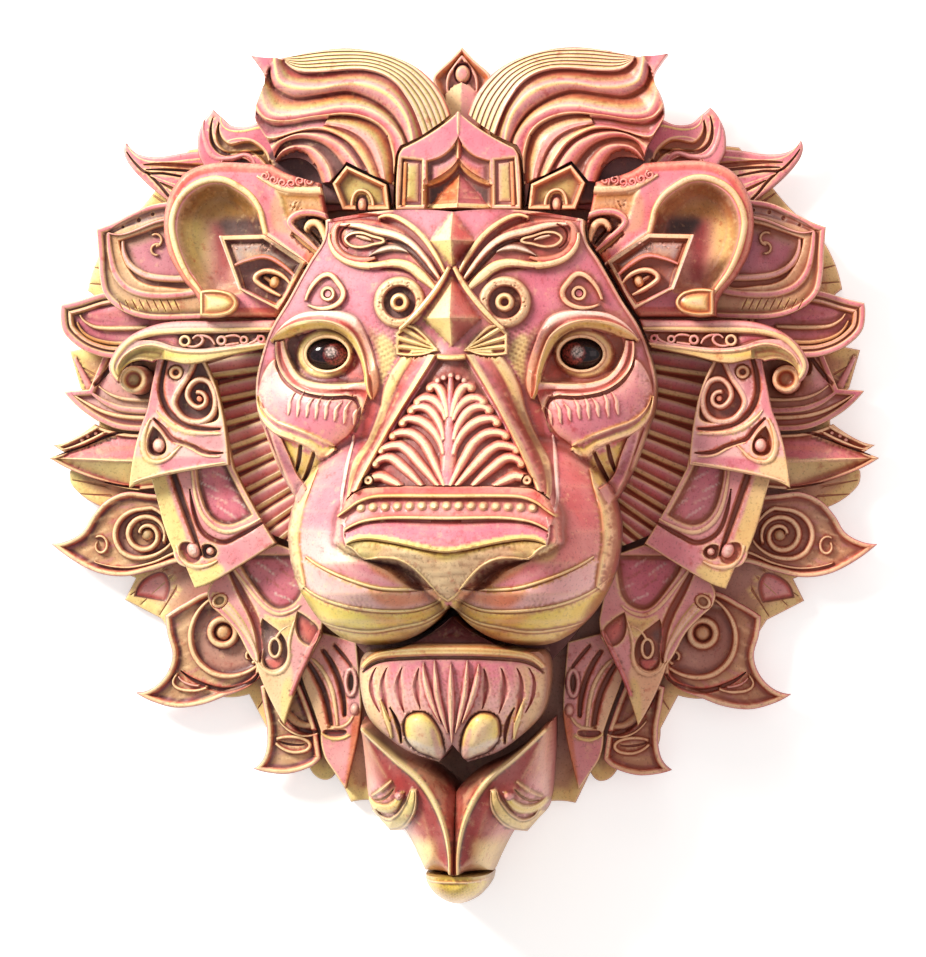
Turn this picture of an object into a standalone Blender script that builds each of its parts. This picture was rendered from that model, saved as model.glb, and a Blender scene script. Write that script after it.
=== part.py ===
"""A lion's head for a wall, built up from carved boards that lie on each other in tiers.

Drawing steps measure the front view: x to one side of the middle, v up from the middle of the back.
The head is symmetric, so every outline is drawn once, for the side at +X, and mirrored.
Depths grow away from the wall, which is the plane Y = 0. The head looks along -Y.
"""

import math

import bmesh
import bpy
import numpy as np
from mathutils import Matrix, geometry, kdtree

# Overall size
HEIGHT = 0.600  # from the crest's point to the beard's knob
HEIGHT_STEPS = 857  # drawing steps in the height
DEPTH_STEPS = 600  # steps of carved depth in the same length
STEP = HEIGHT / HEIGHT_STEPS
DEEP = HEIGHT / DEPTH_STEPS

# Boards and fits
BACK_THICKNESS = 0.010
BOARD_THICKNESS = 0.0117
GAP = 0.0003  # left between neighbours

# Carving
CARVE_DEPTH = 0.0050  # from a rim down to its floor
GROOVE_DEPTH = 0.0030
RIM_WIDTH = 0.0038
BAND_RISE = 0.0045  # how far a carved band stands out from the face
RIB_DROP = 0.0080  # from a rib's crest down to the block it is carved from
RIB_FOOT = 0.0015  # height of a rib's edge above that block
RIBS = 9
RIB_TOP = 0.0679  # height of the first rib above the middle of the head
RIB_PITCH = 0.0133
RIB_SHARE = 0.98  # share of the pitch that a rib takes
BAND_LOOPS = 5
BAND_LOOP_PITCH = 0.01225
PLUME_LOCKS = 6
LOCK_CREST = 0.35  # share of a lock's width at which it is highest
PLUME_RISE = 0.008  # how far the crest's locks stand above a board
EAR_RISE = 0.012  # how far the ear's rim stands above a board
GABLE_TIERS = 3  # boards in the gable's height
SPIKE_HEIGHT = 0.0252  # from its foot up to its point
SPIKE_WIDTH = 0.0420
SPIKE_RISE = 0.020
CUP_RADIUS = 0.0091  # of the small cup on a leaf
CUP_LIP = 0.0030
PETAL_PAIRS = 4
CHIN_FLUTES = 5

# The face, from the wall
FACE_EDGE = 84 * DEEP
FACE_DOME = 36 * DEEP
MUZZLE_RISE = 84 * DEEP
MUZZLE_BLEND = 24 * DEEP
NOSE_RISE = 92 * DEEP
NOSE_ROUND = 5 * DEEP  # how far the nose falls off from its middle to its sides
CHEEK_RISE = 12 * DEEP
SOCKET_DEPTH = 14 * DEEP
SOCKET_FLOOR = 89 * DEEP
CHIN_EDGE = 88 * DEEP
CHIN_ROUND = 40 * DEEP
MOUTH_DEPTH = 22 * DEEP
LIMB_EDGE = 46 * DEEP
LIMB_RIDGE = 104 * DEEP

# Places on the drawing
EYE_CENTRE = (125, 114)
CUP_CENTRE = (327, 91)
SCROLL_CENTRE = (262, 72)
GABLE_FOOT = 259  # the lower edge of the crest's gable
MUZZLE_MIDDLE = 78  # from the middle of the head to the highest line of the muzzle
MUZZLE_INNER = 90

# The muzzle and the nose, from below upwards: height, share of the rise, half width
MUZZLE = [
    (-176, 0.00, 110), (-165, 0.50, 120), (-147, 0.76, 140), (-120, 0.95, 156), (-90, 1.00, 165),
    (-60, 0.90, 169), (-40, 0.80, 164), (-16, 0.66, 153), (7, 0.50, 134), (27, 0.28, 124), (44, 0.00, 112),
]
NOSE = [
    (-140, 0.60, 4), (-129, 0.74, 4), (-115, 0.86, 22), (-98, 0.94, 40), (-80, 1.00, 92), (-70, 1.00, 106),
    (-45, 0.96, 103), (-20, 0.88, 89), (30, 0.70, 61), (80, 0.52, 33), (118, 0.43, 12), (178, 0.34, 12),
]

# Eyes
EYE_RADIUS = 0.0143
EYE_SQUASH = 0.74
EYE_SEAT = 0.0015  # thickness of the glass at its edge
EYE_ROUND = 0.0090  # how far the glass stands out from that edge
EYE_RINGS = 3
EYE_SIDES = 14

# Fineness of the curves
TURN = math.radians(46)  # the most a curve turns between two points
BACK_TURN = math.radians(70)
FACE_SPACING = 0.0196  # between points on the smooth parts of the face
LIMB_SPACING = 0.0182
KNOB_SPACING = 0.0091
SHARP = math.radians(35)  # edges with a larger bend stay sharp in the shading
ROUND_SIDES = 10
SPIRAL_SIDES = 8  # points in one turn of a spiral
PLUME_POINTS = 10  # points along one lock of the crest
MERGE = 0.02  # drawing steps within which two points are one

CORNER = True
RIM = RIM_WIDTH / STEP
WALL = 0.5 * RIM

# Depths of a board's carved levels, from its own back
FRONT = BOARD_THICKNESS
FLOOR = BOARD_THICKNESS - CARVE_DEPTH
DEEP_FLOOR = BOARD_THICKNESS - 1.5 * CARVE_DEPTH


def board_back(tier):
    """How far the back of a board in this tier is from the wall."""
    if tier == 0:
        return 0.0
    return BACK_THICKNESS + GAP + (tier - 1) * (BOARD_THICKNESS + GAP)


# Lines and outlines

def directions(points, corners, closed):
    """The direction in which the curve leaves each point and the one in which it arrives."""
    count = len(points)
    leave = np.zeros((count, 2))
    arrive = np.zeros((count, 2))
    for i in range(count):
        before = points[i - 1] if closed or i > 0 else None
        after = points[(i + 1) % count] if closed or i < count - 1 else None
        if corners[i] or before is None or after is None:
            continue
        way = after - before
        leave[i] = arrive[i] = way / np.linalg.norm(way)
    return leave, arrive


def smooth_line(drawn, closed=False, turn=TURN, most=1e9):
    """A line through the drawn points, rounded between them and sharp at each CORNER."""
    points = np.array([p[:2] for p in drawn], float)
    corners = [len(p) > 2 for p in drawn]
    leave, arrive = directions(points, corners, closed)
    count = len(points)
    line = []
    for i in range(count if closed else count - 1):
        start = points[i]
        end = points[(i + 1) % count]
        chord = end - start
        length = np.linalg.norm(chord)
        out = leave[i]
        into = arrive[(i + 1) % count]
        if not out.any() and not into.any():
            out = into = chord / length
        elif not out.any():
            out = 2 * chord / length - into
        elif not into.any():
            into = 2 * chord / length - out
        cosine = np.dot(out, into) / (np.linalg.norm(out) * np.linalg.norm(into))
        bend = math.acos(max(-1.0, min(1.0, cosine)))
        parts = max(1, round(bend / turn), math.ceil(length / most))
        for k in range(parts):
            t = k / parts
            line.append(
                (2 * t**3 - 3 * t**2 + 1) * start
                + (t**3 - 2 * t**2 + t) * length * out
                + (3 * t**2 - 2 * t**3) * end
                + (t**3 - t**2) * length * into
            )
    if not closed:
        line.append(points[-1])
    return np.array(line)


def outline_of(drawn):
    return smooth_line(drawn, closed=True)


def whole(half):
    """A symmetric outline from its half at +x, drawn from the top of the middle line to its foot."""
    other = [(-p[0], *p[1:]) for p in reversed(half) if abs(p[0]) > MERGE]
    return outline_of(half + other)


def circle(centre, radius, sides=ROUND_SIDES, squash=1.0, tilt=0.0):
    angles = np.arange(sides) * 2 * math.pi / sides
    x = radius * np.cos(angles)
    v = radius * squash * np.sin(angles)
    turned = np.stack([x * math.cos(tilt) - v * math.sin(tilt), x * math.sin(tilt) + v * math.cos(tilt)], 1)
    return turned + centre


def spiral(centre, outer, inner, start, turns):
    """A line that winds in from the outer radius to the inner one; turns below 0 go clockwise."""
    count = round(abs(turns) * SPIRAL_SIDES) + 1
    t = np.linspace(0, 1, count)
    angle = math.radians(start) + 2 * math.pi * turns * t
    radius = outer + (inner - outer) * t
    return np.stack([centre[0] + radius * np.cos(angle), centre[1] + radius * np.sin(angle)], 1)


def to_segments(points, line, closed):
    """Distance of each point to each segment of the line, and how far along the segment."""
    a = line if closed else line[:-1]
    b = np.roll(line, -1, axis=0) if closed else line[1:]
    way = b - a
    span = np.maximum((way**2).sum(1), 1e-12)
    t = ((points[:, None] - a[None]) * way[None]).sum(2) / span[None]
    t = np.clip(t, 0, 1)
    near = a[None] + t[..., None] * way[None]
    return np.linalg.norm(points[:, None] - near, axis=2), t


def distance_to(points, line, closed=True):
    return to_segments(points, line, closed)[0].min(1)


def is_inside(points, outline):
    x, v = points[:, 0, None], points[:, 1, None]
    x1, v1 = outline[None, :, 0], outline[None, :, 1]
    x2, v2 = np.roll(outline[:, 0], -1)[None], np.roll(outline[:, 1], -1)[None]
    crosses = (v1 > v) != (v2 > v)
    with np.errstate(divide="ignore", invalid="ignore"):
        where = x1 + (v - v1) * (x2 - x1) / (v2 - v1)
    return (crosses & (x < where)).sum(1) % 2 == 1


def covers(outline, points):
    return is_inside(points, outline) | (distance_to(points, outline) < MERGE)


def inset(outline, width):
    """The outline moved inwards, but never past the middle of a narrow stretch."""
    before = outline - np.roll(outline, 1, axis=0)
    after = np.roll(outline, -1, axis=0) - outline
    before /= np.linalg.norm(before, axis=1)[:, None]
    after /= np.linalg.norm(after, axis=1)[:, None]
    x, v = outline[:, 0], outline[:, 1]
    area = (x * np.roll(v, -1) - np.roll(x, -1) * v).sum()
    side = 1 if area > 0 else -1
    way = before + after
    way /= np.maximum(np.linalg.norm(way, axis=1), 1e-9)[:, None]
    normal = np.stack([-way[:, 1], way[:, 0]], 1) * side
    half = np.maximum(np.sqrt(np.clip((1 + (before * after).sum(1)) / 2, 0, 1)), 0.35)
    moved = []
    for i, point in enumerate(outline):
        rest = np.delete(outline, i, axis=0) - point
        ahead = rest @ normal[i]
        clear = ahead > 0.05 * np.linalg.norm(rest, axis=1)
        limit = 1e9
        if clear.any():
            limit = ((rest[clear] ** 2).sum(1) / (2 * ahead[clear])).min()
        moved.append(point + normal[i] * min(width / half[i], 0.94 * limit))
    return np.array(moved)


# Carved forms. Each has the lines where its surface bends, and a function that gives the new depths.

class Form:
    def __init__(self, carve, lines=()):
        self.carve = carve
        self.lines = [(np.asarray(line), closed) for line, closed in lines]


def flat(points):
    return np.zeros(len(points))


def rim(outline, knots):
    """The depths inwards from the edge, as (distance, depth) pairs."""
    lines = [(inset(outline, at), True) for at, _ in knots if at > 0]

    def carve(points, depth):
        away = distance_to(points, outline)
        return np.interp(away, [k[0] for k in knots], [k[1] for k in knots])

    return Form(carve, lines)


def panel(outline, knots, sink=False, ground=flat):
    """A raised or sunk field with its own edge; the pairs run inwards from its outline."""
    lines = [(outline, True)] + [(inset(outline, at), True) for at, _ in knots if at > 0]

    def carve(points, depth):
        away = distance_to(points, outline)
        level = ground(points) + np.interp(away, [k[0] for k in knots], [k[1] for k in knots])
        changed = np.minimum(depth, level) if sink else np.maximum(depth, level)
        return np.where(covers(outline, points), changed, depth)

    return Form(carve, lines)


def stroke(path, width, knots, sink=False, ground=flat, closed=False):
    """A ridge, or a groove, along a path. The width tapers through the given half widths, and the
    pairs run from the middle of the stroke, 0, to its foot, 1."""
    path = np.asarray(path, float)
    at = np.linspace(0, 1, len(path))
    half = np.interp(at, np.linspace(0, 1, len(width)), width)
    before = np.roll(path, 1, axis=0) if closed else np.vstack([path[:1], path[:-1]])
    after = np.roll(path, -1, axis=0) if closed else np.vstack([path[1:], path[-1:]])
    way = after - before
    way /= np.maximum(np.linalg.norm(way, axis=1), 1e-9)[:, None]
    normal = np.stack([-way[:, 1], way[:, 0]], 1)
    lines = []
    for share, level in knots:
        if share == 0:
            if level != knots[1][1]:
                lines.append((path, closed))
            continue
        left = path + normal * (half * share)[:, None]
        right = path - normal * (half * share)[:, None]
        if closed:
            lines += [(left, True), (right, True)]
        else:
            lines.append((np.vstack([left, right[::-1]]), True))

    def carve(points, depth):
        away, t = to_segments(points, path, closed)
        ends = np.roll(half, -1) if closed else half[1:]
        starts = half if closed else half[:-1]
        wide = np.maximum(starts[None] + t * (ends - starts)[None], 1e-6)
        share = (away / wide).min(1)
        level = ground(points) + np.interp(share, [k[0] for k in knots], [k[1] for k in knots])
        changed = np.minimum(depth, level) if sink else np.maximum(depth, level)
        return np.where(share <= 1 + 1e-6, changed, depth)

    return Form(carve, lines)


def boss(centre, knots, ground=flat, squash=1.0, tilt=0.0, sides=ROUND_SIDES):
    """A turned ornament: the depth at each radius, put over what is there."""
    lines = [(circle(centre, r, sides, squash, tilt), True) for r, _ in knots if r > 0]
    outer = max(k[0] for k in knots)

    def carve(points, depth):
        d = points - np.array(centre)
        along = d[:, 0] * math.cos(tilt) + d[:, 1] * math.sin(tilt)
        across = (-d[:, 0] * math.sin(tilt) + d[:, 1] * math.cos(tilt)) / squash
        r = np.hypot(along, across)
        level = ground(points) + np.interp(r, [k[0] for k in knots], [k[1] for k in knots])
        return np.where(r <= outer + MERGE, level, depth)

    return Form(carve, lines)


def fan(outer, inner, knots, lines_at):
    """Flutes that run between two guides drawn with the same number of points."""
    across = np.linspace(0, 1, 61)
    tree = kdtree.KDTree(len(across) * len(outer) * 4)
    along = np.linspace(0, len(outer) - 1, len(outer) * 4)
    places = []
    for share in across:
        guide = (1 - share) * outer + share * inner
        x = np.interp(along, range(len(guide)), guide[:, 0])
        v = np.interp(along, range(len(guide)), guide[:, 1])
        places += [(a, b, share) for a, b in zip(x, v)]
    for i, place in enumerate(places):
        tree.insert((place[0], place[1], 0), i)
    tree.balance()

    def carve(points, depth):
        shares = [places[tree.find((p[0], p[1], 0))[1]][2] for p in points]
        return np.interp(shares, [k[0] for k in knots], [k[1] for k in knots])

    return Form(carve, [((1 - s) * outer + s * inner, False) for s in lines_at])


# From carved forms to solids

def hexagon_points(outline, spacing, lines):
    """Points of a hexagonal net inside the outline, clear of its lines."""
    low, high = outline.min(0), outline.max(0)
    rows = np.arange(low[1], high[1], spacing * math.sqrt(0.75))
    net = []
    for k, v in enumerate(rows):
        shift = spacing / 2 if k % 2 else 0
        half = [x for x in np.arange(shift, high[0], spacing)]
        net += [(x, v) for x in half] + [(-x, v) for x in half if x > 0 and -x > low[0]]
    net = np.array(net)
    net = net[is_inside(net, outline)]
    clear = distance_to(net, outline) > 0.45 * spacing
    for line, closed in lines:
        clear &= distance_to(net, line, closed) > 0.45 * spacing
    return net[clear]


def carved_mesh(name, outline, forms, back, spacing=None):
    """A mesh with a flat back at this depth and the forms carved into its front, one after another."""
    lines = [line for form in forms for line in form.lines]
    points = [tuple(p) for p in outline]
    edges = [(i, (i + 1) % len(outline)) for i in range(len(outline))]
    for line, closed in lines:
        first = len(points)
        points += [tuple(p) for p in line]
        edges += [(first + i, first + i + 1) for i in range(len(line) - 1)]
        if closed:
            edges.append((first + len(line) - 1, first))
    if spacing:
        points += [tuple(p) for p in hexagon_points(outline, spacing / STEP, lines)]
    found = geometry.delaunay_2d_cdt(points, edges, [], 1, MERGE, False)
    plan = np.array([tuple(p) for p in found[0]])
    faces = np.array([f for f in found[2]])
    faces = faces[is_inside(plan[faces].mean(1), outline)]
    depth = np.zeros(len(plan))
    for form in forms:
        depth = form.carve(plan, depth)
    mesh = bpy.data.meshes.new(name)
    shape = bmesh.new()
    front = {}
    for i in np.unique(faces):
        front[i] = shape.verts.new((plan[i, 0] * STEP, -back - depth[i], plan[i, 1] * STEP))
    for face in faces:
        shape.faces.new([front[i] for i in face])
    bmesh.ops.recalc_face_normals(shape, faces=shape.faces)
    if sum(face.normal.y for face in shape.faces) > 0:
        bmesh.ops.reverse_faces(shape, faces=shape.faces)
    edge = [e for e in shape.edges if e.is_boundary]
    walls = bmesh.ops.extrude_edge_only(shape, edges=edge)
    for vert in [g for g in walls["geom"] if isinstance(g, bmesh.types.BMVert)]:
        vert.co.y = -back
    rear = [e for e in shape.edges if e.is_boundary]
    bmesh.ops.contextual_create(shape, geom=rear)
    bmesh.ops.recalc_face_normals(shape, faces=shape.faces)
    shape.to_mesh(mesh)
    shape.free()
    return mesh


def cut_board(name, outline, thickness):
    """A plain board with this outline, its back on the wall."""
    curve = bpy.data.curves.new(name, "CURVE")
    curve.dimensions = "2D"
    curve.fill_mode = "BOTH"
    curve.extrude = thickness / 2
    spline = curve.splines.new("POLY")
    spline.points.add(len(outline) - 1)
    spline.use_cyclic_u = True
    for point, (x, v) in zip(spline.points, outline):
        point.co = (x * STEP, v * STEP, 0, 1)
    drawn = bpy.data.objects.new(name, curve)
    mesh = bpy.data.meshes.new_from_object(drawn)
    bpy.data.objects.remove(drawn)
    mesh.transform(Matrix.Translation((0, -thickness / 2, 0)) @ Matrix.Rotation(math.pi / 2, 4, "X"))
    shape = bmesh.new()
    shape.from_mesh(mesh)
    bmesh.ops.remove_doubles(shape, verts=shape.verts, dist=1e-5)
    shape.to_mesh(mesh)
    shape.free()
    mesh.name = name
    return mesh


def material(name, colour, roughness=0.5, metallic=0.0):
    made = bpy.data.materials.get(name)
    if made:
        return made
    made = bpy.data.materials.new(name)
    made.use_nodes = True
    shader = made.node_tree.nodes["Principled BSDF"]
    shader.inputs["Base Color"].default_value = (*colour, 1)
    shader.inputs["Roughness"].default_value = roughness
    shader.inputs["Metallic"].default_value = metallic
    return made


def place(name, mesh, finish):
    made = bpy.data.objects.new(name, mesh)
    mesh.materials.append(finish)
    mesh.shade_smooth()
    mesh.set_sharp_from_angle(angle=SHARP)
    LION.objects.link(made)
    return made


def on_both_sides(name, mesh, finish):
    """The piece at +X, which is the right of the picture, and its mirror image."""
    place(name + "_right", mesh, finish)
    mirrored = mesh.copy()
    for vertex in mirrored.vertices:
        vertex.co.x = -vertex.co.x
    mirrored.flip_normals()
    place(name + "_left", mirrored, finish)


def carve_pair(name, drawn, tier, features, finish):
    """A pair of mirrored boards. The features are a function of the outline."""
    outline = outline_of(drawn)
    on_both_sides(name, carved_mesh(name, outline, features(outline), board_back(tier)), finish)


def rimmed(outline):
    return rim(outline, [(0, FRONT), (RIM, FRONT), (RIM + WALL, FLOOR)])


def ridge_to(top, foot, crest=0.45):
    """The section of a raised stroke with a flat crest."""
    return [(0, top), (crest, top), (1, foot)]


# The tiers of the mane

def back_plate(finish):
    half = [
        (0, 352, CORNER), (215, 330), (277, 323, CORNER), (309, 285, CORNER), (328, 262), (362, 228),
        (380, 181, CORNER), (366, 160), (378, 124, CORNER), (398, 120, CORNER), (387, 82, CORNER), (368, 50),
        (386, 14), (398, -1, CORNER), (394, -18), (366, -37, CORNER), (370, -76), (331, -109, CORNER),
        (342, -131, CORNER), (305, -150, CORNER), (283, -185), (262, -222), (216, -226, CORNER),
        (198, -260, CORNER), (188, -288), (155, -300, CORNER), (140, -312), (128, -303, CORNER),
        (113, -334, CORNER), (66, -341), (36, -386), (24, -416), (0, -426, CORNER),
    ]
    other = [(-p[0], *p[1:]) for p in reversed(half) if abs(p[0]) > MERGE]
    outline = smooth_line(half + other, closed=True, turn=BACK_TURN)
    place("back_plate", cut_board("back_plate", outline, BACK_THICKNESS), finish)


def ruff(finish):
    """The collar: slanting ribs between the face and the side plates, on one block."""
    half = [
        (0, 236, CORNER), (118, 232), (180, 150), (214, 122), (262, 104, CORNER), (252, 60), (244, 0),
        (226, -34), (186, -66, CORNER), (146, -82, CORNER), (136, -120), (118, -158), (82, -200),
        (44, -250), (0, -262, CORNER),
    ]
    outline = whole(half)
    low = 2 * BOARD_THICKNESS + GAP - RIB_DROP
    half_rib = 0.5 * RIB_SHARE * RIB_PITCH / STEP
    forms = [rim(outline, [(0, low)])]
    for side in (1, -1):
        for k in range(RIBS):
            v = (RIB_TOP - k * RIB_PITCH) / STEP
            lean = math.radians(4 + 3.2 * k)
            inner = np.array([166, v + 6])
            outer = inner + 92 * np.array([math.cos(lean), -math.sin(lean)])
            path = np.array([inner, outer]) * [side, 1]
            sections = [(0, low + RIB_DROP), (1, low + RIB_FOOT)]
            forms.append(stroke(path, [half_rib, half_rib], sections))
    place("ruff", carved_mesh("ruff", outline, forms, board_back(1)), finish)


def crest_plume(finish):
    """Locks that sweep up from the brow and curl outwards, with flutes that follow them."""
    drawn = [
        (208, 413, CORNER), (194, 411), (174, 411), (145, 417), (108, 420), (70, 413), (40, 399),
        (20, 378), (9, 354, CORNER), (32, 336), (58, 323, CORNER), (63, 311), (66, 262, CORNER),
        (70, 285, CORNER), (112, 307, CORNER), (129, 287, CORNER), (138, 286, CORNER), (144, 301),
        (156, 310), (170, 311), (184, 307, CORNER), (186, 318), (194, 333), (203, 349),
        (203, 364), (196, 381, CORNER), (194, 392), (201, 404),
    ]
    outline = outline_of(drawn)
    outer = smooth_line([(8, 345), (24, 384), (60, 410), (110, 420), (160, 413), (208, 412)], most=8)
    inner = smooth_line([(128, 284), (136, 295), (146, 306), (158, 312), (172, 312), (188, 306)], most=3)
    outer = resampled(outer, PLUME_POINTS)
    inner = resampled(inner, PLUME_POINTS)
    crest = FRONT + PLUME_RISE
    knots = []
    for k in range(PLUME_LOCKS):
        knots += [(k / PLUME_LOCKS, crest - CARVE_DEPTH), ((k + LOCK_CREST) / PLUME_LOCKS, crest)]
    knots.append((1, crest - CARVE_DEPTH))
    forms = [fan(outer, inner, knots, [k[0] for k in knots[1:-1]])]
    mesh = carved_mesh("crest_plume", outline, forms, board_back(3))
    on_both_sides("crest_plume", mesh, finish)


def resampled(line, count):
    """The same line with this many points, evenly spaced."""
    lengths = np.linalg.norm(np.diff(line, axis=0), axis=1)
    at = np.concatenate([[0], np.cumsum(lengths)])
    even = np.linspace(0, at[-1], count)
    return np.stack([np.interp(even, at, line[:, 0]), np.interp(even, at, line[:, 1])], 1)


def mane_lock(finish):
    drawn = [
        (249, 361, CORNER), (240, 353), (230, 345), (214, 344), (198, 350), (150, 352), (64, 344, CORNER),
        (64, 264, CORNER), (200, 272), (240, 286), (262, 312), (264, 334), (258, 350),
    ]

    def features(outline):
        sections = [(0, FLOOR), (1, FRONT)]
        upper = smooth_line([(246, 350), (243, 338), (232, 331), (212, 332), (196, 336)], most=20)
        lower = smooth_line([(257, 330), (247, 320), (230, 315), (210, 318), (197, 306)], most=20)
        return [
            rim(outline, [(0, FRONT)]),
            stroke(upper, [1.5, 6, 6], sections, sink=True),
            stroke(lower, [2, 6, 6], sections, sink=True),
        ]

    carve_pair("mane_lock", drawn, 2, features, finish)


def horn_leaf(finish):
    drawn = [
        (339, 329, CORNER), (327, 318), (306, 315), (278, 319), (240, 322), (170, 330), (110, 306, CORNER),
        (110, 262, CORNER), (200, 255), (270, 258), (289, 266), (306, 278), (322, 292), (336, 308),
        (341, 320),
    ]

    def features(outline):
        sections = [(0, FLOOR), (1, FRONT)]
        upper = smooth_line([(333, 318), (318, 308), (292, 306), (262, 304)], most=26)
        lower = smooth_line([(326, 301), (306, 292), (284, 286)], most=26)
        return [
            rim(outline, [(0, FRONT)]),
            stroke(upper, [1, 5, 5], sections, sink=True),
            stroke(lower, [1, 5, 6], sections, sink=True),
        ]

    carve_pair("horn_leaf", drawn, 1, features, finish)


def nested(outline, steps):
    """A rim and further rims inside it, each lower than the last."""
    knots = [(0, FRONT), (RIM, FRONT)]
    at = RIM
    level = FRONT
    for width in steps:
        level -= CARVE_DEPTH / len(steps)
        knots += [(at + WALL, level), (at + WALL + width, level)]
        at += WALL + width
    return rim(outline, knots)


def shell_leaf(finish):
    drawn = [
        (364, 241, CORNER), (350, 246), (330, 256), (305, 266), (270, 268), (214, 262, CORNER),
        (214, 154, CORNER), (280, 150), (315, 151), (340, 160), (356, 175), (361, 195), (362, 215),
    ]

    def features(outline):
        field = outline_of([(343, 229, CORNER), (300, 243), (262, 246), (262, 200), (312, 194), (332, 206)])
        sections = ridge_to(FLOOR + 0.7 * CARVE_DEPTH, DEEP_FLOOR)
        return [
            nested(outline, [0.8 * RIM]),
            panel(field, [(0, FLOOR), (WALL, DEEP_FLOOR)], sink=True),
            stroke(spiral((306, 226), 9, 5, 80, 0.9), [3, 3], sections),
        ]

    carve_pair("shell_leaf", drawn, 3, features, finish)


def cheek_leaf(finish):
    drawn = [
        (402, 166, CORNER), (385, 170), (358, 178), (300, 185, CORNER), (280, 150), (300, 114, CORNER),
        (350, 112), (372, 117), (388, 126), (400, 139), (403, 154),
    ]

    def features(outline):
        field = outline_of([(379, 156, CORNER), (345, 166), (310, 160), (312, 142), (345, 140), (366, 144)])
        return [
            nested(outline, [0.6 * RIM]),
            panel(field, [(0, FLOOR), (WALL, FLOOR + 0.5 * CARVE_DEPTH)]),
        ]

    carve_pair("cheek_leaf", drawn, 2, features, finish)


def cup_leaf(finish):
    drawn = [
        (402, 79, CORNER), (376, 81, CORNER), (363, 112, CORNER), (352, 146, CORNER), (292, 146, CORNER),
        (272, 76), (290, 40, CORNER), (330, 39), (350, 42), (368, 50), (387, 63),
    ]

    def features(outline):
        sections = [(0, FLOOR), (1, FRONT)]
        upper = smooth_line([(366, 84), (350, 71), (330, 66), (310, 66)], most=22)
        lower = smooth_line([(384, 69), (364, 58), (340, 52), (310, 52)], most=30)
        top = board_back(5) - board_back(1)
        radius = CUP_RADIUS / STEP
        inner = radius - CUP_LIP / STEP
        cup = [
            (0, 0.7 * top), (0.6 * inner, 0.75 * top), (inner, top), (radius - 0.5 * WALL, top), (radius, FRONT),
        ]
        return [
            rim(outline, [(0, FRONT)]),
            stroke(upper, [1, 4.5, 5], sections, sink=True),
            stroke(lower, [1, 4.5, 5], sections, sink=True),
            boss(CUP_CENTRE, cup),
        ]

    carve_pair("cup_leaf", drawn, 1, features, finish)


def arrow_leaf(finish):
    drawn = [
        (417, 12, CORNER), (402, 18, CORNER), (413, 25, CORNER), (396, 30), (371, 46, CORNER), (352, 39),
        (330, 36), (262, 35, CORNER), (262, -14, CORNER), (326, -20, CORNER), (350, -16), (376, -8), (400, 2),
    ]

    def features(outline):
        middle = np.array([(412, 12), (370, 12), (300, 8)])
        crest = [(0, FRONT), (1, FLOOR)]
        sections = [(0, FLOOR), (1, FRONT)]
        return [
            rim(outline, [(0, FRONT), (0.5 * RIM, FRONT), (RIM, FLOOR)]),
            stroke(middle, [1, 14, 16], crest),
            stroke(smooth_line([(400, 25), (380, 32), (350, 30)]), [1, 3.5, 4], sections, sink=True),
        ]

    carve_pair("arrow_leaf", drawn, 1, features, finish)


def spiral_leaf(name, drawn, centre, outer, start, turns, finish):
    def features(outline):
        coil = spiral(centre, outer, 0.2 * outer, start, turns)
        return [
            rimmed(outline),
            stroke(coil, [0.24 * outer, 0.16 * outer], [(0, FRONT), (1, FLOOR)]),
        ]

    carve_pair(name, drawn, 1, features, finish)


def spiral_leaves(finish):
    upper = [
        (415, -74, CORNER), (398, -71), (383, -62), (373, -46), (358, -30), (338, -22), (315, -24),
        (244, -30, CORNER), (232, -90, CORNER), (285, -93), (312, -101), (340, -107), (366, -104), (391, -92),
    ]
    spiral_leaf("spiral_leaf_upper", upper, (325, -65), 25, 200, -1.75, finish)
    lower = [
        (329, -224, CORNER), (312, -219), (298, -205), (292, -186), (297, -165), (299, -146, CORNER),
        (280, -134), (252, -121), (200, -126, CORNER), (203, -207, CORNER), (218, -219), (240, -228),
        (262, -236), (288, -239), (312, -233),
    ]
    spiral_leaf("spiral_leaf_lower", lower, (243, -171), 27, 150, 1.75, finish)


def beard_leaf(finish):
    drawn = [
        (210, -300, CORNER), (199, -287), (196, -262), (200, -236), (203, -217, CORNER), (180, -208, CORNER),
        (164, -214, CORNER), (155, -236), (146, -262, CORNER), (142, -289, CORNER), (152, -298), (175, -305),
        (195, -304),
    ]

    def features(outline):
        loop = circle((172, -276), 13, sides=8, squash=0.45, tilt=math.radians(-8))
        return [
            rimmed(outline),
            stroke(loop, [2.8, 2.8], [(0, FRONT), (1, FLOOR)], closed=True),
        ]

    carve_pair("beard_leaf", drawn, 1, features, finish)


# The side plates, from the lowest to the one on top

def channel(path, width):
    """A U-shaped channel between two raised lips."""
    sections = [(0, DEEP_FLOOR), (0.55, DEEP_FLOOR), (0.8, FRONT)]
    return stroke(path, width, sections, sink=True)


def side_plate_4(finish):
    drawn = [
        (117, -320, CORNER), (128, -304), (139, -286), (142, -262, CORNER), (151, -236), (160, -212),
        (166, -186, CORNER), (150, -160, CORNER), (106, -172, CORNER), (103, -205), (101, -238), (104, -264),
        (110, -292),
    ]

    def features(outline):
        flute = smooth_line([(150, -196), (138, -220), (131, -254)])
        second = smooth_line([(136, -186), (124, -208), (119, -244)])
        return [
            rim(outline, [(0, FRONT)]),
            channel(flute, [5, 7, 6]),
            channel(second, [4, 5, 4]),
        ]

    carve_pair("side_plate_4", drawn, 1, features, finish)


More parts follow.
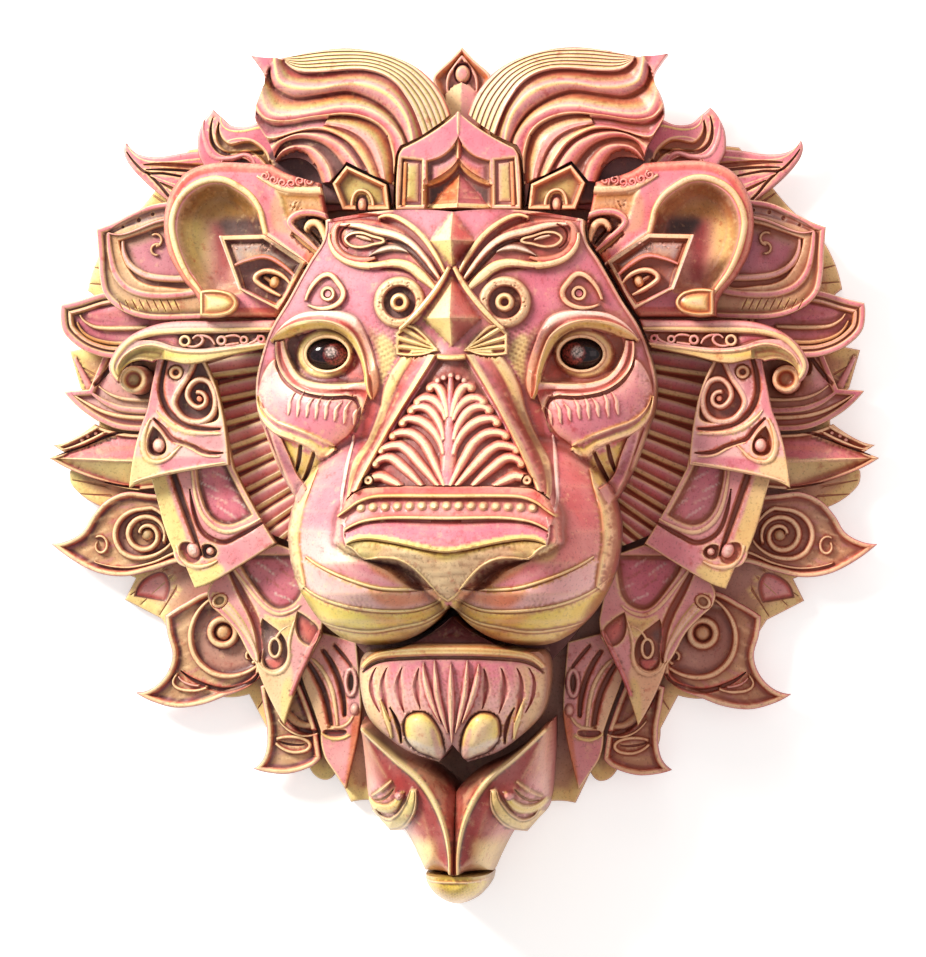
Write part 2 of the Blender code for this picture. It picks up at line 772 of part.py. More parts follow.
def side_plate_3(finish):
    drawn = [
        (232, -92, CORNER), (253, -118), (252, -134), (240, -146), (225, -162), (213, -184),
        (206, -194, CORNER), (198, -215), (187, -238), (177, -255, CORNER), (171, -235), (161, -208),
        (140, -167, CORNER), (138, -150, CORNER), (150, -86, CORNER), (184, -74, CORNER),
    ]

    def features(outline):
        field = outline_of([
            (212, -96, CORNER), (204, -118), (194, -136), (180, -140), (170, -132), (164, -112),
            (160, -92, CORNER),
        ])
        flute = smooth_line([(236, -124), (222, -138), (206, -162), (202, -188)])
        curl = [(0, DEEP_FLOOR), (3, DEEP_FLOOR), (4.5, FRONT), (8, FRONT), (10, FLOOR)]
        hollow = outline_of([(201, -150), (178, -152), (172, -176), (186, -201), (202, -196)])
        return [
            rim(outline, [(0, FRONT)]),
            panel(field, [(0, FRONT), (WALL, FLOOR)], sink=True),
            panel(hollow, [(0, FRONT), (WALL, FLOOR)], sink=True),
            boss((190, -178), curl, squash=0.75),
            channel(flute, [5, 7, 6]),
        ]

    carve_pair("side_plate_3", drawn, 2, features, finish)


def side_plate_2(finish):
    drawn = [
        (309, -8, CORNER), (303, -30), (296, -56), (287, -80, CORNER), (283, -92), (274, -97, CORNER),
        (265, -118, CORNER), (248, -112), (222, -97), (184, -73, CORNER), (197, -52), (212, -25),
        (226, 2, CORNER), (244, 90, CORNER), (288, 96, CORNER), (300, 20, CORNER),
    ]

    def features(outline):
        field = outline_of([
            (260, 6, CORNER), (258, -30), (252, -48), (238, -57), (222, -56), (206, -50, CORNER), (226, -14),
            (236, 6, CORNER),
        ])
        groove = smooth_line([(290, -4), (278, -40), (264, -84)])
        hook = smooth_line([(258, -80), (246, -70), (226, -70), (208, -58)])
        return [
            rim(outline, [(0, FRONT)]),
            panel(field, [(0, FRONT), (WALL, FLOOR)], sink=True),
            channel(groove, [6, 6, 5]),
            stroke(hook, [3.5, 4, 1], [(0, FLOOR), (1, FRONT)], sink=True),
        ]

    carve_pair("side_plate_2", drawn, 3, features, finish)


def side_plate_1(finish):
    drawn = [
        (298, 122, CORNER), (306, 85), (311, 60), (317, 44), (324, 18), (329, -18, CORNER), (315, -11),
        (290, -5), (258, 1), (229, 5, CORNER), (231, 30), (234, 52), (240, 78), (248, 98), (258, 118, CORNER),
    ]

    def features(outline):
        well = outline_of([
            (270, 98), (288, 74), (286, 54), (268, 46), (246, 50), (238, 66), (242, 88), (256, 98),
        ])
        groove = smooth_line([(296, 104), (303, 76), (294, 50), (276, 42), (250, 42)])
        drop = outline_of([(311, 43, CORNER), (317, 26), (310, 11), (298, 18), (300, 34)])
        low = smooth_line([(298, 34), (276, 22), (244, 20)])
        coil = spiral(SCROLL_CENTRE, 21, 5, 100, -1.5)
        ring = [(0, DEEP_FLOOR), (4.5, FRONT), (8, FRONT), (9, FLOOR)]
        return [
            rim(outline, [(0, FRONT)]),
            stroke(groove, [4, 5, 4, 2], [(0, FLOOR), (1, FRONT)], sink=True),
            panel(well, [(0, FRONT), (WALL, DEEP_FLOOR)], sink=True),
            stroke(coil, [5, 3.4], [(0, FRONT), (1, DEEP_FLOOR)]),
            panel(drop, [(0, FRONT), (WALL, DEEP_FLOOR)], sink=True),
            boss((305, 26), [(0, FRONT), (4, FRONT), (6.5, DEEP_FLOOR)], sides=6),
            stroke(low, [2, 4.5, 3], [(0, FLOOR), (1, FRONT)], sink=True),
            boss((291, 97), ring, sides=8),
        ]

    carve_pair("side_plate_1", drawn, 4, features, finish)


def temple_band(finish):
    """The rail from the brow, with a row of loops, that rolls down round the cup at its end."""
    drawn = [
        (180, 149, CORNER), (240, 148), (288, 147), (316, 139), (336, 125), (347, 106), (345, 94),
        (338, 86, CORNER), (336, 97), (330, 105), (319, 109), (304, 107, CORNER), (296, 110), (268, 105),
        (230, 113), (192, 121, CORNER),
    ]

    def features(outline):
        slot = outline_of([
            (196, 139, CORNER), (288, 136), (322, 128, CORNER), (290, 124), (240, 125), (196, 129, CORNER),
        ])
        forms = [
            rim(outline, [(0, FRONT - 0.3 * CARVE_DEPTH), (0.8 * RIM, FRONT)]),
            panel(slot, [(0, FRONT), (0.6 * WALL, FLOOR)], sink=True),
        ]
        for k in range(BAND_LOOPS):
            centre = (208 + k * BAND_LOOP_PITCH / STEP, 132.5 - 0.4 * k)
            forms.append(boss(centre, [(0, FRONT), (5, FLOOR)], sides=5))
        return forms

    carve_pair("temple_band", drawn, 5, features, finish)


# Ears

def ear(finish):
    drawn = [
        (293, 245), (288, 272), (272, 295), (246, 305), (206, 305), (184, 303, CORNER), (168, 294),
        (137, 285, CORNER), (132, 258), (129, 247, CORNER), (131, 228), (143, 209), (153, 192), (166, 169),
        (180, 151, CORNER), (257, 151, CORNER), (259, 170), (276, 192), (289, 217),
    ]
    outline = outline_of(drawn)
    lip = FRONT + EAR_RISE
    cup = outline_of([
        (283, 240), (277, 268), (262, 286), (244, 291), (222, 282), (206, 262), (200, 240), (196, 222),
        (204, 196), (222, 182, CORNER), (256, 172, CORNER), (270, 198), (281, 218),
    ])
    pocket = outline_of([
        (172, 250), (166, 260), (146, 260), (134, 250), (140, 226), (150, 222), (160, 234),
    ])
    scroll = smooth_line([(162, 243), (152, 249), (144, 242), (142, 230)])
    forms = [
        rim(outline, [(0, FRONT), (0.6 * RIM, lip - 0.35 * EAR_RISE), (1.4 * RIM, lip)]),
        panel(cup, [(0, lip), (WALL, FRONT), (5 * RIM, FLOOR)], sink=True),
        panel(pocket, [(0, lip), (WALL, lip - CARVE_DEPTH)], sink=True),
        stroke(scroll, [4, 4, 2], [(0, lip - 0.2 * CARVE_DEPTH), (1, lip - CARVE_DEPTH)]),
    ]
    on_both_sides("ear", carved_mesh("ear", outline, forms, board_back(4)), finish)


def ear_frame(finish):
    """The nested frame that leans across the ear's cup."""
    drawn = [
        (235, 232, CORNER), (190, 233, CORNER), (149, 206, CORNER), (160, 186, CORNER), (176, 158, CORNER),
        (215, 178, CORNER),
    ]
    outline = outline_of(drawn)
    back = board_back(4) + BOARD_THICKNESS + EAR_RISE + GAP
    scroll = circle((185, 190), 10, squash=0.6, tilt=math.radians(-25), sides=8)
    steps = [
        (0, FRONT), (0.8 * RIM, FRONT), (1.1 * RIM, FLOOR), (1.9 * RIM, FLOOR), (2.2 * RIM, DEEP_FLOOR),
    ]
    forms = [
        rim(outline, steps),
        stroke(scroll, [3, 3], [(0, FRONT), (1, DEEP_FLOOR)], closed=True),
    ]
    on_both_sides("ear_frame", carved_mesh("ear_frame", outline, forms, back), finish)


def ear_tab(finish):
    drawn = [(255, 178, CORNER), (226, 177), (216, 165), (226, 153), (255, 152, CORNER)]
    outline = outline_of(drawn)
    back = board_back(4) + BOARD_THICKNESS + EAR_RISE + GAP
    forms = [rim(outline, [(0, 0.5 * FRONT), (0.6 * RIM, 0.8 * FRONT), (1.8 * RIM, FRONT)])]
    on_both_sides("ear_tab", carved_mesh("ear_tab", outline, forms, back), finish)


# The crest

def crest_socket(finish):
    drawn = [
        (126, 285, CORNER), (112, 303, CORNER), (72, 284, CORNER), (69, 259, CORNER), (116, 259, CORNER),
    ]

    def features(outline):
        top = FRONT + PLUME_RISE
        drop = [(0, top), (4, top - 0.2 * CARVE_DEPTH), (5, top - CARVE_DEPTH)]
        return [
            rim(outline, [(0, top), (0.8 * RIM, top), (1.2 * RIM, top - CARVE_DEPTH)]),
            boss((97, 266), drop, squash=1.3, sides=8),
        ]

    carve_pair("crest_socket", drawn, 3, features, finish)


def crest_finial(finish):
    outline = whole([
        (0, 424, CORNER), (12, 411), (27, 397), (29, 391), (24, 374), (28, 350), (30, 262, CORNER),
        (0, 262, CORNER),
    ])
    drop = outline_of([(0, 408, CORNER), (7, 396), (0, 389), (-7, 396)])
    forms = [
        rim(outline, [(0, FRONT), (0.7 * RIM, FRONT), (RIM, FLOOR)]),
        panel(drop, [(0, FLOOR), (0.5 * WALL, FRONT)]),
    ]
    place("crest_finial", carved_mesh("crest_finial", outline, forms, board_back(1)), finish)


def crest_gable(finish):
    """Nested chevrons over a pocket with a faceted spike, between two fluted posts."""
    outline = whole([
        (0, 356, CORNER), (24, 337), (55, 320, CORNER), (60, 310), (62, GABLE_FOOT, CORNER),
        (0, GABLE_FOOT, CORNER),
    ])
    top = GABLE_TIERS * BOARD_THICKNESS + (GABLE_TIERS - 1) * GAP
    forms = [rim(outline, [(0, top)])]
    for k, (rise, edge) in enumerate([(334, 309), (315, 293), (302, 280)]):
        wide = 36 - 3 * k
        pocket = whole([
            (0, rise, CORNER), (wide - 14 + k, edge + 6), (wide, edge, CORNER), (wide, 260, CORNER),
            (0, 260, CORNER),
        ])
        level = top - (k + 1) * 0.8 * CARVE_DEPTH
        forms.append(panel(pocket, [(0, level + CARVE_DEPTH), (0.6 * WALL, level)], sink=True))
    for side in (1, -1):
        flute = np.array([(49, 305), (51, 262)]) * [side, 1]
        forms.append(stroke(flute, [6, 6], [(0, top - CARVE_DEPTH), (1, top)], sink=True))
    foot = GABLE_FOOT + 2
    tall = SPIKE_HEIGHT / STEP
    half = 0.5 * SPIKE_WIDTH / STEP
    spike = np.array([(0, foot + tall), (half, foot), (-half, foot)], float)
    low = top - 2.4 * CARVE_DEPTH

    def facets(points, depth):
        x, v = np.abs(points[:, 0]), points[:, 1]
        share = np.clip(1 - x / half, 0, 1) * np.clip((foot + tall - v) / tall, 0, 1)
        return np.where(covers(spike, points), np.maximum(depth, low + share * SPIKE_RISE), depth)

    middle = np.array([(0, foot + tall), (0, foot + 0.5 * tall), (0, foot)], float)
    forms.append(Form(facets, [(spike, True), (middle, False)]))
    place("crest_gable", carved_mesh("crest_gable", outline, forms, board_back(2)), finish)


# The face

def soft_step(x):
    x = np.clip(x, 0, 1)
    return x * x * (3 - 2 * x)


def mound(points, centre, radii, power=2.0):
    """A smooth mound, 1 at its centre and 0 at its rim, with a twin on the other side."""
    x = (np.abs(points[:, 0]) - centre[0]) / radii[0]
    v = (points[:, 1] - centre[1]) / radii[1]
    return np.clip(1 - x * x - v * v, 0, 1) ** power


def face_depth(points):
    """The smooth form of the face, before its bands are carved, from the wall."""
    x, v = np.abs(points[:, 0]), points[:, 1]
    dome = FACE_DOME * mound(points, (0, 130), (206, 210), 1.0)
    cheek = CHEEK_RISE * mound(points, (150, 48), (62, 52), 1.0)
    socket = SOCKET_DEPTH * mound(points, (126, 112), (54, 34), 1.0)
    skin = FACE_EDGE + dome + cheek - socket
    height, share, half = np.array(MUZZLE).T
    reach = np.where(x > MUZZLE_MIDDLE, np.interp(v, height, half) - MUZZLE_MIDDLE, MUZZLE_INNER)
    fall = np.sqrt(np.clip(1 - ((x - MUZZLE_MIDDLE) / reach) ** 2, 0, 1))
    lobe = FACE_EDGE + MUZZLE_RISE * np.interp(v, height, share) * fall
    between = soft_step((lobe - skin) / MUZZLE_BLEND + 0.5)
    skin = skin * (1 - between) + lobe * between
    height, share, half = np.array(NOSE).T
    half = np.interp(v, height, half)
    nose = FACE_EDGE + NOSE_RISE * np.interp(v, height, share) - NOSE_ROUND * (x / np.maximum(half, 20)) ** 2
    side = np.interp(v, [-60, 60], [7, 24])
    part = soft_step((half + side - x) / side) * soft_step((178 - v) / 70) * soft_step((v + 140) / 10)
    return skin + np.maximum(nose - skin, 0) * part


def eye_seat():
    """The almond in which an eye sits, drawn in shares of the eye's half width and half height."""
    drawn = [
        (1.76, -0.13, CORNER), (1.08, 0.93), (-0.05, 1.33), (-1.03, 0.86), (-1.52, -0.53, CORNER),
        (-0.88, -1.13), (0.0, -1.39), (1.03, -1.13),
    ]
    radius = EYE_RADIUS / STEP
    x, v = EYE_CENTRE
    return outline_of([(x + p[0] * radius, v + p[1] * radius * EYE_SQUASH, *p[2:]) for p in drawn])


def face_mask(finish):
    """Forehead, brows, cheeks, nose and muzzle, carved as one."""
    outline = whole([
        (0, 253, CORNER), (60, 255), (127, 246, CORNER), (129, 226), (141, 207), (151, 190), (164, 167),
        (181, 140), (190, 117), (197, 88), (196, 62), (188, 38), (174, 0), (157, -30, CORNER), (162, -54),
        (161, -76), (157, -98), (147, -122), (130, -147), (106, -166), (82, -172), (50, -168), (20, -152),
        (0, -129, CORNER),
    ])
    back = board_back(3)

    def skin(points):
        return face_depth(points) - back

    def base(points, depth):
        return skin(points)

    forms = [Form(base)]

    def band(path, width, rise=BAND_RISE, crest=0.5):
        sections = [(0, rise), (crest, rise), (1, 0)]
        for side in (1, -1):
            forms.append(stroke(np.array(path) * [side, 1], width, sections, ground=skin))

    def plate(drawn, rise, sink=False):
        for side in (1, -1):
            field = outline_of(drawn) * [side, 1]
            forms.append(panel(field, [(0, 0), (WALL, rise)], sink=sink, ground=skin))

    plate([
        (190, 86), (194, 62), (184, 42), (150, 28), (113, 22, CORNER), (94, 42), (96, 60), (110, 68),
        (152, 72), (172, 84),
    ], BAND_RISE)
    brow = [(181, 130), (163, 147), (136, 155), (112, 146), (94, 124), (84, 98), (78, 72)]
    band(smooth_line(brow, most=26), [5, 8, 8, 5])
    lower_lid = [(180, 124), (172, 100), (154, 84), (126, 79), (104, 76), (92, 58)]
    band(smooth_line(lower_lid, most=30), [4, 5, 5, 3])
    wing = [(20, 196), (38, 214), (64, 231), (96, 239), (122, 243)]
    band(smooth_line(wing, most=30), [4, 7, 7, 4])
    wing_foot = [(30, 184), (52, 200), (84, 204), (112, 208), (127, 226), (124, 243)]
    band(smooth_line(wing_foot, most=30), [3, 5, 6, 6])
    band(np.array([(13, 108), (58, 32), (104, -40)]), [6, 8, 9], crest=0.7)
    band(np.array([(0, 204), (25, 160), (48, 136)]), [3, 4, 4], rise=0.7 * BAND_RISE)
    cross = [(-92, -40), (-80, -31), (0, -29), (80, -31), (92, -40)]
    forms.append(stroke(np.array(cross), [3, 6, 6, 6, 3], ridge_to(BAND_RISE, 0), ground=skin))
    edge = [(-88, -72), (-50, -66), (0, -70), (50, -66), (88, -72)]
    forms.append(stroke(np.array(edge), [3, 6, 6, 6, 3], ridge_to(BAND_RISE, 0), ground=skin))
    for side in (1, -1):
        ring = [
            (0, 0.8 * BAND_RISE), (4.5, 0.8 * BAND_RISE), (6.5, 0), (11, 0), (13, BAND_RISE), (18, BAND_RISE),
            (20, 0),
        ]
        forms.append(boss((side * 50.5, 165), ring, ground=skin))
        nostril = [(0, -3 * BAND_RISE), (9, -3 * BAND_RISE), (16, 0)]
        lean = side * math.radians(-18)
        forms.append(boss((side * 46, -96), nostril, ground=skin, squash=0.5, tilt=lean))
    for centre, wide, tall in (((0, 228), 22, 25), ((0, 157), 25, 38)):
        forms.append(diamond(centre, wide, tall, 2.4 * BAND_RISE, skin))
    for k in range(1, PETAL_PAIRS + 1):
        root = np.array([0, -16 + 10 * k])
        tip = root + np.array([74 - 13.5 * k, 8 + 10 * k])
        middle = 0.5 * (root + tip) + np.array([4, 10])
        band([root, middle, tip], [2, 4, 2.5], rise=0.7 * BAND_RISE)
    for side in (1, -1):
        almond = eye_seat() * [side, 1]
        seat = SOCKET_FLOOR - back
        forms.append(Form(
            lambda points, depth, almond=almond: np.where(covers(almond, points), seat, depth),
            [(almond, True), (inset(almond, -WALL), True)],
        ))
    mesh = carved_mesh("face_mask", outline, forms, back, spacing=FACE_SPACING)
    return place("face_mask", mesh, finish)


def diamond(centre, wide, tall, rise, ground):
    """A four-sided pyramid."""
    outline = np.array([(0, tall), (wide, 0), (0, -tall), (-wide, 0)], float) + centre
    cross = [(outline[0], outline[2]), (outline[1], outline[3])]

    def carve(points, depth):
        d = np.abs(points - np.array(centre))
        height = rise * np.clip(1 - d[:, 0] / wide - d[:, 1] / tall, 0, 1)
        return np.where(height > 0, np.maximum(depth, ground(points) + height), depth)

    lines = [(outline, True)] + [(np.array([a, np.array(centre, float), b]), False) for a, b in cross]
    return Form(carve, lines)


def eye(finish):
    """A glass eye: a turned dome, squashed to the almond of its socket."""
    profile = [(EYE_RADIUS, 0)]
    for k in range(EYE_RINGS):
        angle = 0.5 * math.pi * k / EYE_RINGS
        profile.append((EYE_RADIUS * math.cos(angle), EYE_SEAT + EYE_ROUND * math.sin(angle)))
    profile.append((0, EYE_SEAT + EYE_ROUND))
    shape = bmesh.new()
    verts = [shape.verts.new((r, -d, 0)) for r, d in profile]
    first = shape.verts.new((0, 0, 0))
    verts.insert(0, first)
    for a, b in zip(verts, verts[1:]):
        shape.edges.new((a, b))
    bmesh.ops.spin(shape, geom=shape.verts[:] + shape.edges[:], cent=(0, 0, 0), axis=(0, 1, 0),
                   angle=2 * math.pi, steps=EYE_SIDES, use_merge=True, use_duplicate=False)
    bmesh.ops.remove_doubles(shape, verts=shape.verts, dist=1e-6)
    bmesh.ops.recalc_face_normals(shape, faces=shape.faces)
    floor = SOCKET_FLOOR + GAP
    for vert in shape.verts:
        vert.co.z *= EYE_SQUASH
        vert.co.x += EYE_CENTRE[0] * STEP
        vert.co.z += EYE_CENTRE[1] * STEP
        vert.co.y -= floor
    mesh = bpy.data.meshes.new("eye")
    shape.to_mesh(mesh)
    shape.free()
    on_both_sides("eye", mesh, finish)


def chin(finish):
    """Lip, bowl and petals, carved as one."""
    half = [
        (0, -143, CORNER), (20, -159), (50, -174), (84, -178, CORNER), (91, -188), (91, -215), (83, -243),
        (62, -264), (44, -276), (30, -281), (14, -286, CORNER), (0, -268, CORNER),
    ]
    outline = whole(half)
    back = board_back(3)

    def skin(points):
        bowl = mound(points, (0, -205), (104, 92), 0.5)
        return (CHIN_EDGE + CHIN_ROUND * bowl) - back

    forms = [Form(lambda points, depth: skin(points))]
    lip = smooth_line([(-90, -190), (-70, -179), (0, -174), (70, -179), (90, -190)], most=40)
    mouth = whole([(0, -143, CORNER), (20, -159), (50, -171), (0, -169, CORNER)])
    forms.append(panel(mouth, [(0, -0.5 * MOUTH_DEPTH), (WALL, -MOUTH_DEPTH)], sink=True, ground=skin))
    forms.append(stroke(lip, [3, 6, 6, 6, 3], ridge_to(BAND_RISE, 0), ground=skin))
    for k in range(CHIN_FLUTES):
        x = (k - (CHIN_FLUTES - 1) / 2) * 26
        flute = smooth_line([(0.9 * x, -194), (x, -222), (0.62 * x, -256)], most=40)
        forms.append(stroke(flute, [2, 4, 1.5], [(0, -GROOVE_DEPTH), (1, 0)], sink=True, ground=skin))
    for side in (1, -1):
        claw = outline_of([
            (50, -240), (20, -242), (6, -262, CORNER), (12, -284, CORNER), (32, -279), (52, -266),
        ]) * [side, 1]
        forms.append(panel(claw, [(0, 0), (2 * WALL, BAND_RISE)], ground=skin))
    place("chin", carved_mesh("chin", outline, forms, back, spacing=1.2 * FACE_SPACING), finish)


# The beard

def beard_limb(finish):
    """A thick limb with a ridge on its inner side and a collar, from the jaw to the knob."""
    drawn = [
        (95, -246, CORNER), (94, -290), (89, -332), (80, -345, CORNER), (68, -359, CORNER),
        (54, -358, CORNER), (44, -376), (34, -398, CORNER), (1, -398, CORNER), (1, -318, CORNER),
        (12, -303), (28, -292, CORNER), (48, -283), (66, -271, CORNER), (86, -252, CORNER),
    ]
    outline = outline_of(drawn)
    back = board_back(1)
    ridge = smooth_line([(88, -256), (66, -282), (42, -308), (24, -340), (12, -372), (5, -397)], most=60)
    collar = smooth_line([(82, -346), (70, -348), (54, -338), (44, -322)], most=60)
    edge = LIMB_EDGE - back
    top = LIMB_RIDGE - back

    def body(points, depth):
        away = distance_to(points, outline)
        crest = distance_to(points, ridge, closed=False)
        share = away / np.maximum(away + crest, 1e-9)
        return edge + (top - edge) * np.sin(0.5 * math.pi * np.clip(share, 0, 1))

    middle = smooth_line([(92, -262), (82, -300), (66, -336), (46, -352), (30, -380), (20, -397)], most=60)
    forms = [Form(body, [(ridge, False), (middle, False)])]
    section = [(0, BAND_RISE), (0.6, BAND_RISE), (1, 0)]
    forms.append(stroke(collar, [9, 9], section, ground=lambda points: body(points, None)))
    mesh = carved_mesh("beard_limb", outline, forms, back, spacing=LIMB_SPACING)
    on_both_sides("beard_limb", mesh, finish)


def beard_tip(finish):
    outline = whole([(0, -400, CORNER), (33, -400, CORNER), (30, -412), (18, -425), (0, -431)])
    back = board_back(1)
    top = LIMB_RIDGE - back

    def knob(points, depth):
        away = distance_to(points, outline) / 20
        return 0.35 * top + 0.6 * top * np.sqrt(np.clip(1 - (1 - np.clip(away, 0, 1)) ** 2, 0, 1))

    ring = inset(outline, 7)
    forms = [Form(knob, [(ring, True)])]
    place("beard_tip", carved_mesh("beard_tip", outline, forms, back, spacing=KNOB_SPACING), finish)


def build():
    pink = material("rose_paint", (0.62, 0.24, 0.25), 0.5)
    pale = material("cream_paint", (0.80, 0.62, 0.42), 0.55)
    deep = material("maroon_paint", (0.36, 0.09, 0.09), 0.5)
    gold = material("gold_paint", (0.76, 0.52, 0.16), 0.4)
    glass = material("dark_glass", (0.05, 0.015, 0.012), 0.08)
    back_plate(pale)
    ruff(deep)
    crest_plume(pink)
    mane_lock(pink)
    horn_leaf(pink)
    shell_leaf(pink)
    cheek_leaf(pink)
    cup_leaf(pink)
    arrow_leaf(pink)
    spiral_leaves(pink)
    beard_leaf(pink)
    side_plate_4(pink)
    side_plate_3(pink)
    side_plate_2(pink)
    side_plate_1(pink)
    temple_band(pale)
    ear(pale)
    ear_frame(pink)
    ear_tab(gold)
    crest_socket(pale)
    crest_finial(pink)
    crest_gable(pink)
    face_mask(pink)
    eye(glass)
    chin(pink)
    beard_limb(pink)
    beard_tip(gold)


for old in list(bpy.data.objects):
    bpy.data.objects.remove(old)
LION = bpy.data.collections.new("lion_wall_sculpture")
bpy.context.scene.collection.children.link(LION)
build()
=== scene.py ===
"""Looks of the lion wall sculpture: carved and painted wood, in tiers, with glass eyes.

Drawing steps measure the front view from the middle of the back: x to one side, v up. Depths are in
millimetres. Every piece is drawn once, for the side at +X, and mirrored.
"""

import math

import bmesh
import bpy
import numpy as np
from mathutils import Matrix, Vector, geometry, kdtree


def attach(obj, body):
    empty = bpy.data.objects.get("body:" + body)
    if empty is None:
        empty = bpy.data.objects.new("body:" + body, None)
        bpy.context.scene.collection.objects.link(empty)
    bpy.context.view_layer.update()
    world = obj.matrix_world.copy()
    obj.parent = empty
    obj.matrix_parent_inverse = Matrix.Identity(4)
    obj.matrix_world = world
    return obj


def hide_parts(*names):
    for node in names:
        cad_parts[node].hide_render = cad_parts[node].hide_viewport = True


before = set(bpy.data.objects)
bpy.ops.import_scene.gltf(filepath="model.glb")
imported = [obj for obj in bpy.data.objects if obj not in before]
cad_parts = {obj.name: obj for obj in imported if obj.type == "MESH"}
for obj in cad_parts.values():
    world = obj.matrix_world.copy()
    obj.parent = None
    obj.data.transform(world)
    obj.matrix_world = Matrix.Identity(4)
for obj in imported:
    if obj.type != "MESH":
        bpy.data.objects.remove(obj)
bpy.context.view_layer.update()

# Sizes: a drawing step and a millimetre in metres; the boards and their tiers in millimetres
HEIGHT = 0.600
HEIGHT_IN_STEPS = 857
STEP = HEIGHT / HEIGHT_IN_STEPS
MM = 0.001
BOARD = 11.7
TIER = 12.0
FIRST_BACK = 10.3
GAP = 0.3

# Drawing: the mark of a sharp corner, and lengths in steps
CORNER = True
LONGEST = 2.2
ARC_STEP = 1.9
MERGE = 0.01
ON_MIDDLE = 0.02
SHARPEST, AHEAD, SHORT_OF_MIDDLE = 0.35, 0.08, 0.94
NET_CLEARANCE = 0.55
CHUNK = 8000

# Worn edges and painted highlight on what stands out, dirt and painted shade in what lies deep, each from the
# height against the surroundings; painted shade on the sides of the boards
CLOSE_ROUNDS, WIDE_ROUNDS = 4, 40
RAISED_EDGE_HEIGHT, CUT_DEPTH, HOLLOW_DEPTH = 0.55, 0.7, 2.6
WORN_EDGE_AND_HIGHLIGHT, DIRT_AND_SHADE = 0.34, 0.62
CUT_DIRT_AND_SHADE, HOLLOW_DIRT_AND_SHADE = 0.75, 0.45
DEEP_SHARE, MAROON_SHARE = 0.35, 0.65
HATCH_FALL, HATCH_TROUGH_DARKENING = 2.2, 0.45
SIDE_SHADE, SIDE_OCHRE = 0.6, 0.25
SHARP = math.radians(48)

# Paint, as seen in even light
PAINT = {
    "rose": (0.790, 0.375, 0.430),
    "pink": (0.860, 0.480, 0.560),
    "blush": (0.915, 0.640, 0.640),
    "shell": (0.945, 0.780, 0.745),
    "cream": (0.970, 0.855, 0.640),
    "butter": (0.955, 0.890, 0.540),
    "yellow": (0.935, 0.850, 0.270),
    "gold": (0.810, 0.590, 0.220),
    "ochre": (0.610, 0.390, 0.145),
    "olive": (0.540, 0.450, 0.170),
    "moss": (0.730, 0.690, 0.350),
    "orange": (0.850, 0.460, 0.210),
    "coral": (0.810, 0.300, 0.265),
    "red": (0.630, 0.150, 0.140),
    "wine": (0.540, 0.080, 0.190),
    "maroon": (0.350, 0.085, 0.080),
    "deep": (0.130, 0.032, 0.036),
    "mauve": (0.770, 0.465, 0.530),
    "taupe": (0.745, 0.560, 0.475),
    "sand": (0.820, 0.670, 0.470),
    "white": (0.950, 0.920, 0.880),
    "grey": (0.620, 0.570, 0.560),
}


def linear(colour):
    c = np.array(colour)
    return np.where(c <= 0.04045, c / 12.92, ((c + 0.055) / 1.055) ** 2.4)


TINT = {name: linear(colour) for name, colour in PAINT.items()}


def board_back(tier):
    return FIRST_BACK + (tier - 1) * TIER if tier else 0.0


# Lines

def smooth_line(drawn, closed=False):
    """A fine line through the drawn points, rounded between them and sharp at each CORNER."""
    points = np.array([p[:2] for p in drawn], float)
    corners = [len(p) > 2 for p in drawn]
    count = len(points)
    way = np.zeros((count, 2))
    for i in range(count):
        inner = closed or 0 < i < count - 1
        if inner and not corners[i]:
            across = points[(i + 1) % count] - points[i - 1]
            way[i] = across / np.linalg.norm(across)
    line = []
    for i in range(count if closed else count - 1):
        start, end = points[i], points[(i + 1) % count]
        chord = end - start
        length = np.linalg.norm(chord)
        out, into = way[i], way[(i + 1) % count]
        if not out.any() and not into.any():
            out = into = chord / length
        elif not out.any():
            out = 2 * chord / length - into
        elif not into.any():
            into = 2 * chord / length - out
        parts = max(1, math.ceil(length / LONGEST))
        for k in range(parts):
            t = k / parts
            line.append(
                (2 * t**3 - 3 * t**2 + 1) * start
                + (t**3 - 2 * t**2 + t) * length * out
                + (3 * t**2 - 2 * t**3) * end
                + (t**3 - t**2) * length * into
            )
    if not closed:
        line.append(points[-1])
    return np.array(line)


def outline_of(drawn):
    return smooth_line(drawn, closed=True)


def whole(half):
    """The outline of a piece on the middle line, from its half at +X."""
    other = [(-p[0], *p[1:]) for p in reversed(half) if abs(p[0]) > ON_MIDDLE]
    return outline_of(half + other)


def across(half):
    """A line drawn from the middle outwards, and its other half."""
    return smooth_line([(-p[0], *p[1:]) for p in reversed(half) if p[0] > ON_MIDDLE] + half)


def circle(centre, radius, squash=1.0, tilt=0.0):
    sides = max(12, round(2 * math.pi * radius / ARC_STEP))
    angles = np.arange(sides) * 2 * math.pi / sides
    x = radius * np.cos(angles)
    v = radius * squash * np.sin(angles)
    c, s = math.cos(tilt), math.sin(tilt)
    return np.stack([x * c - v * s, x * s + v * c], 1) + np.array(centre, float)


def spiral(centre, outer, inner, start, turns, squash=1.0):
    """A line that winds in from the outer radius to the inner one; turns below 0 go clockwise."""
    count = max(12, round(math.pi * abs(turns) * (outer + inner) / ARC_STEP))
    t = np.linspace(0, 1, count)
    angle = math.radians(start) + 2 * math.pi * turns * t
    radius = outer + (inner - outer) * t
    return np.stack([centre[0] + radius * np.cos(angle), centre[1] + squash * radius * np.sin(angle)], 1)


def join(*lines):
    return np.vstack(lines)


def resampled(line, count):
    """The same line with the given number of points, evenly spaced."""
    lengths = np.linalg.norm(np.diff(line, axis=0), axis=1)
    at = np.concatenate([[0], np.cumsum(lengths)])
    even = np.linspace(0, at[-1], count)
    return np.stack([np.interp(even, at, line[:, 0]), np.interp(even, at, line[:, 1])], 1)


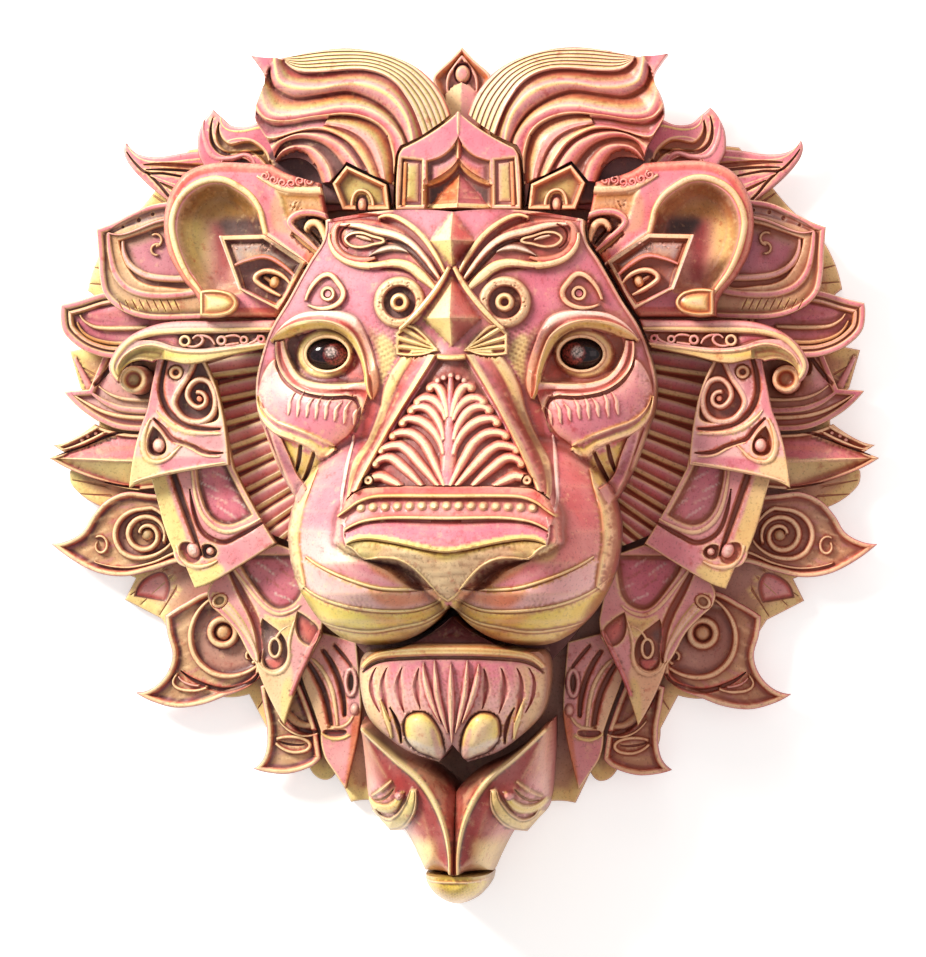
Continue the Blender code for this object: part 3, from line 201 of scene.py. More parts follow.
def to_segments(points, line, closed):
    """For each point, the distance to each segment of a line and the share of the way along it."""
    a = line if closed else line[:-1]
    b = np.roll(line, -1, axis=0) if closed else line[1:]
    way = b - a
    span = np.maximum((way**2).sum(1), 1e-12)
    dx = points[:, 0, None] - a[None, :, 0]
    dv = points[:, 1, None] - a[None, :, 1]
    t = np.clip((dx * way[None, :, 0] + dv * way[None, :, 1]) / span[None], 0, 1)
    dx -= t * way[None, :, 0]
    dv -= t * way[None, :, 1]
    return np.sqrt(dx * dx + dv * dv), t


def distance_to(points, line, closed=True):
    found = np.empty(len(points))
    for k in range(0, len(points), CHUNK):
        found[k:k + CHUNK] = to_segments(points[k:k + CHUNK], line, closed)[0].min(1)
    return found


def is_inside(points, outline):
    x1, v1 = outline[:, 0], outline[:, 1]
    x2, v2 = np.roll(x1, -1), np.roll(v1, -1)
    slope = (x2 - x1) / np.where(v2 == v1, 1e-12, v2 - v1)
    found = np.zeros(len(points), bool)
    for k in range(0, len(points), CHUNK):
        x, v = points[k:k + CHUNK, 0, None], points[k:k + CHUNK, 1, None]
        crosses = (v1[None] > v) != (v2[None] > v)
        found[k:k + CHUNK] = (crosses & (x < x1[None] + (v - v1[None]) * slope[None])).sum(1) % 2 == 1
    return found


def soft_step(x):
    x = np.clip(x, 0, 1)
    return x * x * (3 - 2 * x)


def normals_of(line, closed):
    before = np.roll(line, 1, axis=0) if closed else np.vstack([line[:1], line[:-1]])
    after = np.roll(line, -1, axis=0) if closed else np.vstack([line[1:], line[-1:]])
    way = after - before
    way /= np.maximum(np.linalg.norm(way, axis=1), 1e-9)[:, None]
    return np.stack([-way[:, 1], way[:, 0]], 1)


def inset(outline, width):
    """The outline moved inwards, but never past the middle of a narrow stretch."""
    before = outline - np.roll(outline, 1, axis=0)
    after = np.roll(outline, -1, axis=0) - outline
    before /= np.maximum(np.linalg.norm(before, axis=1), 1e-9)[:, None]
    after /= np.maximum(np.linalg.norm(after, axis=1), 1e-9)[:, None]
    x, v = outline[:, 0], outline[:, 1]
    side = 1 if (x * np.roll(v, -1) - np.roll(x, -1) * v).sum() > 0 else -1
    normal = normals_of(outline, True) * side
    half = np.maximum(np.sqrt(np.clip((1 + (before * after).sum(1)) / 2, 0, 1)), SHARPEST)
    rest = outline[None] - outline[:, None]
    ahead = (rest * normal[:, None]).sum(2)
    square = (rest**2).sum(2)
    clear = ahead > AHEAD * np.sqrt(square) + 1e-9
    limit = np.where(clear, square / np.where(clear, 2 * ahead, 1), 1e9).min(1)
    return outline + normal * np.minimum(width / half, SHORT_OF_MIDDLE * limit)[:, None]


# Carved forms: the lines where the surface bends, and what each does to the depth and the paint

class Form:
    def __init__(self, carve, lines=()):
        self.carve = carve
        self.lines = lines


def flat(points):
    return np.zeros(len(points))


def section_at(place, section):
    """Depth and paint at each place of a section, which is a list of (place, depth, paint).

    On a rim or a panel the place is the distance from the edge in steps; on a stroke it is the share of
    the half width.
    """
    at = [k[0] for k in section]
    depth = np.interp(place, at, [k[1] for k in section])
    tints = np.array([TINT[k[2]] for k in section])
    paint = np.stack([np.interp(place, at, tints[:, c]) for c in range(3)], 1)
    return depth, paint


def put(points, state, chosen, place, section, mode, ground):
    """Puts a section over the chosen points."""
    depth, paint = section_at(place, section)
    old = state["depth"][chosen]
    if mode == "cut":
        new = old + depth
        wins = depth < -1e-6
    elif mode == "add":
        new = old + depth
        wins = depth > 1e-6
    else:
        level = ground(points[chosen]) + depth
        if mode == "raise":
            wins = level > old
        elif mode == "sink":
            wins = level < old
        else:
            wins = np.ones(len(level), bool)
        new = np.where(wins, level, old)
    state["depth"][chosen] = new
    kept = chosen[wins]
    state["paint"][kept] = paint[wins]


def near(points, line, reach):
    """The numbers of the points in the box round a line."""
    low = line.min(0) - reach
    high = line.max(0) + reach
    return np.nonzero(((points >= low) & (points <= high)).all(1))[0]


def rim(outline, section):
    lines = [(inset(outline, k[0]), True) for k in section if k[0] > 0]

    def carve(points, state):
        chosen = np.arange(len(points))
        put(points, state, chosen, distance_to(points, outline), section, "put", flat)

    return Form(carve, lines)


def ground_of(height, paint):
    """A plain level, or a level given by a function of the place."""
    def carve(points, state):
        state["depth"][:] = height(points) if callable(height) else height
        state["paint"][:] = TINT[paint]
    return Form(carve)


def panel(outline, section, mode="sink", ground=flat):
    lines = [(outline, True)] + [(inset(outline, k[0]), True) for k in section if k[0] > 0]

    def carve(points, state):
        chosen = near(points, outline, 0.1)
        away = distance_to(points[chosen], outline)
        within = is_inside(points[chosen], outline) | (away < MERGE)
        put(points, state, chosen[within], away[within], section, mode, ground)

    return Form(carve, lines)


def stroke(path, width, section, mode="raise", ground=flat, closed=False):
    """A ridge or a groove along a path; the width tapers through the given half widths."""
    path = np.asarray(path, float)
    at = np.linspace(0, 1, len(path))
    half = np.interp(at, np.linspace(0, 1, len(width)), width)
    normal = normals_of(path, closed)
    lines = []
    for share, level, _ in section:
        if share == 0:
            if len(section) > 1 and section[1][1] != level:
                lines.append((path, closed))
            continue
        left = path + normal * (half * share)[:, None]
        right = path - normal * (half * share)[:, None]
        if closed:
            lines += [(left, True), (right, True)]
        else:
            lines.append((np.vstack([left, right[::-1]]), True))
    starts = half if closed else half[:-1]
    ends = np.roll(half, -1) if closed else half[1:]

    def carve(points, state):
        chosen = near(points, path, half.max())
        if not len(chosen):
            return
        away, t = to_segments(points[chosen], path, closed)
        wide = np.maximum(starts[None] + t * (ends - starts)[None], 1e-6)
        share = (away / wide).min(1)
        within = share <= 1.0001
        put(points, state, chosen[within], share[within], section, mode, ground)

    return Form(carve, lines)


def boss(centre, section, mode="put", ground=flat, squash=1.0, tilt=0.0):
    """A turned ornament: depth and paint at each radius."""
    outer = section[-1][0]
    lines = [(circle(centre, k[0], squash, tilt), True) for k in section if k[0] > 0]
    c, s = math.cos(tilt), math.sin(tilt)

    def carve(points, state):
        chosen = near(points, np.array([centre], float), outer * max(1, squash) + 0.1)
        d = points[chosen] - np.array(centre)
        r = np.hypot(d[:, 0] * c + d[:, 1] * s, (-d[:, 0] * s + d[:, 1] * c) / squash)
        within = r <= outer + MERGE
        put(points, state, chosen[within], r[within], section, mode, ground)

    return Form(carve, lines)


def diamond(centre, wide, tall, low, rise, ground, paints):
    """A four-sided pyramid with a paint for each side: upper left, upper right, lower right, lower left."""
    c = np.array(centre, float)
    corners = np.array([(0, tall), (wide, 0), (0, -low), (-wide, 0)], float) + c
    upright = np.linspace(corners[0], corners[2], 24)
    across = np.linspace(corners[1], corners[3], 16)

    def carve(points, state):
        chosen = near(points, corners, 0)
        d = points[chosen] - c
        share = 1 - np.abs(d[:, 0]) / wide - np.maximum(d[:, 1] / tall, -d[:, 1] / low)
        level = ground(points[chosen]) + rise * share
        wins = (share > -1e-6) & (level > state["depth"][chosen])
        kept = chosen[wins]
        state["depth"][kept] = level[wins]
        d = d[wins]
        side = np.where(d[:, 1] > 0, np.where(d[:, 0] < 0, 0, 1), np.where(d[:, 0] > 0, 2, 3))
        state["paint"][kept] = np.array([TINT[p] for p in paints])[side]

    return Form(carve, [(resampled_ring(corners), True), (upright, False), (across, False)])


def resampled_ring(corners):
    """The straight outline between the given corners, in short parts."""
    ring = []
    for a, b in zip(corners, np.roll(corners, -1, axis=0)):
        parts = max(1, math.ceil(np.linalg.norm(b - a) / LONGEST))
        ring += [a + (b - a) * k / parts for k in range(parts)]
    return np.array(ring)


def tinted(shape, paint, amount):
    """Paint alone, over a place given by a function that returns 0 to 1."""
    def carve(points, state):
        share = np.clip(shape(points), 0, 1)[:, None] * amount
        state["paint"][:] = state["paint"] * (1 - share) + TINT[paint] * share
    return Form(carve)


def between(a, b, section, mode="raise", ground=flat):
    """A strip between two guide lines; the place is the share of the way from the first to the second."""
    outline = np.vstack([a, b[::-1]])
    count = max(len(a), len(b))
    first, last = resampled(a, count), resampled(b, count)
    lines = [(outline, True)] + [(first + (last - first) * k[0], False) for k in section if 0 < k[0] < 1]

    def carve(points, state):
        chosen = near(points, outline, 0.1)
        within = is_inside(points[chosen], outline) | (distance_to(points[chosen], outline) < MERGE)
        chosen = chosen[within]
        from_a = distance_to(points[chosen], a, closed=False)
        from_b = distance_to(points[chosen], b, closed=False)
        put(points, state, chosen, from_a / np.maximum(from_a + from_b, 1e-9), section, mode, ground)

    return Form(carve, lines)


def wash(outline, paint, amount, soft):
    """Paint alone, inside an outline and with a soft edge."""
    def carve(points, state):
        chosen = near(points, outline, 0.1)
        chosen = chosen[is_inside(points[chosen], outline)]
        share = amount * soft_step(distance_to(points[chosen], outline) / soft)[:, None]
        state["paint"][chosen] = state["paint"][chosen] * (1 - share) + TINT[paint] * share
    return Form(carve)


def hatched(shape, wave, rise):
    """Fine chisel lines over a place: wave gives the phase in turns; the troughs are painted darker ochre."""
    def carve(points, state):
        share = np.clip(shape(points), 0, 1)
        line = np.abs((wave(points) % 1) - 0.5) * 2
        state["depth"][:] += rise * share * (line - 0.5)
        dark = (share * np.clip(1 - HATCH_FALL * line, 0, 1) * HATCH_TROUGH_DARKENING)[:, None]
        state["paint"][:] = state["paint"] * (1 - dark) + TINT["ochre"] * dark
    return Form(carve)


# Meshes

def net_inside(outline, spacing, lines):
    low, high = outline.min(0), outline.max(0)
    rows = np.arange(low[1], high[1], spacing * math.sqrt(0.75))
    net = []
    for k, v in enumerate(rows):
        across = np.arange(low[0] + (spacing / 2 if k % 2 else 0), high[0], spacing)
        net.append(np.stack([across, np.full(len(across), v)], 1))
    net = np.vstack(net)
    net = net[is_inside(net, outline)]
    tree = kdtree.KDTree(len(outline) + sum(len(line) for line, _ in lines))
    count = 0
    for line in [outline] + [line for line, _ in lines]:
        for p in line:
            tree.insert((p[0], p[1], 0), count)
            count += 1
    tree.balance()
    clear = [tree.find((p[0], p[1], 0))[2] > NET_CLEARANCE * spacing for p in net]
    return net[np.array(clear)]


def smoothed(values, faces, rounds):
    count = len(values)
    a = np.concatenate([faces[:, 0], faces[:, 1], faces[:, 2]])
    b = np.concatenate([faces[:, 1], faces[:, 2], faces[:, 0]])
    near_by = np.bincount(a, minlength=count) + np.bincount(b, minlength=count)
    near_by = np.maximum(near_by, 1)
    for _ in range(rounds):
        total = np.bincount(a, values[b], count) + np.bincount(b, values[a], count)
        values = 0.5 * values + 0.5 * total / near_by
    return values


def plan_of(outline, lines, spacing):
    """The front view as points and triangles, with an edge along every line."""
    points = [tuple(p) for p in outline]
    edges = [(i, (i + 1) % len(outline)) for i in range(len(outline))]
    for line, closed in lines:
        first = len(points)
        points += [tuple(p) for p in line]
        edges += [(first + i, first + i + 1) for i in range(len(line) - 1)]
        if closed:
            edges.append((first + len(line) - 1, first))
    points += [tuple(p) for p in net_inside(outline, spacing, lines)]
    found = geometry.delaunay_2d_cdt(points, edges, [], 1, MERGE, False)
    plan = np.array([tuple(p) for p in found[0]])
    faces = np.array(list(found[2]))
    faces = faces[is_inside(plan[faces].mean(1), outline)]
    used = np.unique(faces)
    remap = np.full(len(plan), -1)
    remap[used] = np.arange(len(used))
    plan, faces = plan[used], remap[faces]
    a, b, c = plan[faces[:, 0]], plan[faces[:, 1]], plan[faces[:, 2]]
    turned = (b - a)[:, 0] * (c - a)[:, 1] - (b - a)[:, 1] * (c - a)[:, 0] < 0
    faces[turned] = faces[turned][:, ::-1]
    return plan, faces


def aged(depth, paint, faces, grime_and_shade):
    """The paint with worn edges and painted highlight, dirt and painted shade in the cuts, and how dark each
    point is.
    """
    close = depth - smoothed(depth, faces, CLOSE_ROUNDS)
    wide = depth - smoothed(depth, faces, WIDE_ROUNDS)
    lit = np.clip(close / RAISED_EDGE_HEIGHT, 0, 1)[:, None]
    dark = np.clip(-close / CUT_DEPTH, 0, 1) * CUT_DIRT_AND_SHADE + np.clip(-wide / HOLLOW_DEPTH, 0, 1) * HOLLOW_DIRT_AND_SHADE
    dark = np.clip(dark, 0, 1) * grime_and_shade
    dirt_and_shade = DIRT_AND_SHADE * dark[:, None]
    # Raised edges turn cream, worn paint and painted highlight; cuts and hollows turn deep maroon, dirt and
    # painted shade
    paint = paint * (1 - WORN_EDGE_AND_HIGHLIGHT * lit) + TINT["cream"] * WORN_EDGE_AND_HIGHLIGHT * lit
    paint = paint * (1 - dirt_and_shade) + TINT["deep"] * dirt_and_shade * DEEP_SHARE + TINT["maroon"] * dirt_and_shade * MAROON_SHARE
    return paint, dark


def border_of(faces, count):
    """The points of the outer edge, in order."""
    pairs = np.concatenate([faces[:, [0, 1]], faces[:, [1, 2]], faces[:, [2, 0]]])
    keys = pairs[:, 0].astype(np.int64) * count + pairs[:, 1]
    opposite = pairs[:, 1].astype(np.int64) * count + pairs[:, 0]
    border = pairs[~np.isin(keys, opposite)]
    after = {int(p): int(q) for p, q in border}
    loop = [int(border[0, 0])]
    while after[loop[-1]] != loop[0]:
        loop.append(after[loop[-1]])
    return np.array(loop)


def paint_mesh(mesh, values):
    colour = mesh.color_attributes.new("Paint", "FLOAT_COLOR", "POINT")
    colour.data.foreach_set("color", values.astype(np.float32).ravel())
    mesh.shade_smooth()


def carved_mesh(name, outline, forms, back, spacing, grime_and_shade):
    """A closed mesh with a flat back and the forms carved into its front, one after another."""
    plan, faces = plan_of(outline, [line for form in forms for line in form.lines], spacing)
    count = len(plan)
    state = {"depth": np.zeros(count), "paint": np.tile(TINT["rose"], (count, 1))}
    for form in forms:
        form.carve(plan, state)
    depth = state["depth"]
    paint, dark = aged(depth, state["paint"], faces, grime_and_shade)
    loop = border_of(faces, count)
    rear = count + np.arange(len(loop))
    front = np.stack([plan[:, 0] * STEP, -(back + depth) * MM, plan[:, 1] * STEP], 1)
    behind = np.stack([plan[loop, 0] * STEP, np.full(len(loop), -back * MM), plan[loop, 1] * STEP], 1)
    sides = np.stack([np.roll(loop, -1), loop, rear, np.roll(rear, -1)], 1)
    polygons = [tuple(f) for f in faces] + [tuple(q) for q in sides] + [tuple(rear[::-1])]
    mesh = bpy.data.meshes.new(name)
    mesh.from_pydata(np.vstack([front, behind]).tolist(), [], polygons)
    values = np.ones((count + len(loop), 4))
    values[:count, :3] = paint
    # The alpha keeps how dark each point is, dirt and painted shade, for the material
    values[:count, 3] = 1 - dark
    values[count:, :3] = paint[loop] * SIDE_SHADE + TINT["ochre"] * SIDE_OCHRE
    paint_mesh(mesh, values)
    mesh.set_sharp_from_angle(angle=SHARP)
    mesh.update()
    return mesh


def mirrored(mesh):
    other = mesh.copy()
    places = np.empty(len(other.vertices) * 3, np.float32)
    other.vertices.foreach_get("co", places)
    places[0::3] *= -1
    other.vertices.foreach_set("co", places)
    other.flip_normals()
    other.update()
    return other


PIECES = bpy.data.collections.new("lion_wall_sculpture")
bpy.context.scene.collection.children.link(PIECES)


def place(node, mesh, finish, slot):
    piece = bpy.data.objects.new("carved_" + node, mesh)
    mesh.materials.clear()
    mesh.materials.append(finish)
    PIECES.objects.link(piece)
    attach(piece, "root")
    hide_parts(node)


def build_one(name, outline, forms, back, finish, spacing):
    """A piece on the middle line; a finish is a material and a slot name, and the slot name is not used."""
    place(name, carved_mesh(name, outline, forms, back, spacing, 1.0), *finish)


def build_pair(name, outline, forms, back, finish, spacing=2.6, grime_and_shade=1.0):
    mesh = carved_mesh(name, outline, forms, back, spacing, grime_and_shade)
    place(name + "_right", mesh, *finish)
    place(name + "_left", mirrored(mesh), *finish)


# Sections that come back on many pieces

TOP = BOARD
LOW = BOARD - 5.2
SPIRAL_FLOOR = LOW - 1.6


def rail(top, foot, face, side):
    return [
        (0, top, face), (0.3, top - 0.1, face), (0.52, top - 0.6, "sand"),
        (0.8, foot + 0.25 * (top - foot), side), (1, foot, side),
    ]


def cut(depth, floor, edge="cream"):
    return [
        (0, -depth, floor), (0.35, -depth, floor), (0.72, -0.35 * depth, "red"), (0.9, -0.05 * depth, edge),
        (1, 0, edge),
    ]


def round_ridge(top, foot, face, side):
    return [
        (0, top, face), (0.3, foot + 0.95 * (top - foot), face), (0.55, foot + 0.83 * (top - foot), face),
        (0.75, foot + 0.64 * (top - foot), side), (0.9, foot + 0.4 * (top - foot), side), (1, foot, "maroon"),
    ]


def pit(depth, floor, width=1.6):
    return [(0, 0, "cream"), (0.5, -0.4, "coral"), (width, -depth + 0.4, "maroon"),
        (width + 1.2, -depth, "maroon"), (width + 3.5, -depth, floor)]


# Forms on drawn lines

def trace(path, width, section, mode="raise", ground=flat):
    """A stroke along the smooth line through the drawn points."""
    return stroke(smooth_line(path), width, section, mode, ground)


def railed(path, width, top, foot, face, side):
    return trace(path, width, rail(top, foot, face, side))


def groove(path, width, depth, floor, edge="cream"):
    return trace(path, width, cut(depth, floor, edge), "cut")


def loop_of(path, half, section, mode="raise", ground=flat):
    """A stroke of one width along a closed line."""
    return stroke(path, [half, half], section, mode, ground, closed=True)


def inlay(drawn, section, mode="sink"):
    """A panel inside the smooth outline through the drawn points."""
    return panel(outline_of(drawn), section, mode)


def patch(drawn, paint, amount, soft):
    """A wash inside the smooth outline through the drawn points."""
    return wash(outline_of(drawn), paint, amount, soft)


# Finishes

RANGE_SOCKETS = ("From Min", "From Max", "To Min", "To Max")
BRUSH_STRETCH = (1, 1, 0.22)
# Painted shade over the half at +X, away from the key light, and darker still in its cuts
SHADED_HALF_TINT = (1.0, 0.81, 0.84, 1)
SHADED_HALF_CUT_TINT = (0.40, 0.085, 0.03, 1)


def painted_material(name):
    """A new material, its shader, the painted colours of the mesh and the place on the object."""
    made = bpy.data.materials.new(name)
    made.use_nodes = True
    paint = made.node_tree.nodes.new("ShaderNodeVertexColor")
    paint.layer_name = "Paint"
    where = made.node_tree.nodes.new("ShaderNodeTexCoord").outputs["Object"]
    return made, made.node_tree.nodes["Principled BSDF"], paint, where


def finish_of(name, roughness, coat):
    """Painted wood: the painted colours of the mesh, with their worn edges, painted highlight, dirt and
    painted shade, mottled, with grain and brush marks, and painted shade over the half at +X.
    """
    made, shader, paint, where = painted_material(name)
    nodes, links = made.node_tree.nodes, made.node_tree.links

    def feed(value, socket):
        if isinstance(value, (int, float, tuple)):
            socket.default_value = value
        else:
            links.new(value, socket)

    def noise(scale, detail, grit, stretch=(1, 1, 1)):
        mapping = nodes.new("ShaderNodeMapping")
        mapping.inputs["Scale"].default_value = stretch
        links.new(where, mapping.inputs["Vector"])
        made_noise = nodes.new("ShaderNodeTexNoise")
        for socket, number in (("Scale", scale), ("Detail", detail), ("Roughness", grit)):
            made_noise.inputs[socket].default_value = number
        links.new(mapping.outputs["Vector"], made_noise.inputs["Vector"])
        return made_noise.outputs["Fac"]

    def ranged(value, low, high, to_low, to_high):
        node = nodes.new("ShaderNodeMapRange")
        for socket, number in zip(RANGE_SOCKETS, (low, high, to_low, to_high)):
            node.inputs[socket].default_value = number
        links.new(value, node.inputs["Value"])
        return node.outputs["Result"]

    def mixed(factor, a, b, blend="MIX"):
        node = nodes.new("ShaderNodeMix")
        node.data_type = "RGBA"
        node.blend_type = blend
        for value, socket in ((factor, 0), (a, 6), (b, 7)):
            feed(value, node.inputs[socket])
        return node.outputs[2]

    def times(a, b):
        node = nodes.new("ShaderNodeMath")
        node.operation = "MULTIPLY"
        feed(a, node.inputs[0])
        feed(b, node.inputs[1])
        return node.outputs[0]

    def bump(height, strength, distance):
        node = nodes.new("ShaderNodeBump")
        node.inputs["Strength"].default_value = strength
        node.inputs["Distance"].default_value = distance
        links.new(height, node.inputs["Height"])
        return node

    def tint(paint_name):
        return (*TINT[paint_name], 1)

    # Mottling and brush marks
    broad = noise(26, 4, 0.6)
    patchy = noise(120, 5, 0.65)
    fine = noise(620, 3, 0.6)
    brushed = noise(90, 5, 0.7, BRUSH_STRETCH)
    colour = mixed(ranged(broad, 0.42, 0.74, 0.05, 0.28), paint.outputs["Color"], tint("shell"))
    colour = mixed(ranged(broad, 0.54, 0.28, 0, 0.34), colour, tint("pink"), "MULTIPLY")
    colour = mixed(ranged(patchy, 0.58, 0.74, 0, 0.40), colour, tint("cream"))
    colour = mixed(ranged(patchy, 0.42, 0.28, 0, 0.55), colour, tint("coral"), "MULTIPLY")
    colour = mixed(ranged(brushed, 0.55, 0.75, 0, 0.55), colour, tint("shell"), "SOFT_LIGHT")
    colour = mixed(ranged(fine, 0.44, 0.30, 0, 0.35), colour, tint("maroon"), "MULTIPLY")
    # Painted shade: the half at +X, away from the key light, is darker and warmer, most of all in its cuts
    split = nodes.new("ShaderNodeSeparateXYZ")
    links.new(where, split.inputs["Vector"])
    shaded_half = ranged(split.outputs["X"], -0.03, 0.12, 0, 1)
    colour = mixed(shaded_half, colour, SHADED_HALF_TINT, "MULTIPLY")
    in_cuts = ranged(paint.outputs["Alpha"], 0.95, 0.35, 0, 0.6)
    colour = mixed(times(in_cuts, shaded_half), colour, SHADED_HALF_CUT_TINT)
    links.new(colour, shader.inputs["Base Color"])
    links.new(ranged(patchy, 0.3, 0.7, roughness - 0.08, roughness + 0.14), shader.inputs["Roughness"])
    shader.inputs["Coat Weight"].default_value = coat
    shader.inputs["Coat Roughness"].default_value = 0.22
    # Grain and chisel marks
    grain = bump(fine, 0.30, 0.0006)
    chisel = bump(brushed, 0.35, 0.0011)
    links.new(grain.outputs["Normal"], chisel.inputs["Normal"])
    links.new(chisel.outputs["Normal"], shader.inputs["Normal"])
    return made


def glass_finish():
    """Dark glass with fine specks in its colour and its roughness."""
    made, shader, paint, where = painted_material("eye_glass")
    nodes, links = made.node_tree.nodes, made.node_tree.links
    speck = nodes.new("ShaderNodeTexNoise")
    speck.inputs["Scale"].default_value = 700
    speck.inputs["Detail"].default_value = 4
    links.new(where, speck.inputs["Vector"])
    ramp = nodes.new("ShaderNodeValToRGB")
    dull, bright = ramp.color_ramp.elements
    dull.position, dull.color = 0.38, (0.25, 0.25, 0.25, 1)
    bright.position, bright.color = 0.66, (1.6, 1.5, 1.5, 1)
    links.new(speck.outputs["Fac"], ramp.inputs["Fac"])
    mix = nodes.new("ShaderNodeMix")
    mix.data_type = "RGBA"
    mix.blend_type = "MULTIPLY"
    mix.inputs[0].default_value = 1
    links.new(paint.outputs["Color"], mix.inputs[6])
    links.new(ramp.outputs["Color"], mix.inputs[7])
    links.new(mix.outputs[2], shader.inputs["Base Color"])
    rough = nodes.new("ShaderNodeMapRange")
    rough.inputs["To Min"].default_value = 0.05
    rough.inputs["To Max"].default_value = 0.16
    links.new(speck.outputs["Fac"], rough.inputs["Value"])
    links.new(rough.outputs["Result"], shader.inputs["Roughness"])
    shader.inputs["Coat Weight"].default_value = 0.35
    shader.inputs["Coat Roughness"].default_value = 0.12
    shader.inputs["Specular IOR Level"].default_value = 0.25
    return made


PAINTED = (finish_of("rose_painted_wood", 0.46, 0.18), "rose_paint")
CREAM_PAINTED = (finish_of("cream_painted_wood", 0.50, 0.12), "cream_paint")
MAROON_PAINTED = (finish_of("maroon_painted_wood", 0.48, 0.15), "maroon_paint")
GOLD_PAINTED = (finish_of("gold_painted_wood", 0.38, 0.30), "gold_paint")
GLASS = (glass_finish(), "dark_glass")


# The rear tier

def back_plate():
    half = [
        (0, 352, CORNER), (215, 330), (277, 323, CORNER), (309, 285, CORNER), (328, 262), (362, 228),
        (380, 181, CORNER), (366, 160), (378, 124, CORNER), (398, 120, CORNER), (387, 82, CORNER), (368, 50),
        (386, 14), (398, -1, CORNER), (394, -18), (366, -37, CORNER), (370, -76), (331, -109, CORNER),
        (342, -131, CORNER), (305, -150, CORNER), (283, -185), (262, -222), (216, -226, CORNER),
        (198, -260, CORNER), (188, -288), (155, -300, CORNER), (140, -312), (128, -303, CORNER),
        (113, -334, CORNER), (66, -341), (36, -386), (24, -416), (0, -426, CORNER),
    ]
    outline = whole(half)
    forms = [rim(outline, [
        (0, 8.6, "sand"), (0.8, 9.6, "cream"), (1.6, 10, "butter"), (9, 10, "butter"), (16, 9.7, "sand"),
        (40, 9.5, "taupe"),
    ])]
    for side in (1, -1):
        def both(line, side=side):
            return np.array(line) * [side, 1]
        for path in (
            [(320, 282), (300, 268)], [(374, 205), (352, 199)], [(377, 188), (350, 186)],
            [(388, 105), (372, 96)], [(395, -10), (362, -16)], [(388, -24), (356, -26)],
            [(336, -126), (302, -100)], [(324, -134), (296, -108)], [(306, -145), (290, -120)],
            [(207, -240), (196, -224)],
        ):
            forms.append(groove(both(path), [0.6, 1.6], 0.9, "sand", "butter"))
        forms.append(trace(both([(392, 112), (378, 84)]), [2, 4], round_ridge(12.2, 10, "blush", "mauve")))
        forms.append(inlay([(side * 333, -128, CORNER), (side * 322, -108), (side * 300, -104),
            (side * 300, -134, CORNER)], [(0, 10, "cream"), (1.5, 8.4, "maroon"), (3.5, 8.2, "coral"),
            (7, 9, "blush")]))
    build_one("back_plate", outline, forms, 0.0, CREAM_PAINTED, 6.0)


def ruff():
    half = [
        (0, 236, CORNER), (118, 232), (180, 150), (214, 122), (262, 104, CORNER), (252, 60), (244, 0),
        (226, -34), (186, -66, CORNER), (146, -82, CORNER), (136, -120), (118, -158), (82, -200),
        (44, -250), (0, -262, CORNER),
    ]
    outline = whole(half)
    low = 19.4
    pleat = [
        (0, low + 2.2, "red"), (0.06, low + 3.9, "cream"), (0.16, low + 4.3, "shell"),
        (0.26, low + 4.2, "pink"), (0.52, low + 3.4, "coral"), (0.62, low + 3.0, "red"),
        (0.68, low + 3.6, "cream"), (0.82, low + 3, "butter"), (0.92, low + 1.6, "coral"),
        (1, low + 0.5, "maroon"),
    ]
    forms = [ground_of(low, "maroon")]
    for side in (1, -1):
        for k in range(10):
            lean = math.radians(7 + 3.6 * k)
            way = np.array([math.cos(lean), -math.sin(lean)])
            inner = np.array([152.0, 121 - k * 19.5])
            upper = smooth_line([inner, inner + 50 * way + [0, 3], inner + 104 * way])
            fall = [0, -18.4]
            lower = smooth_line([inner + [0, -13.5], inner + 50 * way + fall, inner + 104 * way + fall])
            forms.append(between(upper * [side, 1], lower * [side, 1], pleat))
    build_one("ruff", outline, forms, board_back(1), MAROON_PAINTED, 4.0)


# The crest

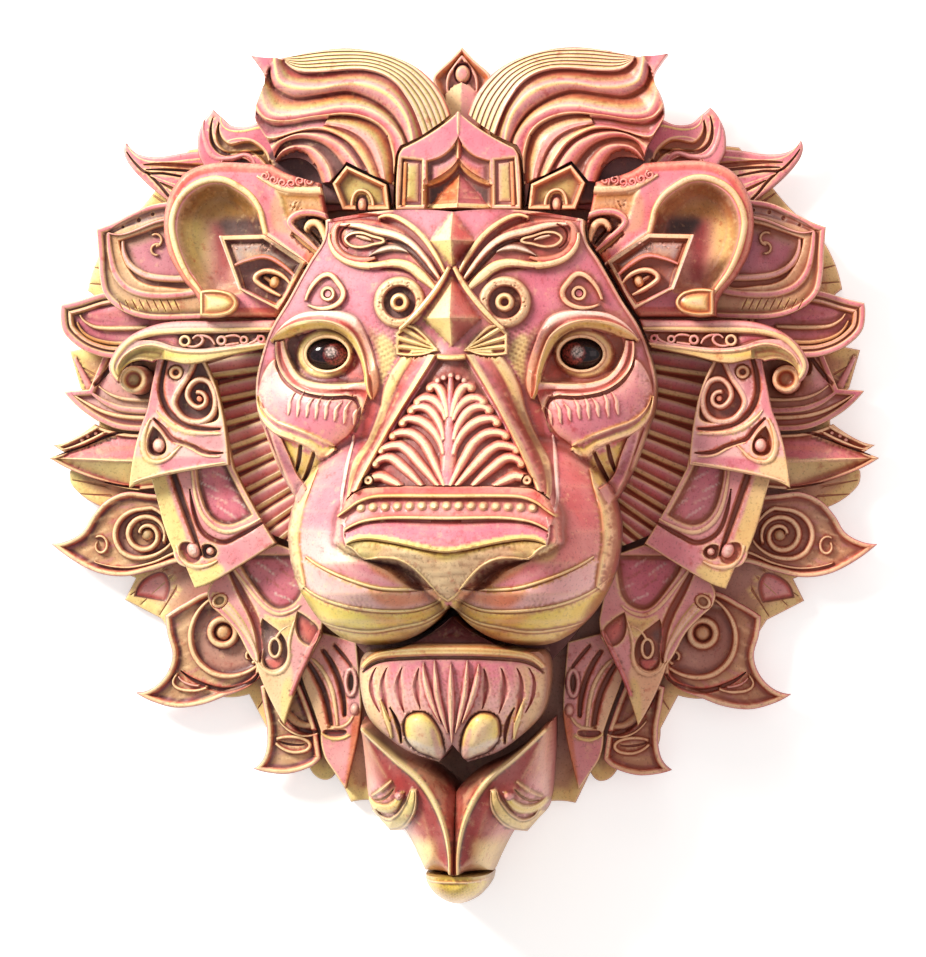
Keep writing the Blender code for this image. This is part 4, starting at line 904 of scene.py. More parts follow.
def crest_plume():
    outline = outline_of([
        (208, 413, CORNER), (194, 411), (174, 411), (145, 417), (108, 420), (70, 413), (40, 399),
        (20, 378), (9, 354, CORNER), (32, 336), (58, 323, CORNER), (63, 311), (66, 262, CORNER),
        (70, 285, CORNER), (112, 307, CORNER), (129, 287, CORNER), (138, 286, CORNER), (144, 301),
        (156, 310), (170, 311), (184, 307, CORNER), (186, 318), (194, 333), (203, 349),
        (203, 364), (196, 381, CORNER), (194, 392), (201, 404),
    ])
    top = BOARD + 8

    def guide(*drawn):
        return smooth_line(list(drawn))

    back_edge = guide((175, 411.5), (155, 416.5), (132, 420), (109, 420.5), (86, 418.5), (63, 412), (40, 400),
        (20, 379), (8, 353))
    comb = guide((173, 407), (164, 400), (153, 397.5), (132, 398), (109, 399.6), (92, 399), (75, 394),
        (61, 384), (52, 372), (44, 358), (35, 334))
    tip_1 = guide((183, 411), (181.5, 397), (178, 387.5), (170, 383), (155, 380.6), (138, 380.6),
        (121, 383.5), (103.5, 385), (86, 382), (69, 374), (57.5, 362), (50, 348), (46, 328))
    under_1 = guide((189, 400), (186, 384), (178, 377), (164, 371), (144, 373), (115, 377), (103, 375),
        (86, 368), (70, 357), (59, 343), (51, 325))
    tip_2 = guide((196, 380), (193, 363), (186, 355), (172, 353.5), (144, 357), (121, 361.5), (98, 361),
        (80.5, 354.5), (66, 343), (57.5, 331), (55, 320), (58.7, 300))
    lip_2 = guide((203, 362), (195, 351), (184, 347.5), (169, 347.5), (149, 351), (132, 353), (115, 354.4),
        (98, 352), (81, 344.5), (71, 334), (66.7, 321), (64.6, 308), (65.6, 284))
    inner_2 = guide((196, 350.5), (180, 347), (165, 347.5), (149, 347), (126, 344), (109, 340), (94, 332),
        (85, 321), (79, 307), (75, 290))
    tip_3 = guide((204, 351), (197, 338), (190.7, 331), (180.4, 332), (166.6, 336), (149, 340), (134.5, 340),
        (121, 334.7), (107, 325.5), (98, 314), (92, 304), (86, 293))
    back_4 = guide((187, 321), (172, 331), (157, 335), (138, 332.4), (121, 325.5), (109, 314), (100, 300))
    tip_4 = guide((185, 310), (183, 317), (178, 325), (169, 329.5), (155, 331), (141, 328), (130, 322),
        (121, 313), (112, 302))
    back_5 = guide((182, 310), (174, 319), (162, 322.5), (147, 320.5), (135, 310), (129, 299), (126.4, 284))
    tip_5 = guide((184, 306), (178, 313.5), (170, 318), (162, 319.4), (153, 316.4), (145, 308), (139, 298),
        (135, 284))
    wave = [(0, top - 7.2, "maroon"), (0.12, top - 6.8, "red"), (0.35, top - 5.2, "orange"),
        (0.62, top - 2.8, "moss"), (0.88, top - 1, "blush"), (1, top, "cream")]
    flank = [(0, top, "cream"), (0.22, top + 0.2, "blush"), (0.5, top - 0.3, "pink"),
        (0.8, top - 0.9, "coral"), (1, top - 1.6, "coral")]
    forms = [ground_of(top - 7, "maroon")]

    def terrace(a, b, section):
        forms.append(between(a, b, section, "put"))

    # Combed hair along the back edge
    count = 6
    rows = [resampled(back_edge, 150) * (1 - k / count) + resampled(comb, 150) * k / count
        for k in range(count + 1)]
    for k in range(count):
        rise = top - 3.6 + 0.5 * k
        terrace(rows[k], rows[k + 1], [
            (0, rise - 1.0, "olive"), (0.1, rise - 0.9, "olive"),
            (0.26, rise - 0.2, "moss" if k else "coral"), (0.6, rise + 0.2, "cream"),
            (0.85, rise + 0.4, "shell"), (1, rise, "sand"),
        ])
    terrace(comb, tip_1, [
        (0, top - 0.4, "cream"), (0.08, top - 0.6, "blush"), (0.12, top - 5.2, "maroon"),
        (0.22, top - 5, "coral"), (0.4, top - 4, "coral"), (0.6, top - 2.6, "moss"), (0.8, top - 1, "pink"),
        (0.92, top, "blush"), (1, top + 0.4, "cream"),
    ])
    blade = guide((209, 414), (202, 404), (195, 392), (196.5, 380))
    terrace(tip_1[:24], blade, [(0, top + 0.4, "cream"), (0.12, top - 0.2, "coral"), (0.3, top - 1.4, "pink"),
        (0.7, top - 0.6, "pink"), (0.9, top - 0.2, "blush"), (1, top - 1, "coral")])
    terrace(under_1, tip_2, wave)
    terrace(tip_1, under_1, [(0, top + 0.4, "cream"), (0.16, top + 0.3, "butter"), (0.32, top - 0.2, "blush"),
        (0.6, top - 1.2, "mauve"), (0.85, top - 2.6, "rose"), (1, top - 5, "maroon")])
    terrace(lip_2, inner_2, wave)
    terrace(inner_2, tip_3, [(0, top - 1.4, "blush"), (0.2, top - 1.2, "pink"), (0.35, top - 4.2, "red"),
        (0.6, top - 3.2, "orange"), (0.85, top - 1.4, "butter"), (1, top - 0.6, "cream")])
    terrace(tip_2, lip_2, flank[:-1] + [(0.94, top - 0.2, "cream"), (1, top - 0.6, "cream")])
    terrace(tip_3, back_4, [(0, top - 0.4, "cream"), (0.15, top - 0.8, "coral"), (0.3, top - 5.6, "maroon"),
        (0.6, top - 4.4, "mauve"), (0.85, top - 2, "blush"), (1, top - 0.6, "cream")])
    terrace(lip_2[:40], tip_3[:40], [(0, top - 1, "cream"), (0.15, top - 2.4, "rose"),
        (0.3, top - 5.8, "maroon"), (0.7, top - 4.4, "mauve"), (0.9, top - 1.6, "pink"),
        (1, top - 0.6, "cream")])
    terrace(back_4, tip_4, flank)
    terrace(tip_4, back_5, [(0, top - 1.6, "rose"), (0.15, top - 6, "deep"), (0.75, top - 5, "maroon"),
        (0.9, top - 2, "blush"), (1, top - 0.8, "cream")])
    terrace(back_5, tip_5, flank)
    build_pair("crest_plume", outline, forms, board_back(3), PAINTED, 2.4)


def crest_socket():
    outline = outline_of([
        (126, 285, CORNER), (112, 303, CORNER), (72, 284, CORNER), (69, 259, CORNER), (116, 259, CORNER),
    ])
    top = BOARD + 8
    forms = [
        rim(outline, [
            (0, top - 1.2, "ochre"), (0.7, top - 0.2, "cream"), (2.4, top, "cream"), (3.2, top - 1, "orange"),
            (5.4, top - 5.4, "ochre"), (6.6, top - 6, "olive"), (9, top - 6, "moss"), (16, top - 5.4, "moss"),
        ]),
        railed([(86, 259), (87, 270), (92, 277), (101, 278), (106, 271), (107, 259)], [2.2], top - 2.6,
            top - 6, "cream", "olive"),
        boss((97, 264), [(0, top - 2.6, "white"), (2.2, top - 3, "sand"), (3.6, top - 4.4, "mauve"),
            (4.8, top - 8, "deep"), (6, top - 8, "deep")], squash=1.7),
    ]
    build_pair("crest_socket", outline, forms, board_back(3), CREAM_PAINTED, 2.2)


def ridged(corners, level, left, right):
    """Two facets that meet on the middle line, each with its paint."""
    ring = resampled_ring(np.array(corners, float))
    middle = np.linspace((0, ring[:, 1].max()), (0, ring[:, 1].min()), 20)

    def carve(points, state):
        chosen = near(points, ring, 0.1)
        chosen = chosen[is_inside(points[chosen], ring) | (distance_to(points[chosen], ring) < MERGE)]
        x, v = points[chosen, 0], points[chosen, 1]
        state["depth"][chosen] = level(np.abs(x), v)
        state["paint"][chosen] = np.where((x < 0)[:, None], TINT[left], TINT[right])

    return Form(carve, [(ring, True), (middle, False)])


def crest_finial():
    outline = whole([
        (0, 424, CORNER), (12, 411), (27, 397), (29, 391), (24, 374), (28, 350), (30, 262, CORNER),
        (0, 262, CORNER),
    ])
    arch = [(7, 405), (13, 396), (15, 385), (13, 372)]
    arch = smooth_line([(-x, v) for x, v in reversed(arch)] + [(0, 414, CORNER)] + arch)
    forms = [
        rim(outline, [
            (0, TOP - 1.2, "ochre"), (0.8, TOP - 0.1, "cream"), (2.2, TOP, "blush"),
            (3.2, TOP - 1.2, "orange"), (6.5, LOW + 0.6, "orange"), (9, LOW, "taupe"),
        ]),
        stroke(arch, [1.4, 2.2, 2.6, 2.2, 1.4], rail(TOP - 0.8, LOW, "blush", "mauve")),
        boss((0.5, 397), [
            (0, TOP, "pink"), (4, TOP - 0.4, "pink"), (6, TOP - 1, "sand"), (7, TOP - 2.6, "mauve"),
            (7.8, LOW - 1.2, "deep"), (8.6, LOW - 1, "deep"), (9.6, LOW, "mauve"),
        ], squash=1.2),
        # Painted light and shade: the facet at -X is cream, the one at +X darker blush
        ridged([(0, 388), (8, 384), (16, 377), (16, 330), (-16, 330), (-16, 377), (-8, 384)],
            lambda x, v: TOP + 1.2 - 0.16 * x, "cream", "blush"),
    ]
    build_one("crest_finial", outline, forms, board_back(1), PAINTED, 2.4)


def crest_gable():
    outline = whole([
        (0, 356, CORNER), (24, 337), (55, 320, CORNER), (60, 310), (62, 259, CORNER), (0, 259, CORNER),
    ])
    top = 35.7
    forms = [
        rim(outline, [(0, top - 1.4, "gold"), (0.8, top - 0.2, "cream"), (2, top, "pink"),
            (30, top, "pink")]),
    ]

    def roof(curve, section):
        """The hollow below a roof line that sweeps up to a point on the middle line."""
        forms.append(panel(whole(curve + [(32.5, 260, CORNER), (0, 260, CORNER)]), section))

    roof([(0, 332, CORNER), (6, 322), (16, 313), (28, 308.5), (32.5, 308, CORNER)], [
        (0, top + 0.4, "cream"), (0.9, top - 0.8, "gold"), (2.2, top - 4.6, "maroon"),
        (5, top - 5.2, "maroon"), (9, top - 4, "mauve"), (16, top - 3, "orange")])
    roof([(0, 317, CORNER), (5, 306), (15, 297), (26, 291), (32.5, 289, CORNER)], [
        (0, top - 2.6, "cream"), (1.6, top - 3, "coral"), (2.4, top - 5.4, "ochre"), (6, top - 6.6, "gold"),
        (10, top - 8, "orange")])
    roof([(0, 306, CORNER), (6, 297), (16, 289), (26, 284.5), (32.5, 283, CORNER)], [
        (0, top - 6.4, "gold"), (1.6, top - 9.6, "maroon"), (4, top - 11, "deep"), (30, top - 11, "deep")])
    # Painted light and shade: the facet at -X is cream, the one at +X darker coral
    forms.append(ridged([(0, 331), (3.2, 324), (2.2, 310), (-2.2, 310), (-3.2, 324)],
        lambda x, v: top - 1.4 - 1.2 * x, "cream", "coral"))
    forms.append(trace([(0, 355), (0, 334)], [2.6, 1.4], [(0, top + 0.9, "cream"), (1, top, "pink")]))
    for side in (1, -1):
        post = resampled_ring(np.array([(35, 308.5), (57, 311), (60, 262), (35.5, 262)], float) * [side, 1])
        forms.append(panel(post, [
            (0, top - 0.2, "cream"), (0.9, top - 0.8, "sand"), (1.8, top - 3.6, "maroon"),
            (4, top - 3.8, "mauve"), (5.2, top - 2.8, "taupe"), (9, top - 2.2, "moss"),
        ]))
        forms.append(trace([(side * 53, 305), (side * 54.5, 263)], [2.2], [(0, top - 1.6, "gold"),
            (0.5, top - 1.8, "orange"), (1, top - 3.4, "ochre")], "put"))
    foot, peak, half = 260.0, 296.0, 32.0
    floor = top - 11
    forms.append(ridged([(0, peak), (half, foot), (-half, foot)],
        lambda x, v: floor + 21 * np.clip((peak - v) / (peak - foot) - x / half, 0, 1), "orange", "rose"))
    forms.append(trace([(0, peak - 3), (0, foot)], [0.4, 1.2], [(0, 0.8, "cream"), (1, 0, "butter")], "add"))
    forms.append(trace([(-29, 262), (0, 262), (29, 262)], [3], [(0, 1.8, "butter"), (0.6, 1.4, "cream"),
        (1, 0, "orange")], "add"))
    build_one("crest_gable", outline, forms, board_back(2), PAINTED, 2.2)


def mane_lock():
    outline = outline_of([
        (249, 361, CORNER), (240, 353), (230, 345), (214, 344), (198, 350), (150, 352), (64, 344, CORNER),
        (64, 264, CORNER), (200, 272), (240, 286), (262, 312), (264, 334), (258, 350),
    ])
    forms = [
        rim(outline, [(0, TOP - 1.6, "coral"), (1, TOP - 0.4, "blush"), (2.4, TOP, "pink"),
            (9, TOP, "pink")]),
        # Painted shadow: a deep wash over the dark hollow below the plume
        patch([(198, 300), (190, 322), (130, 334), (70, 330), (66, 266), (200, 273)], "deep", 0.9, 4),
        railed([(241, 352), (236, 342), (222, 339), (200, 343), (160, 344)], [1, 2.6, 3, 3.4], TOP + 0.3,
            LOW + 2, "butter", "gold"),
        groove([(249, 352), (250, 330), (240, 318), (222, 317), (200, 318)], [0.8, 2.4, 3, 3, 3], 4.6,
            "deep"),
        trace([(243, 346), (242, 331), (232, 322), (212, 324), (196, 312), (190, 300)],
            [1, 4, 5.5, 5.5, 4, 3], [(0, -4.6, "ochre"), (0.5, -4.2, "olive"), (0.8, -1.2, "gold"),
            (1, 0, "cream")], "cut"),
        railed([(232, 330), (212, 331), (198, 322), (192, 310)], [1.5, 2.4, 2.6, 2], TOP + 0.2, LOW, "cream",
            "ochre"),
        inlay([(240, 311), (224, 314), (212, 312), (207, 304), (225, 300), (242, 303)], pit(0, "deep"),
            "cut"),
        groove([(236, 307), (222, 310), (212, 306)], [3.5, 4.5, 2.5], 4, "deep"),
        trace([(258, 350), (257, 330), (248, 314), (232, 312), (214, 315), (206, 305)],
            [1, 4, 5, 3.4, 3, 2.4], round_ridge(TOP + 0.8, LOW + 1, "blush", "rose")),
    ]
    build_pair("mane_lock", outline, forms, board_back(2), PAINTED)


def horn_leaf():
    outline = outline_of([
        (339, 329, CORNER), (327, 318), (306, 315), (278, 319), (240, 322), (170, 330), (110, 306, CORNER),
        (110, 262, CORNER), (200, 255), (270, 258), (289, 266), (306, 278), (322, 292), (336, 308),
        (341, 320),
    ])
    forms = [
        rim(outline, [(0, TOP - 1.6, "coral"), (1, TOP - 0.4, "blush"), (2.4, TOP, "pink"),
            (8, TOP, "pink")]),
        railed([(336, 324), (322, 312), (300, 309), (278, 311), (250, 314)], [1, 2.2, 2.4, 2.4, 2.4],
            TOP + 0.2, LOW + 2, "cream", "gold"),
        groove([(320, 307), (298, 307), (275, 305), (250, 303)], [1, 2.6, 3.4, 3], 3.2, "orange", "gold"),
        groove([(318, 302), (300, 302), (280, 301), (262, 299)], [0.8, 1.8, 2, 2], 3.8, "deep"),
        groove([(338, 320), (328, 307), (318, 299), (300, 298), (270, 292)], [0.8, 1.7, 1.7, 1.6, 1.4], 3.8,
            "deep"),
        groove([(318, 299), (306, 288), (296, 276), (286, 266)], [1.2, 2, 1.9, 1.9], 4.2, "deep"),
        railed([(314, 296), (298, 290), (284, 285)], [1, 2, 2.4], TOP + 0.1, LOW, "cream", "maroon"),
        groove([(304, 289), (292, 283), (284, 279)], [0.8, 2, 2.2], 3, "gold", "butter"),
    ]
    build_pair("horn_leaf", outline, forms, board_back(1), PAINTED)


# Leaves at the side

def shell_leaf():
    outline = outline_of([
        (364, 241, CORNER), (350, 246), (330, 256), (305, 266), (270, 268), (214, 262, CORNER),
        (214, 154, CORNER), (280, 150), (315, 151), (340, 160), (356, 175), (361, 195), (362, 215),
    ])
    forms = [
        rim(outline, [
            (0, TOP - 1.4, "gold"), (0.6, TOP - 0.3, "cream"), (1.4, TOP, "pink"), (4, TOP, "pink"),
            (4.6, TOP - 0.3, "cream"), (6.4, TOP - 2.6, "maroon"), (8.2, TOP - 2.8, "olive"),
            (12, TOP - 2.4, "sand"), (60, TOP - 2.4, "sand"),
        ]),
        trace([(349, 239), (330, 248), (300, 257), (260, 260)], [2.5, 5, 5.5, 5], [
            (0, -1.2, "taupe"), (0.6, -1.4, "grey"), (1, 0, "taupe")], "cut"),
    ]
    band = smooth_line([(352, 236, CORNER), (350, 214), (344, 194), (330, 180), (304, 174), (262, 178)])
    forms.append(stroke(band, [2.2, 4, 4, 4], [
        (0, TOP, "pink"), (0.45, TOP - 0.1, "blush"), (0.6, TOP - 0.5, "cream"), (1, TOP - 3.4, "maroon")]))
    top_band = smooth_line([(352, 237), (336, 236), (300, 249), (262, 253)])
    forms.append(stroke(top_band, [1.2, 2, 2.6, 2.6], rail(TOP, TOP - 3, "blush", "maroon")))
    well = outline_of([(343, 230, CORNER), (320, 238), (298, 245), (262, 247), (262, 186), (300, 182),
        (322, 188), (334, 202), (340, 216)])
    forms.append(panel(well, [
        (0, TOP - 2.4, "cream"), (0.8, TOP - 3, "orange"), (2.4, TOP - 6.4, "maroon"),
        (4.4, TOP - 6.8, "ochre"), (8, TOP - 6.4, "taupe"), (14, TOP - 6.2, "mauve"),
    ]))
    inner = smooth_line([(338, 228), (334, 210), (322, 198), (302, 192), (262, 192)])
    forms.append(stroke(inner, [1.6, 3.6, 4, 4, 4], [
        (0, TOP - 1.6, "shell"), (0.4, TOP - 1.7, "blush"), (0.62, TOP - 2.4, "cream"),
        (1, TOP - 6.4, "maroon")]))
    forms.append(stroke(join(spiral((305, 230), 6, 6, 60, 0.55), spiral((304, 220), 6, 5, 120, -0.6)),
        [1.6, 2.2, 1.6], rail(TOP - 3.4, TOP - 6.4, "sand", "maroon")))
    for k in range(9):
        x = 286 + 7 * k
        forms.append(groove([(x, 170 - 0.02 * (x - 300)), (x - 5, 160)], [0.5, 1.1, 0.5], 0.8, "ochre",
            "butter"))
    for centre, radius in (((322, 250), 2.6), ((338, 243), 2), ((308, 256), 2.2), ((292, 258), 2)):
        forms.append(boss(centre, [(0, -1.6, "maroon"), (0.6 * radius, -1.2, "maroon"), (radius, 0, "sand")],
            "cut"))
    build_pair("shell_leaf", outline, forms, board_back(3), PAINTED)


def cheek_leaf():
    outline = outline_of([
        (402, 166, CORNER), (385, 170), (358, 178), (300, 185, CORNER), (280, 150), (300, 114, CORNER),
        (350, 112), (372, 117), (388, 126), (400, 139), (403, 154),
    ])
    forms = [
        rim(outline, [
            (0, TOP - 1.3, "gold"), (0.6, TOP - 0.3, "cream"), (1.3, TOP, "pink"), (4.4, TOP, "pink"),
            (5, TOP - 0.4, "cream"), (6.6, TOP - 3, "maroon"), (7.6, TOP - 3, "maroon"),
            (8.6, TOP - 1.2, "cream"), (10.6, TOP - 1.0, "blush"), (11.4, TOP - 1.6, "gold"),
            (13.2, LOW, "maroon"), (15.4, LOW, "pink"), (30, LOW + 0.6, "pink"),
        ]),
        railed([(383, 155), (377, 148), (366, 143), (340, 142), (316, 143)], [1, 2.4, 3.2, 3.2, 2.6],
            TOP - 0.6, LOW, "cream", "gold"),
        inlay([(378, 157), (356, 165), (330, 168), (330, 150), (360, 149)], [(0, LOW + 0.2, "mauve"),
            (3, LOW + 1.4, "pink"), (8, LOW + 2, "rose")], "raise"),
        railed([(386, 148), (376, 135), (356, 128), (330, 128)], [1.2, 2.4, 2.8, 2.8], TOP - 1.2, LOW, "gold",
            "maroon"),
    ]
    build_pair("cheek_leaf", outline, forms, board_back(2), PAINTED)


def cup_leaf():
    outline = outline_of([
        (402, 79, CORNER), (376, 81, CORNER), (363, 112, CORNER), (352, 146, CORNER), (292, 146, CORNER),
        (272, 76), (290, 40, CORNER), (330, 39), (350, 42), (368, 50), (387, 63),
    ])
    lip = 48.0
    floor = LOW + 1.4
    forms = [
        rim(outline, [
            (0, TOP - 1.3, "gold"), (0.6, TOP - 0.3, "cream"), (1.4, TOP, "pink"), (4.2, TOP, "pink"),
            (4.9, TOP - 0.5, "cream"), (6.6, floor - 0.4, "coral"), (8.6, floor - 0.4, "mauve"),
            (14, floor, "shell"), (40, floor, "sand"),
        ]),
        railed([(395, 78), (380, 68), (360, 58), (336, 53), (300, 53)], [0.8, 2.4, 3, 3.2, 3.2], TOP - 0.6,
            LOW + 1, "cream", "coral"),
        trace([(376, 80), (360, 68), (340, 61), (300, 60)], [1.4, 3.4, 3.6, 3.6], [
            (0, TOP - 0.2, "pink"), (0.5, TOP - 0.4, "blush"), (0.7, TOP - 1, "cream"), (1, LOW, "red")]),
        railed([(366, 84), (352, 75), (336, 71), (300, 71)], [1.2, 2.6, 3, 3], TOP - 0.4, LOW, "cream",
            "coral"),
        railed([(380, 95), (367, 110)], [2.2, 2.4], TOP + 0.4, LOW, "cream", "maroon"),
        groove([(370, 86), (355, 104), (346, 118)], [2.6, 3, 2.6], 4.4, "maroon", "cream"),
        # Painted shadow: a sunk patch painted deep under the roll of the temple band, above the ring
        inlay([
            (296, 112), (318, 110), (334, 106), (343, 94), (350, 98), (348, 114), (334, 126), (296, 130),
        ], [(0, floor, "maroon"), (3, LOW - 2, "deep"), (9, LOW - 3, "deep")]),
        patch([(360, 78), (340, 70), (322, 72), (340, 84), (356, 96), (372, 92)], "blush", 0.7, 5),
        boss((325, 90), [
            (0, lip - 6.6, "cream"), (3.4, lip - 6.8, "butter"), (6, lip - 6.4, "orange"),
            (7.2, lip - 5, "coral"), (8.6, lip - 1.2, "gold"), (9.8, lip - 0.1, "cream"),
            (11.8, lip, "cream"), (13, lip - 0.8, "sand"), (13.8, lip - 3, "coral"), (14.6, LOW, "maroon"),
        ]),
    ]
    build_pair("cup_leaf", outline, forms, board_back(1), PAINTED)


def arrow_leaf():
    outline = outline_of([
        (417, 12, CORNER), (402, 18, CORNER), (413, 25, CORNER), (396, 30), (371, 46, CORNER), (352, 39),
        (330, 36), (262, 35, CORNER), (262, -14, CORNER), (326, -20, CORNER), (350, -16), (376, -8), (400, 2),
    ])
    edge = [
        (0, LOW + 2.8, "orange"), (0.9, LOW + 4, "cream"), (2.6, LOW + 4, "cream"), (4, LOW + 0.8, "coral"),
        (7, LOW, "maroon"), (30, LOW, "taupe"),
    ]
    upper_face = TINT["coral"] * 0.5 + TINT["pink"] * 0.5
    lower_face = TINT["moss"] * 0.35 + TINT["butter"] * 0.4 + TINT["cream"] * 0.25

    def crest(points, state):
        x, v = points[:, 0], points[:, 1]
        reach = np.clip((414 - x) / 80, 0, 1)
        middle = 9 + 3 * np.clip((x - 340) / 75, 0, 1)
        rise = v - middle
        half = np.where(rise > 0, np.maximum(27 * reach, 0.5), np.minimum(-24 * reach, -0.5))
        share = 1 - rise / half
        height = LOW + 0.5 + 7.2 * np.clip(share, 0, 1) * np.clip(reach * 2.4, 0.2, 1)
        wins = (share > 0) & (height > state["depth"]) & (x < 412)
        state["depth"][wins] = height[wins]
        state["paint"][wins] = np.where((rise > 0)[:, None], upper_face, lower_face)[wins]

    middle = smooth_line([(414, 12), (380, 10.8), (340, 9), (262, 9)])
    forms = [
        rim(outline, edge),
        Form(crest, [(middle, False)]),
        patch([(372, 20), (340, 26), (316, 26), (316, 20), (340, 18)], "orange", 0.45, 4),
        stroke(middle, [0.8, 1.6, 2, 2], [(0, 0.8, "cream"), (0.6, 0.5, "cream"), (1, 0, "sand")], "add"),
        groove([(408, 15), (384, 24), (356, 35), (336, 39)], [1, 2, 2.2, 2], 4.4, "maroon"),
        railed([(405, 24), (384, 34), (368, 43)], [1, 2.2, 2.2], TOP, LOW, "cream", "coral"),
        railed([(406, 20), (388, 25), (362, 37)], [0.8, 2, 2], TOP - 0.4, LOW, "cream", "coral"),
        groove([(414, 10), (388, -4), (356, -14), (326, -18)], [0.8, 1.9, 2.2, 2.2], 4.6, "maroon", "coral"),
        railed([(415, 10), (390, -6), (352, -16.4), (326, -20)], [0.6, 1.3, 1.5, 1.5], TOP - 0.2, LOW,
            "butter", "maroon"),
    ]
    for x, v in ((378, 34), (370, 37), (384, 30)):
        forms.append(boss((x, v), [(0, LOW + 3.4, "coral"), (1.4, LOW + 3, "blush"), (2.6, LOW, "maroon")],
            "raise"))
    build_pair("arrow_leaf", outline, forms, board_back(1), PAINTED)


LEAF_RIM = [
    (0, TOP - 1.3, "coral"), (0.7, TOP - 0.4, "blush"), (1.6, TOP, "cream"), (3.4, TOP, "cream"),
    (4.2, TOP - 0.5, "sand"), (5, TOP - 2.2, "coral"), (6.4, LOW + 0.3, "red"), (8, LOW, "maroon"),
    (10.5, LOW, "sand"), (40, LOW, "sand"),
]


def coil_section(top):
    return [
        (0, top, "cream"), (0.3, top - 0.1, "cream"), (0.48, top - 0.6, "sand"), (0.64, top - 2.2, "coral"),
        (0.85, SPIRAL_FLOOR + 0.4, "red"), (1, SPIRAL_FLOOR, "maroon"),
    ]


def streaks(outline, way, pitch, paints, amount, share=0.35):
    """Thin, short brush streaks inside an outline, in two paints in turn, across the given direction."""
    way = np.array(way) / np.hypot(*way)
    along = np.array([-way[1], way[0]])

    def carve(points, state):
        chosen = near(points, outline, 0.1)
        chosen = chosen[is_inside(points[chosen], outline)]
        at = points[chosen]
        run = at @ along
        phase = at @ way / pitch + 0.16 * np.sin(run * 0.11) + 0.05 * np.sin(run * 0.37)
        row = np.floor(phase)
        line = 1 - np.abs((phase % 1) - 0.5) * 2
        dash = np.sin(run * 0.16 + 2.4 * row) * 0.5 + 0.5
        mark = soft_step((line - 1 + share) / share) * soft_step(dash * 2.4 - 0.5)
        mark = amount * (mark * soft_step(distance_to(at, outline) / 4))[:, None]
        tint = np.where((row % 2 == 0)[:, None], TINT[paints[0]], TINT[paints[1]])
        state["paint"][chosen] = state["paint"][chosen] * (1 - mark) + tint * mark
        state["depth"][chosen] += 0.3 * mark[:, 0]

    return Form(carve)


def spiral_leaf_upper():
    outline = outline_of([
        (415, -74, CORNER), (398, -71), (383, -62), (373, -46), (358, -30), (338, -22), (315, -24),
        (244, -30, CORNER), (232, -90, CORNER), (285, -93), (312, -101), (340, -107), (366, -104), (391, -92),
    ])
    ring = join(smooth_line([(291, -70), (300, -80), (314, -87), (332, -88), (346, -80)])[:-1],
        spiral((320, -64), 31, 29, 330, 0.30, 0.86)[:-1], smooth_line([(313, -38), (303, -44), (292, -58)]))
    coil = join(spiral((319, -65), 19.5, 18, 200, -0.55, 0.96)[:-1], spiral((319, -65), 18, 6.5, 2, -0.95))
    forms = [
        rim(outline, LEAF_RIM),
        streaks(outline, (0.3, 1), 6.0, ("mauve", "cream"), 0.8, 0.8),
        inlay([
            (289, -66), (300, -80), (318, -88), (336, -86), (349, -74), (350, -58), (340, -44), (322, -37),
            (304, -42), (290, -54),
        ], [(0, LOW, "maroon"), (3, SPIRAL_FLOOR, "maroon"), (7, SPIRAL_FLOOR, "taupe"),
        (14, SPIRAL_FLOOR, "sand")]),
        stroke(ring, [1.6, 2.8, 3.6, 3.8, 3.6, 3, 1.6], coil_section(TOP)),
        stroke(coil, [2.4, 3.2, 3.8, 3.8, 3.2, 2.4], coil_section(TOP)),
        boss((318, -65), [(0, TOP - 1.6, "sand"), (3, TOP - 1.8, "olive"), (5, TOP - 3, "ochre"),
            (6.4, SPIRAL_FLOOR, "maroon")], "raise"),
        railed([(240, -78), (285, -82), (312, -93), (340, -98), (370, -93)], [2.4, 2.2, 2, 1.4, 0.8],
            TOP - 1.6, LOW, "cream", "coral"),
        stroke(spiral((365, -76), 8, 4.5, 60, 0.9, 1.25), [1.5, 2.1, 1.4],
            rail(TOP - 1.4, LOW, "cream", "coral")),
    ]
    build_pair("spiral_leaf_upper", outline, forms, board_back(1), PAINTED)


def spiral_leaf_lower():
    outline = outline_of([
        (329, -224, CORNER), (312, -219), (298, -205), (292, -186), (297, -165), (299, -146, CORNER),
        (280, -134), (252, -121), (200, -126, CORNER), (203, -207, CORNER), (218, -219), (240, -228),
        (262, -236), (288, -239), (312, -233),
    ])
    forms = [
        rim(outline, LEAF_RIM),
        streaks(outline, (0.6, 1), 6.0, ("mauve", "cream"), 0.7, 0.8),
        inlay([(258, -138), (270, -152), (274, -172), (266, -194), (244, -206), (222, -203), (208, -194),
            (206, -140)], [(0, LOW, "maroon"), (3, SPIRAL_FLOOR, "maroon"), (9, SPIRAL_FLOOR, "taupe")]),
        trace([(252, -129), (267, -144), (274, -165), (269, -188), (252, -204), (230, -207), (208, -198)],
            [1.8, 3, 4, 4.2, 4, 3.4, 2.2], coil_section(TOP)),
        loop_of(circle((241, -163), 13), 4.6, coil_section(TOP)),
        boss((241, -163), [(0, TOP - 1.6, "gold"), (4, TOP - 2, "sand"), (6.4, TOP - 3.4, "ochre"),
            (8.2, SPIRAL_FLOOR, "maroon")], "raise"),
        stroke(spiral((213, -187), 7, 4, 250, -0.8), [2.6, 2.0], coil_section(TOP - 0.6)),
        groove([(284, -202), (264, -215), (239, -221), (214, -214), (205, -205)], [0.8, 3, 3.4, 3, 2], 4,
            "maroon", "coral"),
        railed([(288, -206), (290, -217), (274, -222), (258, -219)], [1.4, 2.2, 2.2, 1.4], TOP - 1.6, LOW,
            "cream", "coral"),
        railed([(286, -208), (279, -214), (266, -217)], [1.2, 1.9, 1.2], TOP - 2, LOW, "blush", "coral"),
    ]
    build_pair("spiral_leaf_lower", outline, forms, board_back(1), PAINTED)


